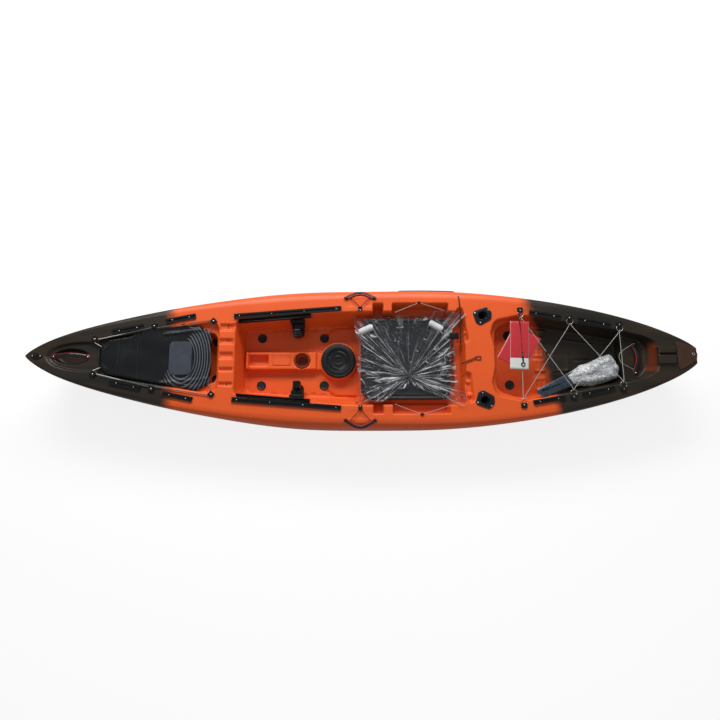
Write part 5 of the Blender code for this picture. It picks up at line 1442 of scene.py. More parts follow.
def densify(route: Array, step: float) -> Array:
    """The route with points no more than a step apart.

    Args:
        route: Points of the route.
        step: Largest gap between points.

    Returns:
        The denser route.
    """
    length = np.concatenate([[0.0], np.cumsum(np.linalg.norm(np.diff(route, axis=0), axis=1))])
    places = np.union1d(length, np.linspace(0.0, length[-1], int(length[-1] / step) + 2))
    return np.stack([np.interp(places, length, route[:, axis]) for axis in range(route.shape[1])], -1)


def screw(radius: float = 0.0040, rise: float = 0.0022) -> Shell:
    """Pan-head screw: a turned dome with a sunk drive recess.

    Args:
        radius: Radius of the head.
        rise: Height of the dome.

    Returns:
        The screw's shell.
    """
    share = np.linspace(0.0, 1.0, 6)
    dome = [(radius * math.cos(a * math.pi / 2.6), rise * math.sin(a * math.pi / 2.6) / math.sin(math.pi / 2.6))
            for a in share]
    return revolve([(0.0, -0.001), (radius, -0.001), *dome, (radius * 0.30, rise * 0.35), (0.0, rise * 0.30)], 16)


def ring(radius: float, wire: float, segments: int = 40) -> Shell:
    """Ring of round wire.

    Args:
        radius: Radius to the wire's middle.
        wire: Radius of the wire.
        segments: Faces round the ring.

    Returns:
        The ring's shell.
    """
    turn = np.linspace(0.0, 2.0 * np.pi, 15, endpoint=False)[::-1]
    points = np.stack([radius + wire * np.cos(turn), wire * np.sin(turn)], -1)
    return revolve(np.concatenate([points, points[:1]]), segments)


@dataclass
class FrontCover:
    """Flexible moulded cover of the front well, with a seamed nose, a ribbed field and a bare badge."""

    outline: tuple[Place, ...] = (
        (-1.556, 0.072), (-1.500, 0.112), (-1.200, 0.1655), (-0.985, 0.200), (-0.905, 0.156))
    corner: tuple[float, float] = (0.030, 0.026)
    crown: float = 0.026
    thick: float = 0.0022
    hem: float = 0.020
    flap: float = 0.024

    def starboard(self, x: Array) -> Array:
        """Extra width of the starboard flap, which rises and falls over its length."""
        return self.flap * ease((x + 1.40) / 0.10) * (1.0 - ease((x + 1.060) / 0.050))

    def half_width(self, x: Array) -> Array:
        """Half width: straight between the outline's corners, less an arc r - sqrt(r^2 - (r - d)^2) at each end.

        Args:
            x: Places along the boat.

        Returns:
            Half width at each place.
        """
        wide = np.interp(x, *zip(*self.outline))
        ends = ((self.outline[0][0], self.corner[0], 1.0), (self.outline[-1][0], self.corner[1], -1.0))
        for end, radius, sign in ends:
            gap = np.clip(sign * (x - end), 0.0, radius)
            wide = wide - (radius - np.sqrt(np.maximum(radius ** 2 - (radius - gap) ** 2, 0.0)))
        return wide

    def relief(self, x: Array, y: Array) -> Array:
        """Height of seams, folds and ribs over the crown.

        Args:
            x: Places along the boat.
            y: Places across the boat.

        Returns:
            Height added at each point.
        """
        height = -0.0026 * sum(np.exp(-((x - at) / 0.0035) ** 2) for at in (-1.438, -1.326))
        height += 0.0014 * np.exp(-((x + 1.426) / 0.012) ** 2)
        fold = ease((x + 1.20) / 0.05) * np.exp(-((y - 0.150 - 0.14 * (x + 1.1)) / 0.009) ** 2)
        height += 0.0075 * fold * (0.7 + 0.3 * np.sin(31.0 * x))
        low = ease((x + 1.22) / 0.04) * np.exp(-((y + 0.146 - 0.10 * (x + 1.1)) / 0.010) ** 2)
        height += 0.0060 * low * (0.7 + 0.3 * np.sin(47.0 * x))
        height += 0.0024 * ripple(x, y, ((21.0, 9.0, 0.3), (-14.0, 31.0, 1.4), (37.0, -22.0, 2.2), (8.0, 44.0, 0.7)))
        reach = np.hypot(x - BADGE[0], BADGE_SQUEEZE * (y - BADGE[1]))
        near = ease((reach - 0.068) / 0.012) * ease((x + 1.185 - 0.6 * np.maximum(y + 0.10, 0.0)) / 0.03)
        near = near * ease((0.168 - np.abs(y)) / 0.01)
        height += 0.0018 * near * np.sin(2.0 * np.pi * reach / RibbedCloth.spacing)
        return height

    def top(self, x: Array, y: Array, edge: Array) -> Array:
        """Height of the upper face; edge is the share of the hem's width that a point is in from the outline.

        Args:
            x: Places along the boat.
            y: Places across the boat.
            edge: Share of the hem's width that a point is in from the outline.

        Returns:
            Height of each point.
        """
        fall = np.sqrt(np.clip(1.0 - (1.0 - np.clip(edge, 0.0, 1.0)) ** 2, 0.0, 1.0))
        base = LINES.plane(x, 0.0297, FRONT_WELL)
        sag = -0.004 * np.cos(np.pi * y / 0.36) * ease((x + 1.5) / 0.2)
        return base + 0.0025 + (self.crown - 0.0035) * fall + (self.relief(x, y) + sag) * ease(edge * 1.2)

    def sheet(self) -> Shell:
        """Upper and lower face as one closed sheet: rows run aft, columns across the top and back below.

        Returns:
            The sheet's shell.
        """
        span = (self.outline[0][0], self.outline[-1][0])
        share = np.linspace(0.0, 1.0, 270)
        x = span[0] + (span[1] - span[0]) * share
        wide = self.half_width(x)
        even = np.linspace(-1.0, 1.0, 160)
        t = 0.35 * np.sin(even * np.pi / 2.0) + 0.65 * even
        reach = wide[:, None] + self.starboard(x)[:, None] * (t > 0.0)
        y = reach * t
        grid_x = np.broadcast_to(x[:, None], y.shape)
        gap = np.minimum(reach - np.abs(y), np.minimum(grid_x - span[0], span[1] - grid_x))
        z = self.top(grid_x, y, gap / self.hem)
        upper = np.stack([grid_x, y, z], -1)
        lower = upper[:, ::-1] - (0.0, 0.0, self.thick)
        both = np.concatenate([upper, lower], 1)
        return Shell.grid(capped(both), wrap_columns=True)

    def patch(self, outline: Array, thick: float, rings: int = 6) -> Shell:
        """Thin patch that follows the cover: rings shrink to its middle and lie on the cover's face.

        Args:
            outline: Corners of the patch.
            thick: Height above the cover.
            rings: Rings from its edge to its middle.

        Returns:
            The patch's shell.
        """
        centre = outline.mean(0)
        inner = np.concatenate([[1.0], np.linspace(0.965, 0.0, rings)])
        flat = centre + (outline - centre)[None] * inner[:, None, None]
        span = (self.outline[0][0], self.outline[-1][0])
        wide = self.half_width(flat[..., 0])
        gap = np.minimum(wide - np.abs(flat[..., 1]), np.minimum(flat[..., 0] - span[0], span[1] - flat[..., 0]))
        z = self.top(flat[..., 0], flat[..., 1], gap / self.hem)
        z[0] -= 0.001
        z[1:] += thick
        z[1:] = 0.35 * z[1:] + 0.65 * z[1:].max()
        low = np.concatenate([flat[:1], np.broadcast_to(centre, (1, *flat.shape[1:]))])
        low_z = np.stack([z[0] - 0.002, np.full(len(outline), z[0].min() - 0.002)])
        points = np.concatenate([
            np.concatenate([low, low_z[..., None]], -1)[::-1], np.concatenate([flat, z[..., None]], -1)])
        return Shell.grid(points, wrap_columns=True).flipped()

    def stitches(self) -> Shell:
        """Dashes of thread along both seams and round the hem, each a short low bar.

        Returns:
            All dashes as one shell.
        """
        bars = []
        for at in (-1.446, -1.430, -1.334, -1.318):
            wide = float(self.half_width(np.array(at))) - 0.016
            for start in np.arange(-wide, wide, 0.011):
                y = np.linspace(start, start + 0.007, 4)
                x = np.full(4, at)
                gap = self.half_width(x) - np.abs(y)
                z = self.top(x, y, gap / self.hem) + 0.0003
                bars.append(tube(np.stack([x, y, z], -1), 0.0007, 5))
        return Shell.union(bars)

    def build(self) -> None:
        """Make the cover, its badge, its nose tabs and its stitching."""
        cover = solid("front_cover_cloth", self.sheet(), Palette.COVER, "cover",
                      ("front_well_cover",), sharp=None)
        badge = rounded(rectangle((-1.149, -0.107), (-1.012, 0.098)), 0.030, 8)
        badge = densify(np.concatenate([badge, badge[:1]]), 0.006)[:-1]
        plaque = solid("front_cover_badge", self.patch(badge, 0.0016), Palette.BADGE, "cover")
        thread = solid("front_cover_stitches", self.stitches(), Palette.THREAD, "cover")
        tabs = []
        for sign in (1.0, -1.0):
            corners = np.array([(-1.538, 0.022), (-1.482, 0.088), (-1.528, 0.062)]) * (1.0, sign)
            tabs.append(self.patch(rounded(corners[::-1] if sign > 0.0 else corners, 0.004), 0.0022, 4))
        tab = solid("front_cover_tabs", Shell.union(tabs), Palette.RUBBER, "cover")
        self.area()

    def area(self) -> float:
        """Area of the upper face, which is the flat area of the cut.

        Returns:
            The area in square metres.
        """
        shell = self.sheet()
        corner = shell.points[shell.quads]
        cross = np.cross(corner[:, 2] - corner[:, 0], corner[:, 3] - corner[:, 1])
        return float(np.linalg.norm(cross, axis=1).sum() / 4.0)


@dataclass
class Cords:
    """Shock cord round the front well and across the tank well, and the thin lines of the deck."""

    radius: float = 0.0026
    hooks: tuple[tuple[float, float, float], ...] = (
        (-1.579, 0.1045, 36.0), (-1.239, 0.1895, 0.0), (-0.890, 0.2215, -50.0))
    eyes: tuple[Place, ...] = ((0.969, 0.287), (1.263, 0.238), (1.556, 0.193))

    def cover_route(self) -> Array:
        """The front cord's closed route through the six hooks and across both ends of the cover.

        Returns:
            Points of the route.
        """
        reach = 0.016 / 2.0 + self.radius + 0.005
        seat_y = 0.0155 - self.radius - CLEARANCE
        seat_z = 0.0045 + self.radius + 0.0006
        route = []
        for side in Side:
            sign = side.value
            for x, y, turn in self.hooks if sign > 0.0 else self.hooks[::-1]:
                place = LINES.stand(x, y * sign, math.radians(turn) * sign)
                for end in (-reach * sign, reach * sign):
                    route.append(place @ Vector((end, -seat_y * sign, seat_z)))
            x, y = (-0.917, 0.150) if sign > 0.0 else (-1.528, 0.052)
            z = float(LINES.plane(x, 0.030, FRONT_WELL)) + 0.008
            route += [Vector((x, y * sign, z)), Vector((x, -y * sign, z))]
        return fillet_route(np.array(route), 0.006, 4)

    def tank_route(self) -> Array:
        """The tank cord's closed route through the six rings, crossing the well in two places.

        Returns:
            Points of the route.
        """
        fore, mid, aft = self.eyes
        passes = ((fore, 1.0, -1.0), (mid, -1.0, 1.0), (aft, 1.0, -1.0),
                  (aft, -1.0, -1.0), (mid, 1.0, 1.0), (fore, -1.0, -1.0))
        step, inner, high = 0.0016 + self.radius + 0.0007, 0.0255 + 0.0155, 0.0068
        route = []
        for index, (eye, side, first) in enumerate(passes):
            place = LINES.stand(eye[0], eye[1] * side)
            here = place @ Vector((0.0, -(inner + 0.02) * side, high))
            for level, other in ((first, passes[index - 1]), (-first, passes[(index + 1) % 6])):
                across = LINES.stand(other[0][0], other[0][1] * other[1])
                away = across @ Vector((0.0, -(inner + 0.02) * other[1], high)) - here
                skew = math.copysign(min(abs(away.x) / max(abs(away.y), 0.01), 1.2), away.x)
                if abs(away.x) < 0.05:
                    skew = 0.5 * (1.0 if level == first else -1.0)
                pair = [place @ Vector((skew * 0.012, -(inner + 0.014) * side, high + level * step)),
                        place @ Vector((skew * 0.003, -(inner - 0.002) * side, high + level * step))]
                if level != first:
                    pair.reverse()
                route += pair
                if level == first:
                    route.append(place @ Vector((0.0, -(inner - 0.008) * side, high)))
        return fillet_route(np.array(route), 0.004, 4)

    def loop(self, name: str, route: Array, seam: int, node: str, finish: Finish) -> None:
        """Lay a closed cord as one open run whose ends meet in a crimped sleeve.

        Args:
            name: Name of the cord's piece.
            route: Closed route.
            seam: The route's point after which the sleeve sits.
            node: The frame's node that the cord replaces.
            finish: Finish of its sleeve.
        """
        run = np.concatenate([route[seam + 1:], route[:seam + 1]])
        ahead = unit(run[0] - run[-1])
        middle = (run[0] + run[-1]) / 2.0
        run = densify(np.concatenate([[middle + ahead * 0.0002], run, [middle - ahead * 0.0002]]), 0.010)
        cord = solid(name, tube(run, self.radius, 10), finish,
                     stands_for=(node,), sharp=None)
        sleeve = middle + ahead * np.linspace(-0.009, 0.009, 14)[:, None]
        swell = 0.0034 + 0.0003 * np.cos(np.linspace(0.0, 6.0 * np.pi, 14))
        crimp = solid(name + "_crimp", tube(sleeve, swell, 12), Palette.NYLON, sharp=None)

    def line(self, name: str, corners: list[tuple[float, float, float]], radius: float, finish: Finish,
             bend: float = 0.01, body: str = "kayak", far_end: str = "object", lay: str = "taut") -> None:
        """Args:
            name: Name of the piece.
            corners: Corners in order.
            radius: Radius of the cord.
            finish: Its finish.
            bend: Radius of its bends.
            body: The body that carries it.
            far_end: Not used.
            lay: Not used.
        """
        run = densify(fillet_route(np.array(corners), bend, closed=False), 0.012)
        cord = solid(name, tube(run, radius, 8), finish, body, sharp=None)

    def build(self) -> None:
        """Lay every cord."""
        route = self.cover_route()
        self.loop("front_shock_cord", route, int(np.argmax(np.linalg.norm(np.diff(route, axis=0), axis=1))),
                  "cover_bungee", Palette.COVER_CORD)
        route = self.tank_route()
        gaps = np.linalg.norm(np.diff(route, axis=0), axis=1) * (np.abs(route[:-1, 0] - 1.0) < 0.12)
        self.radius = 0.0019
        self.loop("tank_shock_cord", route, int(np.argmax(gaps)), "tank_bungee", Palette.PALE_CORD)
        self.pockets()
        self.deck_lines()

    def pockets(self) -> None:
        """Thin cords of the side pockets: each runs from a small pad at the gunwale to both ends of its pocket."""
        pads = []
        for side, pad, ends in ((Side.STARBOARD, (0.356, 0.339), ((0.207, 0.278), (0.512, 0.288))),
                                (Side.PORT, (0.363, 0.341), ((0.201, 0.280), (0.535, 0.288)))):
            x, y = pad
            top = float(LINES.gunwale(x))
            block = slab(tablet(0.009, 0.007, 0.003),
                         [(0.0, CLEARANCE), (0.0, 0.006), (0.001, 0.008), (0.003, 0.0085)])
            pads.append(block.moved(offset(x, y * side.value, top)))
            for number, (end_x, end_y) in enumerate(ends):
                corners = [(x + math.copysign(0.009, end_x - x), (y - 0.004) * side.value, top + 0.0035),
                           ((x + end_x) / 2.0, (y + end_y) / 2.0 * side.value, top + 0.0030),
                           (end_x, end_y * side.value, top + 0.0025)]
                self.line(f"pocket_cord_{side.label}_{number}", corners, 0.0013, Palette.PALE_CORD)
        solid("pocket_pads", Shell.union(pads), Palette.NYLON)

    def deck_lines(self) -> None:
        """Paddle keeper aft of the seat, its clip, and the thin lines beside the stern handle."""
        along = np.linspace(0.235, 0.575, 9)
        out, up = LINES.topside(along, np.full_like(along, 0.50))
        rail = [(float(a), float(b) + 0.003, float(c)) for a, b, c in zip(along, out, up)]
        keeper = [*rail, (0.593, 0.405, 0.255), (0.598, 0.374, 0.299), (0.604, 0.300, 0.3025), (0.604, 0.225, 0.300),
                  (0.603, 0.150, 0.299), (0.602, 0.085, 0.299)]
        self.line("paddle_keeper", keeper, 0.0030, Palette.BLACK_CORD)
        self.line("stern_line", [
            (1.661, 0.088, 0.262), (1.598, 0.050, 0.276), (1.563, 0.024, 0.286), (1.557, -0.004, 0.288),
            (1.575, -0.036, 0.282), (1.656, -0.072, 0.262)], 0.0014, Palette.PALE_CORD, bend=0.02)
        self.line("stern_tether", [(1.632, -0.118, 0.322), (1.662, -0.146, 0.326), (1.694, -0.166, 0.318)],
                  0.0015, Palette.BLACK_CORD)
        clip = fillet_route(np.array([
            (0.692, -0.014, 0.2995), (0.722, -0.014, 0.2995), (0.722, 0.006, 0.2995), (0.692, 0.006, 0.2995)]),
            0.006, 4)
        oval = solid("keeper_clip", tube(clip, 0.0022, 8, closed=True), Palette.GLOSS_NYLON, sharp=None)
        run = densify(fillet_route(np.array([
            (0.604, -0.036, 0.2995), (0.650, -0.017, 0.3005), (0.6915, -0.001, 0.3000)]), 0.01, closed=False), 0.012)
        cord = solid("keeper_tail", tube(run, 0.0020, 8), Palette.BLACK_CORD, sharp=None)
        self.line("keeper_return", [(0.606, -0.042, 0.2995), (0.650, -0.025, 0.3005), (0.6905, -0.009, 0.3000)],
                  0.0018, Palette.BLACK_CORD)


@dataclass
class CoverHooks:
    """Square black hooks that hold the front cord, each with one screw."""

    half: float = 0.0160
    height: float = 0.0115

    def build(self) -> None:
        """Make the six hooks and their screws."""
        levels = [(0.0, 0.0), (0.0, 0.0035), (0.0030, 0.0042), (0.0030, 0.0068), (0.0, 0.0075),
                  (0.0, self.height - 0.002), (0.0012, self.height - 0.0004), (0.004, self.height)]
        block = slab(tablet(self.half, self.half, 0.0022), levels)
        top = offset(0.0, 0.0, self.height - 0.0004)
        hooks, screws = [], []
        for x, y, turn in Cords.hooks:
            for side in Side:
                place = LINES.stand(x, y * side.value, math.radians(turn) * side.value)
                hooks.append(block.moved(place))
                screws.append(screw(0.0048, 0.0026).moved(place @ top))
        nodes = tuple(f"cover_hook_{name}_{side.label}" for name in ("fore", "mid", "aft") for side in Side)
        solid("cover_hooks", Shell.union(hooks), Palette.GLOSS_NYLON, stands_for=nodes)
        steel("cover_hook_screws", screws)


@dataclass
class Seat:
    """Folded seat in its shipping bag: two tube frames with mesh slings, foam sleeves and clear film."""

    base_span: Place = (0.020, 0.526)
    back_span: Place = (-0.002, 0.546)
    base_half: float = 0.236
    back_half: float = 0.250
    base_level: float = 0.1963
    back_level: float = 0.2363
    tube_radius: float = 0.011
    corner: float = 0.070
    gather: Place = KNOT
    film: float = 0.0006
    drawn_in: float = 0.62
    square: float = 0.70
    edge: tuple[Place, ...] = (
        (-0.050, 0.278), (-0.019, 0.250), (0.100, 0.262), (0.207, 0.266), (0.350, 0.262), (0.500, 0.290),
        (0.640, 0.266), (0.585, 0.232), (0.562, 0.218), (0.560, 0.170), (0.572, 0.060), (0.578, -0.057),
        (0.592, -0.185), (0.629, -0.222), (0.613, -0.294), (0.483, -0.234), (0.365, -0.190), (0.300, -0.178),
        (0.236, -0.186), (0.190, -0.225), (0.142, -0.261), (0.060, -0.266), (-0.021, -0.261), (-0.018, -0.200),
        (-0.012, -0.136), (-0.026, -0.030), (-0.021, 0.080), (-0.031, 0.143))

    def loop(self, span: Place, half: float, level: float, inset: float = 0.0) -> Array:
        """Rounded rectangle through the middle of a frame's tube.

        Args:
            span: Fore and aft edges of the frame.
            half: Half width.
            level: Height of the tube's middle.
            inset: Distance inside the middle of the tube.

        Returns:
            Points of the loop.
        """
        drawn = self.tube_radius + inset
        (low, high), wide = span, half - drawn
        corners = np.array([(low + drawn, -wide), (high - drawn, -wide), (high - drawn, wide), (low + drawn, wide)])
        flat = rounded(corners, self.corner - drawn, 10)
        return np.column_stack([flat, np.full(len(flat), level)])

    def sling(self, span: Place, half: float, level: float) -> Shell:
        """Taut mesh between the tubes: a plate 5 mm thick that dips towards its middle, with a raised hem.

        Args:
            span: Fore and aft edges of the frame.
            half: Half width.
            level: Height.

        Returns:
            The mesh's shell.
        """
        outline = self.loop(span, half, level, self.tube_radius + 0.001)[:, :2]
        return slab(outline, [
            (0.0, level - 0.003), (0.0, level + 0.0035), (0.004, level + 0.0050), (0.014, level + 0.0050),
            (0.018, level + 0.0020), (0.06, level - 0.002), (0.12, level - 0.004)])

    def build(self) -> None:
        """Make both frames, both slings, the hinge ears, the foam sleeves, the buckle and the bag."""
        parts = (("seat_base", "seat", self.base_span, self.base_half, self.base_level),
                 ("seat_back", "seat_back", self.back_span, self.back_half, self.back_level))
        for name, body, span, half, level in parts:
            path = densify(np.concatenate([self.loop(span, half, level), self.loop(span, half, level)[:1]]), 0.03)
            shells = [tube(path[:-1], self.tube_radius, 16, closed=True)]
            if body == "seat":
                shells += [self.foot(x, side) for x in (0.130, 0.420) for side in Side]
            shells += [self.ear(side, body) for side in Side]
            solid(name + "_tube", Shell.union(shells), Palette.ALUMINIUM, body,
                  (name + "_frame",), sharp=40.0)
            mesh = self.sling(span, half, level)
            cloth = solid(name + "_mesh", mesh, Palette.MESH, body, (name + "_sling",))
        self.sleeves()
        self.bag()

    def foot(self, x: float, side: Side) -> Shell:
        """Block under the base frame."""
        block = slab(tablet(0.016, 0.012, 0.004), [(0.0, 0.1753), (0.0, 0.190), (0.002, 0.1935)])
        return block.moved(offset(x, 0.225 * side.value, 0.0))

    def ear(self, side: Side, body: str) -> Shell:
        """Flat lug from a frame's tube to the hinge bolt.

        Args:
            side: Side of the boat.
            body: The frame's body that carries it.

        Returns:
            The lug's shell.
        """
        level = self.base_level if body == "seat" else self.back_level
        outline = rounded([(0.505, level - 0.2163 - 0.010), (0.552, -0.010), (0.552, 0.010),
                           (0.505, level - 0.2163 + 0.010)], 0.006)
        plate = slab(outline, [(0.0, -0.0018), (0.0, 0.0018)])
        out = 0.2385 if body == "seat" else 0.2440
        turn = rotation(math.pi / 2.0, "X")
        return plate.moved(offset(0.0, out * side.value, 0.2163) @ turn)

    def sleeves(self) -> None:
        """White foam sleeves round two corners of the folded back."""
        shells = []
        for x, y, turn in ((0.0315, 0.1815, 24.0), (0.462, 0.2035, -30.0)):
            share = np.linspace(-1.0, 1.0, 9)
            path = np.outer(share, (0.046, 0.0, 0.0))
            size = 0.021 * np.sqrt(np.clip(1.0 - np.clip((np.abs(share) - 0.8) / 0.3, 0.0, 1.0) ** 2, 0.3, 1.0))
            place = offset(x, y, self.back_level + 0.010) @ rotation(math.radians(turn))
            shells.append(tube(path, size, 20).moved(place))
        foam = solid("seat_foam_sleeves", Shell.union(shells), Palette.FOAM, "seat_back")
        block = slab(tablet(0.028, 0.020, 0.007), [(0.0, 0.0), (0.0, 0.010), (0.002, 0.013), (0.007, 0.014)])
        solid("seat_buckle", block.moved(offset(0.572, 0.140, 0.249)), Palette.GLOSS_NYLON,
              "seat_back")
        tag = slab(tablet(0.009, 0.006, 0.003), [(0.0, 0.0), (0.0, 0.005), (0.001, 0.006)])
        solid("seat_buckle_release", tag.moved(offset(0.590, 0.106, 0.251)), Palette.TRIM,
              "seat_back")

    def bag(self) -> None:
        """Clear bag over the folded seat.

        Rings shrink from the edge to the gathered knot. The height is flat over the frame, plus pleats
        sin(23 a + bend) sin(9 a - 6.4 s) that run to the knot, plus small creases and a bump at the knot; a is the
        turn about the knot and s the ring's share. Outside the bay the edge climbs on the deck.
        """
        closed = np.array([*self.edge, self.edge[0]])
        edge = densify(closed, 0.005)[:-1][::-1]
        gather = np.array(self.gather)
        share = np.linspace(1.0, 0.02, 90)[:, None]
        flat = gather + (edge - gather)[None] * share[..., None]
        turn = np.arctan2(edge[:, 1] - gather[1], edge[:, 0] - gather[0])[None]
        x, y = flat[..., 0], flat[..., 1]
        climb = np.maximum(ease((x - 0.575) / 0.045), ease((np.abs(y) - 0.255) / 0.025))
        base = self.back_level + self.tube_radius + 0.0020
        lifted = base + (0.3040 - base) * climb - 0.010 * ease((-x - 0.005) / 0.03)
        bend = 2.2 * share + 0.8 * np.sin(3.0 * turn)
        pleat = 0.5 + 0.5 * np.sin(23.0 * turn + bend) * np.sin(9.0 * turn - 1.6 * share * 4.0)
        depth = 0.0090 * ease(share / 0.15) * (1.0 - 0.55 * share)
        crease = ripple(x, y, ((61.0, 33.0, 0.4), (-47.0, 70.0, 1.9), (90.0, -28.0, 2.7), (24.0, 105.0, 0.2)))
        knot = 0.016 * np.exp(-(share / 0.09) ** 2)
        z = lifted + depth * pleat + 0.0024 * (1.0 + crease) + knot
        upper = np.stack([x, y, z], -1)
        lower = upper[::-1] - (0.0, 0.0, self.film)
        shell = Shell.grid(capped(np.concatenate([lower, upper])), wrap_columns=True)
        film = solid("seat_bag_film", shell, Palette.FILM, "seat_back", sharp=None)


@dataclass
class StowedRudder:
    """Rudder in the tank well: its blade shows, and its head is wrapped."""

    pivot: tuple[float, float, float] = (1.460, -0.048, 0.2122)
    yaw: float = 204.0
    pitch: float = 11.5
    length: float = 0.455
    half: float = 0.041
    wrap: tuple[Place, ...] = (
        (1.203, -0.125), (1.241, -0.104), (1.317, -0.058), (1.336, -0.040), (1.392, -0.027), (1.449, 0.004),
        (1.530, 0.030), (1.556, -0.008), (1.582, -0.058), (1.566, -0.119), (1.498, -0.144), (1.411, -0.172),
        (1.340, -0.168), (1.260, -0.172))

    def build(self) -> None:
        """Make the blade, with a swept tip and a rolled edge, and the bubble wrap round the head."""
        place = Matrix.Translation(self.pivot) @ rotation(math.radians(self.yaw))
        place = place @ rotation(-math.radians(self.pitch), "Y")
        half = self.half
        outline = rounded([(-0.020, -half * 0.8), (0.20, -half), (self.length - 0.012, -half * 0.80),
                           (self.length, -half * 0.30), (self.length - 0.034, half * 0.80), (0.20, half),
                           (-0.020, half * 0.8)], (0.02, 0.2, 0.012, 0.012, 0.03, 0.2, 0.02), 6)
        blade = slab(outline, [(0.003, -0.0040), (0.0, -0.0020), (0.0, 0.0012), (0.003, 0.0030), (0.010, 0.0058),
                               (0.020, 0.0082), (0.029, 0.0090)])
        solid("rudder_blade_sheet", blade.moved(place), Palette.BLADE, "blade",
              ("rudder_blade",), sharp=35.0)
        edge = densify(fillet_route(np.array(self.wrap), 0.02, 4), 0.006)[::-1]
        centre = np.array([1.420, -0.080])
        share = np.linspace(1.0, 0.02, 56)[:, None]
        flat = centre + (edge - centre)[None] * share[..., None]
        x, y = flat[..., 0], flat[..., 1]
        dome = np.sqrt(np.clip(1.0 - share ** 2.6, 0.0, 1.0))
        folds = ripple(x, y, ((52.0, 21.0, 0.3), (-33.0, 64.0, 1.2), (88.0, 40.0, 2.0), (-15.0, 120.0, 0.9)))
        up = 0.226 + 0.052 * dome + 0.012 * folds * dome
        down = np.broadcast_to(0.226 - 0.030 * dome, x.shape)
        upper, lower = np.stack([x, y, up], -1), np.stack([x, y, down], -1)[::-1]
        shell = Shell.grid(capped(np.concatenate([lower, upper])), wrap_columns=True)
        wrap = solid("rudder_wrap", shell, Palette.WRAP, "rudder", sharp=None)


@dataclass
class FootBrace:
    """Foot brace: a channel rail on the wall, a broad runner on it and a ribbed rest that tilts on its pin."""

    rail: tuple[tuple[float, float, float], ...] = ((-0.7470, 0.2270, 0.2900), (-0.3050, 0.2617, 0.2900))
    x: float = -0.389

    def block(self, outline: list[Place], low: float, high: float, corner: float) -> Shell:
        """Rounded block over an outline between two heights."""
        return slab(rounded(outline, corner), [
            (0.002, low), (0.0, low + 0.002), (0.0, high - 0.003), (0.0012, high - 0.0008), (0.004, high)])

    def build(self) -> None:
        """Make the rail, the runner and the rest of both sides."""
        x = self.x
        for side in Side:
            (x0, y0, z0), (x1, y1, _) = self.rail
            span = math.hypot(x1 - x0, y1 - y0) / 2.0
            yaw = math.atan2(y1 - y0, x1 - x0)
            place = offset((x0 + x1) / 2.0, (y0 + y1) / 2.0, z0) @ rotation(yaw)
            strips = ((-0.0125, -0.0065, 0.013), (-0.0075, 0.0050, 0.007), (0.0040, 0.0100, 0.013))
            bars = [self.block(rectangle((-span, low), (span, high)), -0.013, top, 0.0015)
                    for low, high, top in strips]
            solid(f"brace_rail_{side.label}", Shell.union(bars).moved(place).on(side), Palette.NYLON,
                  stands_for=(f"foot_rail_{side.label}",))
            foot = self.block([(x - 0.036, 0.168), (x - 0.024, 0.1475), (x + 0.018, 0.1475), (x + 0.032, 0.165),
                               (x + 0.036, 0.200), (x - 0.036, 0.200)], 0.150, 0.186, 0.010)
            body = self.block([(x - 0.036, 0.1885), (x + 0.034, 0.1885), (x + 0.0375, 0.2460), (x - 0.040, 0.2400)],
                              0.150, 0.238, 0.006)
            cap = self.block([(x - 0.044, 0.2180), (x + 0.044, 0.2220), (x + 0.044, 0.2470), (x - 0.044, 0.2400)],
                             0.226, 0.2735, 0.006)
            ribs = [self.block(rectangle((x + at, 0.1900), (x + at + 0.005, 0.226)), 0.230, 0.2445, 0.0022)
                    for at in (-0.033, 0.027)]
            solid(f"brace_runner_{side.label}", Shell.union([foot, body, cap, *ribs]).on(side), Palette.NYLON,
                  f"carriage_{side.label}", stands_for=(f"foot_carriage_{side.label}",))
            rest = [self.block(rectangle((x - 0.024, 0.134), (x + 0.021, 0.1830)), 0.2030, 0.262, 0.010)]
            for number in range(4):
                y = 0.1385 + 0.0112 * number
                rest.append(self.block(rectangle((x - 0.020, y), (x + 0.017, y + 0.0055)), 0.255, 0.2680, 0.0022))
            solid(f"brace_rest_{side.label}", Shell.union(rest).on(side), Palette.GLOSS_NYLON,
                  f"pedal_{side.label}", stands_for=(f"toe_pedal_{side.label}",))


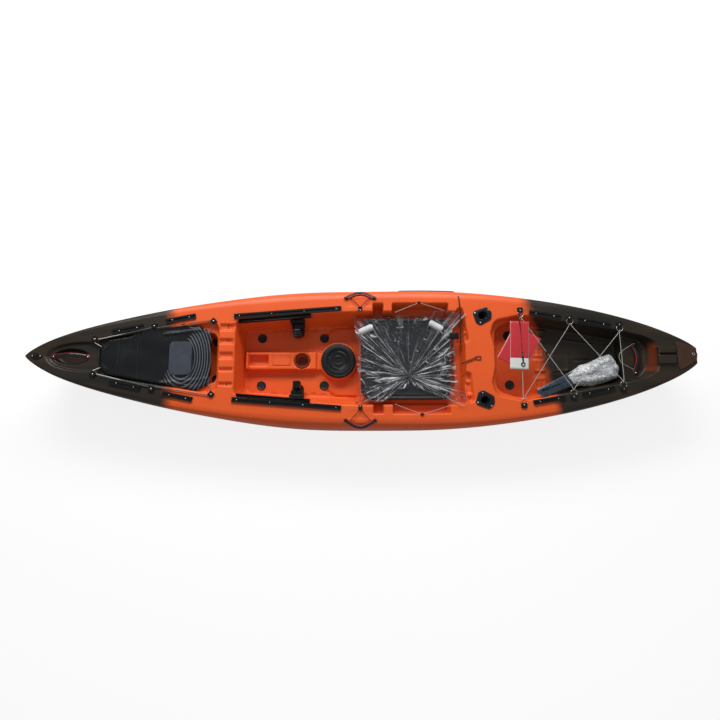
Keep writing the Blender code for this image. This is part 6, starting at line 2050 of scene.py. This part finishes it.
@dataclass
class HangCards:
    """Bare cards that hang from the fore starboard ring on a tie and lie over the tank cord."""

    wide: float = 0.113
    thick: float = 0.0008

    def card(self, name: str, foot: Place, turn: float, size: Place, level: float, finish: Finish) -> None:
        """Lay one card: its foot's near corner, its turn, its size and its height, with a slight curl.

        Args:
            name: Name of the piece.
            foot: Near corner of its foot.
            turn: Turn about the vertical.
            size: Width and length.
            level: Height.
            finish: Its finish.
        """
        across, along = np.meshgrid(np.linspace(0.0, 1.0, 13), np.linspace(0.0, 1.0, 25))
        curl = 0.0035 * np.sin(np.pi * along) + 0.0015 * np.sin(np.pi * across + 0.4)
        upper = np.stack([across * size[0], along * size[1], curl], -1)
        lower = upper[:, ::-1] - (0.0, 0.0, self.thick)
        both = np.concatenate([upper, lower], 1)
        shell = Shell.grid(capped(both), wrap_columns=True).flipped()
        flat = shell.points[shell.quads]
        uvs = np.stack([flat[..., 0] / size[0], flat[..., 1] / size[1]], -1).reshape(shell.uvs.shape)
        place = offset(*foot, level) @ rotation(math.radians(turn))
        card = solid(name, Shell(shell.points, shell.quads, uvs).moved(place), finish,
                     sharp=None)

    def build(self) -> None:
        """Lay the four cards and their tie."""
        self.card("hang_card_under", (0.8650, -0.0300), -12.0, (0.060, 0.110), 0.3085, Palette.TEAL_CARD)
        self.card("hang_card_left", (0.8171, -0.0038), -29.0, (self.wide, 0.210), 0.3105, Palette.PLAIN_CARD)
        self.card("hang_card_right", (0.9040, 0.0210), -29.0, (self.wide, 0.165), 0.3125, Palette.PLAIN_CARD)
        self.card("hang_card_top", (0.8895, -0.0727), -2.4, (self.wide, 0.293), 0.3150, Palette.CARD)
        strap = tube(np.array([(0.961, 0.262, 0.306), (0.960, 0.240, 0.316), (0.959, 0.212, 0.3195),
                               (0.963, 0.150, 0.3205), (0.965, 0.040, 0.3205)]),
                     np.array([0.0040, 0.0045, 0.0030, 0.0012, 0.0012]), 10)
        clip = tube(np.array([(0.966, 0.030, 0.3205), (0.967, -0.005, 0.3215), (0.969, -0.030, 0.3205)]),
                    np.array([0.0030, 0.0048, 0.0040]), 12)
        loop = ring(0.0105, 0.0030).moved(offset(0.969, -0.046, 0.3195))
        solid("hang_card_tie", Shell.union([strap, clip, loop]), Palette.GLOSS_NYLON, sharp=None)


@dataclass
class TailPlate:
    """Brown plate over the stern's tip, rounded at its corners, with a grommet."""

    outline: tuple[Place, ...] = (
        (1.8800, 0.0900), (1.9820, 0.0520), (1.9960, 0.0080), (1.9890, -0.0300), (1.8950, -0.0860), (1.8820, -0.0600))
    middle: float = 1.930

    def build(self) -> None:
        """Make the plate and the grommet's steel ring over a dark hole."""
        place = LINES.stand(self.middle, 0.0, 0.0, 0.0006)
        flat = [(x - self.middle, y) for x, y in self.outline][::-1]
        radii = (0.008, 0.012, 0.026, 0.022, 0.026, 0.010)[::-1]
        plate = slab(rounded(flat, np.array(radii), 8), [
            (0.0, 0.0), (0.0, 0.0022), (0.0008, 0.0031), (0.0025, 0.0035), (0.006, 0.0036)])
        solid("tail_plate", plate.moved(place), Palette.BROWN,
              stands_for=("stern_plate",))
        at = offset(1.9730 - self.middle, 0.0105, 0.0)
        rim = revolve([(0.0044, 0.0030), (0.0088, 0.0030), (0.0088, 0.0044), (0.0076, 0.0056), (0.0056, 0.0056),
                       (0.0044, 0.0044), (0.0044, 0.0030)], 36)
        solid("tail_grommet", rim.moved(place @ at), Palette.STEEL, sharp=None)
        hole = revolve([(0.0, 0.0030), (0.0046, 0.0030), (0.0046, 0.0041), (0.0, 0.0041)], 24)
        solid("tail_hole", hole.moved(place @ at), Palette.NYLON, sharp=None)


@dataclass
class TankEyes:
    """Screwed black eyes round the tank well, each with a steel ring."""

    names: tuple[str, ...] = ("fore", "mid", "aft")

    def build(self) -> None:
        """Make the blocks, the rings and their screws."""
        corners = rounded([(-0.0175, -0.012), (0.0175, -0.012), (0.0165, 0.019), (-0.0165, 0.019)], 0.003)
        block = slab(corners, [(0.0, 0.0), (0.0, 0.007), (0.0007, 0.0088), (0.0025, 0.0097), (0.0045, 0.0095)])
        blocks, rings, screws = [], [], []
        for x, y in Cords.eyes:
            for side in Side:
                place = LINES.stand(x, y * side.value)
                blocks.append(block.on(side).moved(place))
                lean = offset(0.0, -0.0225 * side.value, 0.0072)
                rings.append(ring(0.0185, 0.0016).moved(place @ lean))
                screws.append(screw(0.0042).moved(place @ offset(0.0, 0.001 * side.value, 0.0094)))
        nodes = tuple(f"tank_eye_{name}_{side.label}" for name in self.names for side in Side)
        solid("tank_eye_blocks", Shell.union(blocks), Palette.NYLON, stands_for=nodes)
        solid("tank_eye_rings", Shell.union(rings), Palette.STEEL, sharp=None)
        steel("tank_eye_screws", screws)


@dataclass
class TrackScrews:
    """Steel screws in the slots of every track."""

    tracks: tuple[tuple[float, float, float, float, int], ...] = (
        (-1.393, 0.1675, 0.092, 0.0386, 2), (-1.086, 0.235, 0.090, 0.0362, 2),
        (1.118, 0.258, 0.0945, -0.0322, 2), (1.410, 0.208, 0.0955, -0.0384, 2),
        (-0.4435, 0.2775, 0.3255, 0.0510, 4))

    def build(self) -> None:
        """Set the screws, evenly along each track."""
        screws = []
        for x, y, half, spread, count in self.tracks:
            reach = half - (0.030 if count > 2 else 0.040)
            for side in Side:
                yaw = math.asin(spread / (2.0 * half)) * side.value
                place = LINES.stand(x, y * side.value, yaw)
                for at in np.linspace(-reach, reach, count):
                    screws.append(screw(0.0042, 0.003).moved(place @ offset(float(at), 0.0, 0.0062)))
        steel("track_screws", screws)


@dataclass
class CarryHandle:
    """Moulded strap handle with a red edge and two bolts."""

    length: float
    width: float
    rise: float
    bow: float
    place: Matrix
    node: str
    trim_shift: float = 0.0
    grow: float = 0.0024

    def path(self, grow: float, lift: float, waist: float) -> tuple[Array, Array]:
        """Middle line, raised and bowed by a swell sin(pi s), and its half width with round ends.

        Args:
            grow: Growth on every side.
            lift: Height added.
            waist: Share of the width that the middle loses.

        Returns:
            The middle line, and the half width at each of its points.
        """
        share = np.linspace(0.0, 1.0, 61)
        x = (share - 0.5) * (self.length - 0.001 + 2.0 * grow)
        swell = np.sin(np.pi * np.clip((share - 0.12) / 0.76, 0.0, 1.0))
        half = self.width / 2.0 + grow
        end = np.clip((np.abs(x) - (self.length / 2.0 + grow - half)) / half, 0.0, 0.999)
        wide = half * np.sqrt(1.0 - end ** 2) * (1.0 - waist * swell ** 2)
        return np.stack([x, self.bow * swell, self.rise * swell + lift], -1), wide

    def build(self) -> None:
        """Make the strap, its red rim and its bolts."""
        path, wide = self.path(0.0, 0.0040, 0.06)
        strap = tube(path, wide, 20, flat=0.27)
        solid(self.node + "_strap", strap.moved(self.place), Palette.GLOSS_RUBBER,
              stands_for=(self.node,), sharp=None)
        path, wide = self.path(self.grow, 0.0026, 0.06)
        rim = tube(path + (0.0, self.trim_shift, 0.0), wide, 20, flat=0.17)
        solid(self.node + "_rim", rim.moved(self.place), Palette.TRIM, sharp=None)
        bolts = [screw(0.0052, 0.0025).moved(self.place @ offset(x, 0.0, 0.0066))
                 for x in (-self.length / 2.0 + 0.013, self.length / 2.0 - 0.013)]
        steel(self.node + "_bolts", bolts)


@dataclass
class SideHandle:
    """Toggle grip on two cords, one each side, hung from a screwed pad."""

    x: float = -0.004
    pad_y: float = 0.300
    span: float = 0.188
    reach: tuple[float, float] = (0.091, 0.107)
    bulge: tuple[float, float] = (0.038, 0.046)

    def arc(self, which: int, inset: float, drop: float, share: Array) -> Array:
        """Curve of the grip: bulge cos(pi s / 2) outboard and down over its span.

        Args:
            which: Index of its reach and bulge.
            inset: Distance inboard of it.
            drop: Height added.
            share: Place along the span, from -1 to 1.

        Returns:
            Points of the curve.
        """
        bulge = np.cos(share * np.pi / 2.0)
        out = self.reach[which] + self.bulge[which] * (bulge - 1.0) - inset
        return np.stack([share * self.span / 2.0, out, -0.005 - 0.013 * bulge + drop], -1)

    def build(self) -> None:
        """Make both grips, their red trim, cords and pad screws."""
        pad_top = float(LINES.gunwale(self.x)) + CLEARANCE + 0.006
        screws = []
        for which, side in enumerate(Side):
            place = offset(self.x, self.pad_y + 0.010, pad_top + 0.0033)
            share = np.linspace(-1.0, 1.0, 61)
            ribs = 0.0094 + 0.0007 * np.cos(share * 48.0) + 0.0016 * ease((np.abs(share) - 0.86) / 0.08)
            grip = tube(self.arc(which, 0.0, 0.0, share), ribs, 16)
            body = f"handle_{side.label}"
            solid(f"side_grip_{side.label}", grip.moved(place).on(side), Palette.GLOSS_RUBBER, body,
                  (f"side_handle_grip_{side.label}",), sharp=None)
            trim = tube(self.arc(which, 0.0095, 0.0062, share * 0.80), 0.0052, 12)
            solid(f"side_grip_trim_{side.label}", trim.moved(place).on(side), Palette.TRIM, body,
                  sharp=None)
            cords = []
            end_y = float(self.arc(which, 0.0, 0.0, np.array(0.78))[1])
            for end in (-1.0, 1.0):
                corners = np.array([
                    (end * 0.001, 0.0, 0.0), (end * 0.040, 0.6 * end_y, 0.002), (end * 0.071, end_y, -0.010)])
                cords.append(tube(densify(fillet_route(corners, 0.02, closed=False), 0.008), 0.0022, 8))
            cords.append(ring(0.0042, 0.0022, 20).moved(rotation(math.pi / 2.0, "X")))
            solid(f"side_grip_cords_{side.label}", Shell.union(cords).moved(place).on(side),
                  Palette.BLACK_CORD, body, sharp=None)
            screws.append(screw(0.0038).moved(
                offset(self.x, (self.pad_y - 0.007) * side.value, pad_top)))
        steel("side_pad_screws", screws)


@dataclass
class RodHolder:
    """Flush rod holder: a three-cornered flange with three screws, and a closed tube that leans aft and outboard."""

    x: float = 0.740
    y: float = 0.258
    bore: float = 0.0215
    depth: float = 0.196
    lean: tuple[float, float, float] = (0.35, 0.20, 0.915)
    flange: tuple[Place, ...] = (
        (-0.061, 0.024), (0.026, 0.055), (0.056, 0.020), (0.054, -0.024), (-0.011, -0.061), (-0.039, -0.050))

    def shell(self) -> Shell:
        """Surface from the tube's outer bottom, up and over the flange, and down the bore to its floor.

        Returns:
            The holder's shell.
        """
        outline = rounded(self.flange[::-1], 0.022, 8)
        angle = np.arctan2(outline[:, 1], outline[:, 0])
        circle = np.column_stack([np.cos(angle), np.sin(angle)])
        ahead = unit(np.roll(outline, -1, 0) - np.roll(outline, 1, 0))
        inward = np.stack([-ahead[:, 1], ahead[:, 0]], -1)
        slope = np.array([self.lean[0], self.lean[1]]) / self.lean[2]
        outer = self.bore + 0.003
        rows = []
        for radius, height in ((0.0, -self.depth - 0.003), (outer, -self.depth - 0.003), (outer, -0.002)):
            rows.append((circle * radius + slope * height, height))
        for inset, height in ((0.0, 0.0004), (0.0, 0.0040), (0.0012, 0.0056), (0.0030, 0.0062)):
            rows.append((outline + inward * inset, height))
        for radius, height in (
                (self.bore + 0.0125, 0.0062), (self.bore + 0.0110, 0.0080), (self.bore + 0.0085, 0.0080),
                (self.bore + 0.0062, 0.0050), (self.bore, -0.012), (self.bore, -0.06), (self.bore, -self.depth),
                (0.0, -self.depth)):
            rows.append((circle * radius + slope * min(height, 0.0), height))
        points = np.stack([np.column_stack([flat, np.full(len(flat), height)]) for flat, height in rows])
        return Shell.grid(points, wrap_columns=True).flipped()

    def build(self) -> None:
        """Make both holders and their screws."""
        deck = float(LINES.gunwale(self.x))
        screws = []
        for side in Side:
            place = offset(self.x, self.y, deck)
            solid(f"rod_cup_{side.label}", self.shell().moved(place).on(side), Palette.FLANGE,
                  stands_for=(f"rod_holder_{side.label}",))
            for x, y in ((-0.044, 0.014), (0.036, 0.034), (-0.014, -0.045)):
                screws.append(screw(0.0052, 0.0026).moved(
                    offset(self.x + x, (self.y + y) * side.value, deck + 0.0060)))
        steel("rod_cup_screws", screws)


@dataclass
class Hatch:
    """Round screw-down hatch: mound of the hull, ring, and a lid with four crescent grips in its sunk middle."""

    x: float = HATCH_X
    top: float = 0.150
    ring_height: float = 0.006

    def build(self) -> None:
        """Make the mound, the ring and the lid."""
        place = offset(self.x, 0.0, 0.0)
        mound = revolve([
            (0.084, 0.112), (0.127, 0.112), (0.1255, 0.1165), (0.1215, 0.128), (0.1195, 0.142), (0.1180, 0.1475),
            (0.1145, 0.1500), (0.0835, 0.1500), (0.0832, 0.1495), (0.0832, 0.120), (0.084, 0.112)], 96)
        solid("hatch_mound", mound.moved(place), Palette.SHELL, sharp=None)
        rim = revolve([
            (0.0764, 0.1205), (0.0822, 0.1205), (0.0824, 0.1503), (0.1030, 0.1503), (0.1030, 0.1535),
            (0.1018, 0.1556), (0.0990, 0.1563), (0.0764, 0.1563), (0.0764, 0.1205)], 96)
        solid("hatch_collar", rim.moved(place), Palette.LID, stands_for=("hatch_ring",))
        base = self.top + CLEARANCE + self.ring_height + CLEARANCE
        profile = [
            (0.0, 0.0006), (0.086, 0.0006), (0.0862, 0.0055), (0.0938, 0.0055), (0.094, 0.0006), (0.1, 0.0006),
            (0.1, 0.0115), (0.0992, 0.0150), (0.0970, 0.0188), (0.0940, 0.0213), (0.0900, 0.0221),
            (0.0885, 0.0212), (0.0868, 0.0212), (0.0850, 0.0221), (0.0735, 0.0221), (0.0705, 0.0212),
            (0.0688, 0.0180), (0.0675, 0.0162), (0.0640, 0.0156), (0.0520, 0.0156), (0.0500, 0.0144),
            (0.0480, 0.0140), (0.0, 0.0140)]
        lid = revolve(profile, 144)
        wide = np.hypot(lid.points[:, 0], lid.points[:, 1])
        turn = np.arctan2(lid.points[:, 1], lid.points[:, 0])
        flute = 1.0 - 0.006 * (0.5 + 0.5 * np.cos(36.0 * turn)) * (wide > 0.0965)
        flute = flute * (1.0 + 0.085 * ease((wide - 0.060) / 0.035))
        lid = Shell(lid.points * np.stack([flute, flute, np.ones_like(flute)], -1), lid.quads, lid.uvs)
        share = np.linspace(-1.0, 1.0, 41)
        full = np.sqrt(1.0 - np.clip(np.abs(share), 0.0, 0.999) ** 2)
        grips = []
        for reach, half, spread, turned in ((0.053, 0.0090, 1.15, 0.0), (0.053, 0.0090, 1.15, np.pi),
                                            (0.026, 0.0075, 1.00, 1.1), (0.026, 0.0075, 1.00, 1.1 + np.pi)):
            angle = turned + spread * share
            arc = np.stack([reach * np.cos(angle), reach * np.sin(angle), np.full_like(share, 0.0150)], -1)
            grips.append(tube(arc, np.maximum(half * full, 0.0006), 16, flat=0.5))
        lift = offset(self.x, 0.0, base) @ rotation(0.62)
        solid("hatch_cap", lid.moved(lift), Palette.LID, "lid", stands_for=("hatch_lid",), sharp=35.0)
        solid("hatch_cap_grips", Shell.union(grips).moved(lift), Palette.NYLON, "lid", sharp=None)


@dataclass
class CockpitFittings:
    """Scupper plugs, cup recess, console plate screws and the bow's pad eye."""

    def plug(self) -> Shell:
        """Rubber plug with a rolled flange and a pull tab across its sunk middle.

        Returns:
            The plug's shell.
        """
        body = revolve([
            (0.0, -0.045), (0.0125, -0.045), (0.0150, -0.040), (0.0153, -0.004), (0.0270, -0.002),
            (0.0290, 0.001), (0.0290, 0.0035), (0.0276, 0.0056), (0.0252, 0.0064), (0.0226, 0.0058),
            (0.0205, 0.0036), (0.0185, 0.0028), (0.0, 0.0028)], 40)
        share = np.linspace(-1.0, 1.0, 21)
        tab = np.stack([share * 0.0165, np.zeros(21), 0.0030 + 0.0030 * (1.0 - share ** 2)], -1)
        return Shell.union([body, tube(tab, 0.0034, 12, flat=0.7)])

    def build(self) -> None:
        """Make every plug, the cup's liner and lip, the plate's screws and the pad eye."""
        for place, (x, y, floor) in zip(("bow", "foot_fore", "foot_aft", "tank"), SCUPPERS):
            for side in Side:
                node = f"scupper_plug_{place}_{side.label}"
                spin = rotation(0.6 * side.value + x)
                shell = self.plug().moved(offset(x, y * side.value, floor - 0.0008) @ spin)
                solid(f"plug_{place}_{side.label}", shell, Palette.PLUG,
                      stands_for=() if place == "bow" else (node,), sharp=50.0)
        cup = revolve([
            (0.0420, 0.1080), (0.0470, 0.1600), (0.0480, 0.1646), (0.0462, 0.1653), (0.0425, 0.1653),
            (0.0408, 0.1640), (0.0402, 0.1560), (0.0390, 0.1140), (0.0375, 0.1105), (0.0330, 0.1090), (0.0, 0.1090),
            (0.0, 0.1070), (0.0420, 0.1080)], 72)
        solid("cup_recess", cup.moved(offset(CUP_X, 0.003, 0.0)), Palette.DEEP_SHELL,
              sharp=None)
        small = [screw(0.0030, 0.0014).moved(offset(x, y, CONSOLE_TOP + 0.0032))
                 for x in (-0.546, -0.447) for y in (-0.019, 0.019)]
        solid("plate_screws", Shell.union(small), Palette.DEEP_SHELL)
        self.pad_eye()

    def pad_eye(self) -> None:
        """Make the bow's pad eye: an oval plate, its arch and two screws."""
        turn = np.linspace(0.0, 2.0 * np.pi, 48, endpoint=False)
        oval = np.column_stack([0.0335 * np.cos(turn), 0.0205 * np.sin(turn) * np.abs(np.sin(turn)) ** 0.45])
        plate = slab(oval, [(0.0, 0.0), (0.0, 0.0028), (0.0008, 0.0042), (0.0025, 0.0048), (0.006, 0.0050)])
        arch = np.linspace(0.0, np.pi, 17)
        bridge = tube(np.stack([np.zeros(17), -0.010 * np.cos(arch), 0.002 + 0.010 * np.sin(arch)], -1),
                      0.0027, 12, up=(1.0, 0.0, 0.0))
        place = LINES.stand(-1.9060, 0.0)
        solid("bow_eye_plate", Shell.union([plate, bridge]).moved(place), Palette.GLOSS_NYLON,
              stands_for=("bow_pad_eye",))
        screws = [screw(0.0042).moved(place @ offset(x, 0.0, 0.0046)) for x in (-0.0225, 0.0225)]
        steel("small_screws", screws)


@dataclass
class Studio:
    """Pale floor, soft light and the camera of the photograph."""

    tilt: float = math.radians(8.5)
    aim: tuple[float, float, float] = (0.0, -0.006, 0.30)
    reach: float = 3.30
    lens: float = 27.44
    roll: float = -0.002
    shift: Place = (-0.0013, -0.0021)

    def floor(self) -> None:
        """White floor that keeps a faint shadow: it glows a little for the camera and in reflections."""
        mesh = bpy.data.meshes.new("floor")
        mesh.from_pydata([(-9, -9, 0), (9, -9, 0), (9, 9, 0), (-9, 9, 0)], [], [(0, 1, 2, 3)])
        floor = bpy.data.objects.new("floor", mesh)
        bpy.context.scene.collection.objects.link(floor)
        material = bpy.data.materials.new("Painted studio floor")
        material.use_nodes = True
        tree = material.node_tree
        shader = tree.nodes["Principled BSDF"]
        cloud = add(tree, "TexNoise", {"Scale": 3.0}).outputs["Fac"]
        feed(tree, shader, remap(tree, cloud, 0.0, 1.0, 0.24, 0.28))
        shader.inputs["Roughness"].default_value = 0.9
        camera, glossy, through = (add(tree, "LightPath").outputs[f"Is {kind} Ray"]
                                   for kind in ("Camera", "Glossy", "Transmission"))
        seen = maths(tree, "MAXIMUM", maths(tree, "MAXIMUM", camera, glossy), through)
        glow = maths(tree, "MULTIPLY", seen, remap(tree, glossy, 0.0, 1.0, 0.80, 0.25))
        shader.inputs["Emission Color"].default_value = (1.0, 1.0, 1.0, 1.0)
        feed(tree, shader, glow, "Emission Strength")
        mesh.materials.append(material)

    def lamp(self, name: str, place: tuple, aim: tuple, size: Place, power: float) -> None:
        """Soft rectangular lamp.

        Args:
            name: Name of the lamp.
            place: Where it is.
            aim: The point that it faces.
            size: Length of its two sides.
            power: Its power in watts.
        """
        data = bpy.data.lights.new(name, "AREA")
        data.shape = "RECTANGLE"
        data.size, data.size_y = size
        data.energy = power
        lamp = bpy.data.objects.new(name, data)
        lamp.location = place
        lamp.rotation_euler = (Vector(aim) - Vector(place)).to_track_quat("-Z", "Y").to_euler()
        bpy.context.scene.collection.objects.link(lamp)

    def build(self) -> None:
        """Set the world, the lamps and the camera."""
        scene = bpy.context.scene
        scene.view_settings.view_transform = "Standard"
        world = bpy.data.worlds.new("Studio")
        scene.world = world
        world.use_nodes = True
        back = world.node_tree.nodes["Background"]
        back.inputs["Color"].default_value = (1.0, 1.0, 1.0, 1.0)
        ray = add(world.node_tree, "LightPath").outputs["Is Camera Ray"]
        feed(world.node_tree, back, remap(world.node_tree, ray, 0.0, 1.0, 0.30, 1.0), "Strength")
        self.floor()
        self.lamp("key", (-0.4, 3.0, 2.6), (0.0, 0.0, 0.2), (4.5, 1.2), 185.0)
        self.lamp("fill", (0.8, -2.8, 3.0), (0.0, 0.0, 0.2), (4.0, 1.6), 10.0)
        data = bpy.data.cameras.new("camera")
        data.lens = self.lens
        data.sensor_width = 36.0
        data.shift_x, data.shift_y = self.shift
        camera = bpy.data.objects.new("camera", data)
        scene.collection.objects.link(camera)
        back_way = Vector((0.0, -math.sin(self.tilt), math.cos(self.tilt)))
        turn = Matrix((
            (1.0, 0.0, back_way.x), (0.0, math.cos(self.tilt), back_way.y), (0.0, math.sin(self.tilt), back_way.z)))
        spin = Matrix.Rotation(self.roll, 3, "Z")
        camera.matrix_world = Matrix.Translation(
            Vector(self.aim) + back_way * self.reach) @ (turn @ spin).to_4x4()
        scene.camera = camera


def dress_frame() -> None:
    """Give every node of the frame that still shows its finish."""
    finishes = {
        "orange_polyethylene": Palette.SHELL, "black_nylon": Palette.NYLON, "black_rubber": Palette.RUBBER,
        "grey_shock_cord": Palette.SHOCK_CORD, "black_aluminium": Palette.ALUMINIUM,
        "grey_mesh_fabric": Palette.MESH, "brown_polyethylene": Palette.BROWN, "steel": Palette.STEEL,
        "blade_coating": Palette.BLADE}
    slots = {part["node"]: part["material_slot"] for part in frame["record"]["subparts"]}
    for name, node in frame["nodes"].items():
        finish = Palette.LID if name.startswith("hatch_l") or name == "hatch_ring" else finishes[slots[name]]
        if name.startswith("scupper"):
            finish = Palette.PLUG
        if name.startswith("rod_holder"):
            finish = Palette.FLANGE
        for slot in node.material_slots:
            slot.material = finish.material()
        if not node.material_slots:
            node.data.materials.append(finish.material())


def carry_handles() -> None:
    """Make the bow's handle, which follows the slope of its recess, and the stern's, across the shelf."""
    fore, aft = LINES.gunwale(np.array(BOW_RECESS))
    slope = float(aft - fore) / (BOW_RECESS[1] - BOW_RECESS[0])
    height = float(LINES.plane(-1.708, RECESS_DEPTH, BOW_RECESS))
    bow = offset(-1.7215, 0.0, height) @ rotation(-math.atan(slope), "Y")
    CarryHandle(0.222, 0.026, 0.016, 0.008, bow, "bow_carry_handle").build()
    stern = offset(1.672, 0.0, SHELF + CLEARANCE) @ rotation(math.pi / 2.0)
    CarryHandle(0.206, 0.024, 0.014, -0.016, stern, "stern_carry_handle", 0.0016, 0.0016).build()


def main() -> None:
    """Build the stage and every sub-assembly in order."""
    logging.basicConfig(level=logging.INFO, format="%(message)s")
    Studio().build()
    dress_frame()
    for part in (Hull, FrontCover, Cords, CoverHooks, Seat, StowedRudder, FootBrace, TankEyes, HangCards,
                 TailPlate, TrackScrews):
        part().build()
    carry_handles()
    for part in (SideHandle, RodHolder, Hatch, CockpitFittings):
        part().build()


if __name__ == "__main__":
    main()
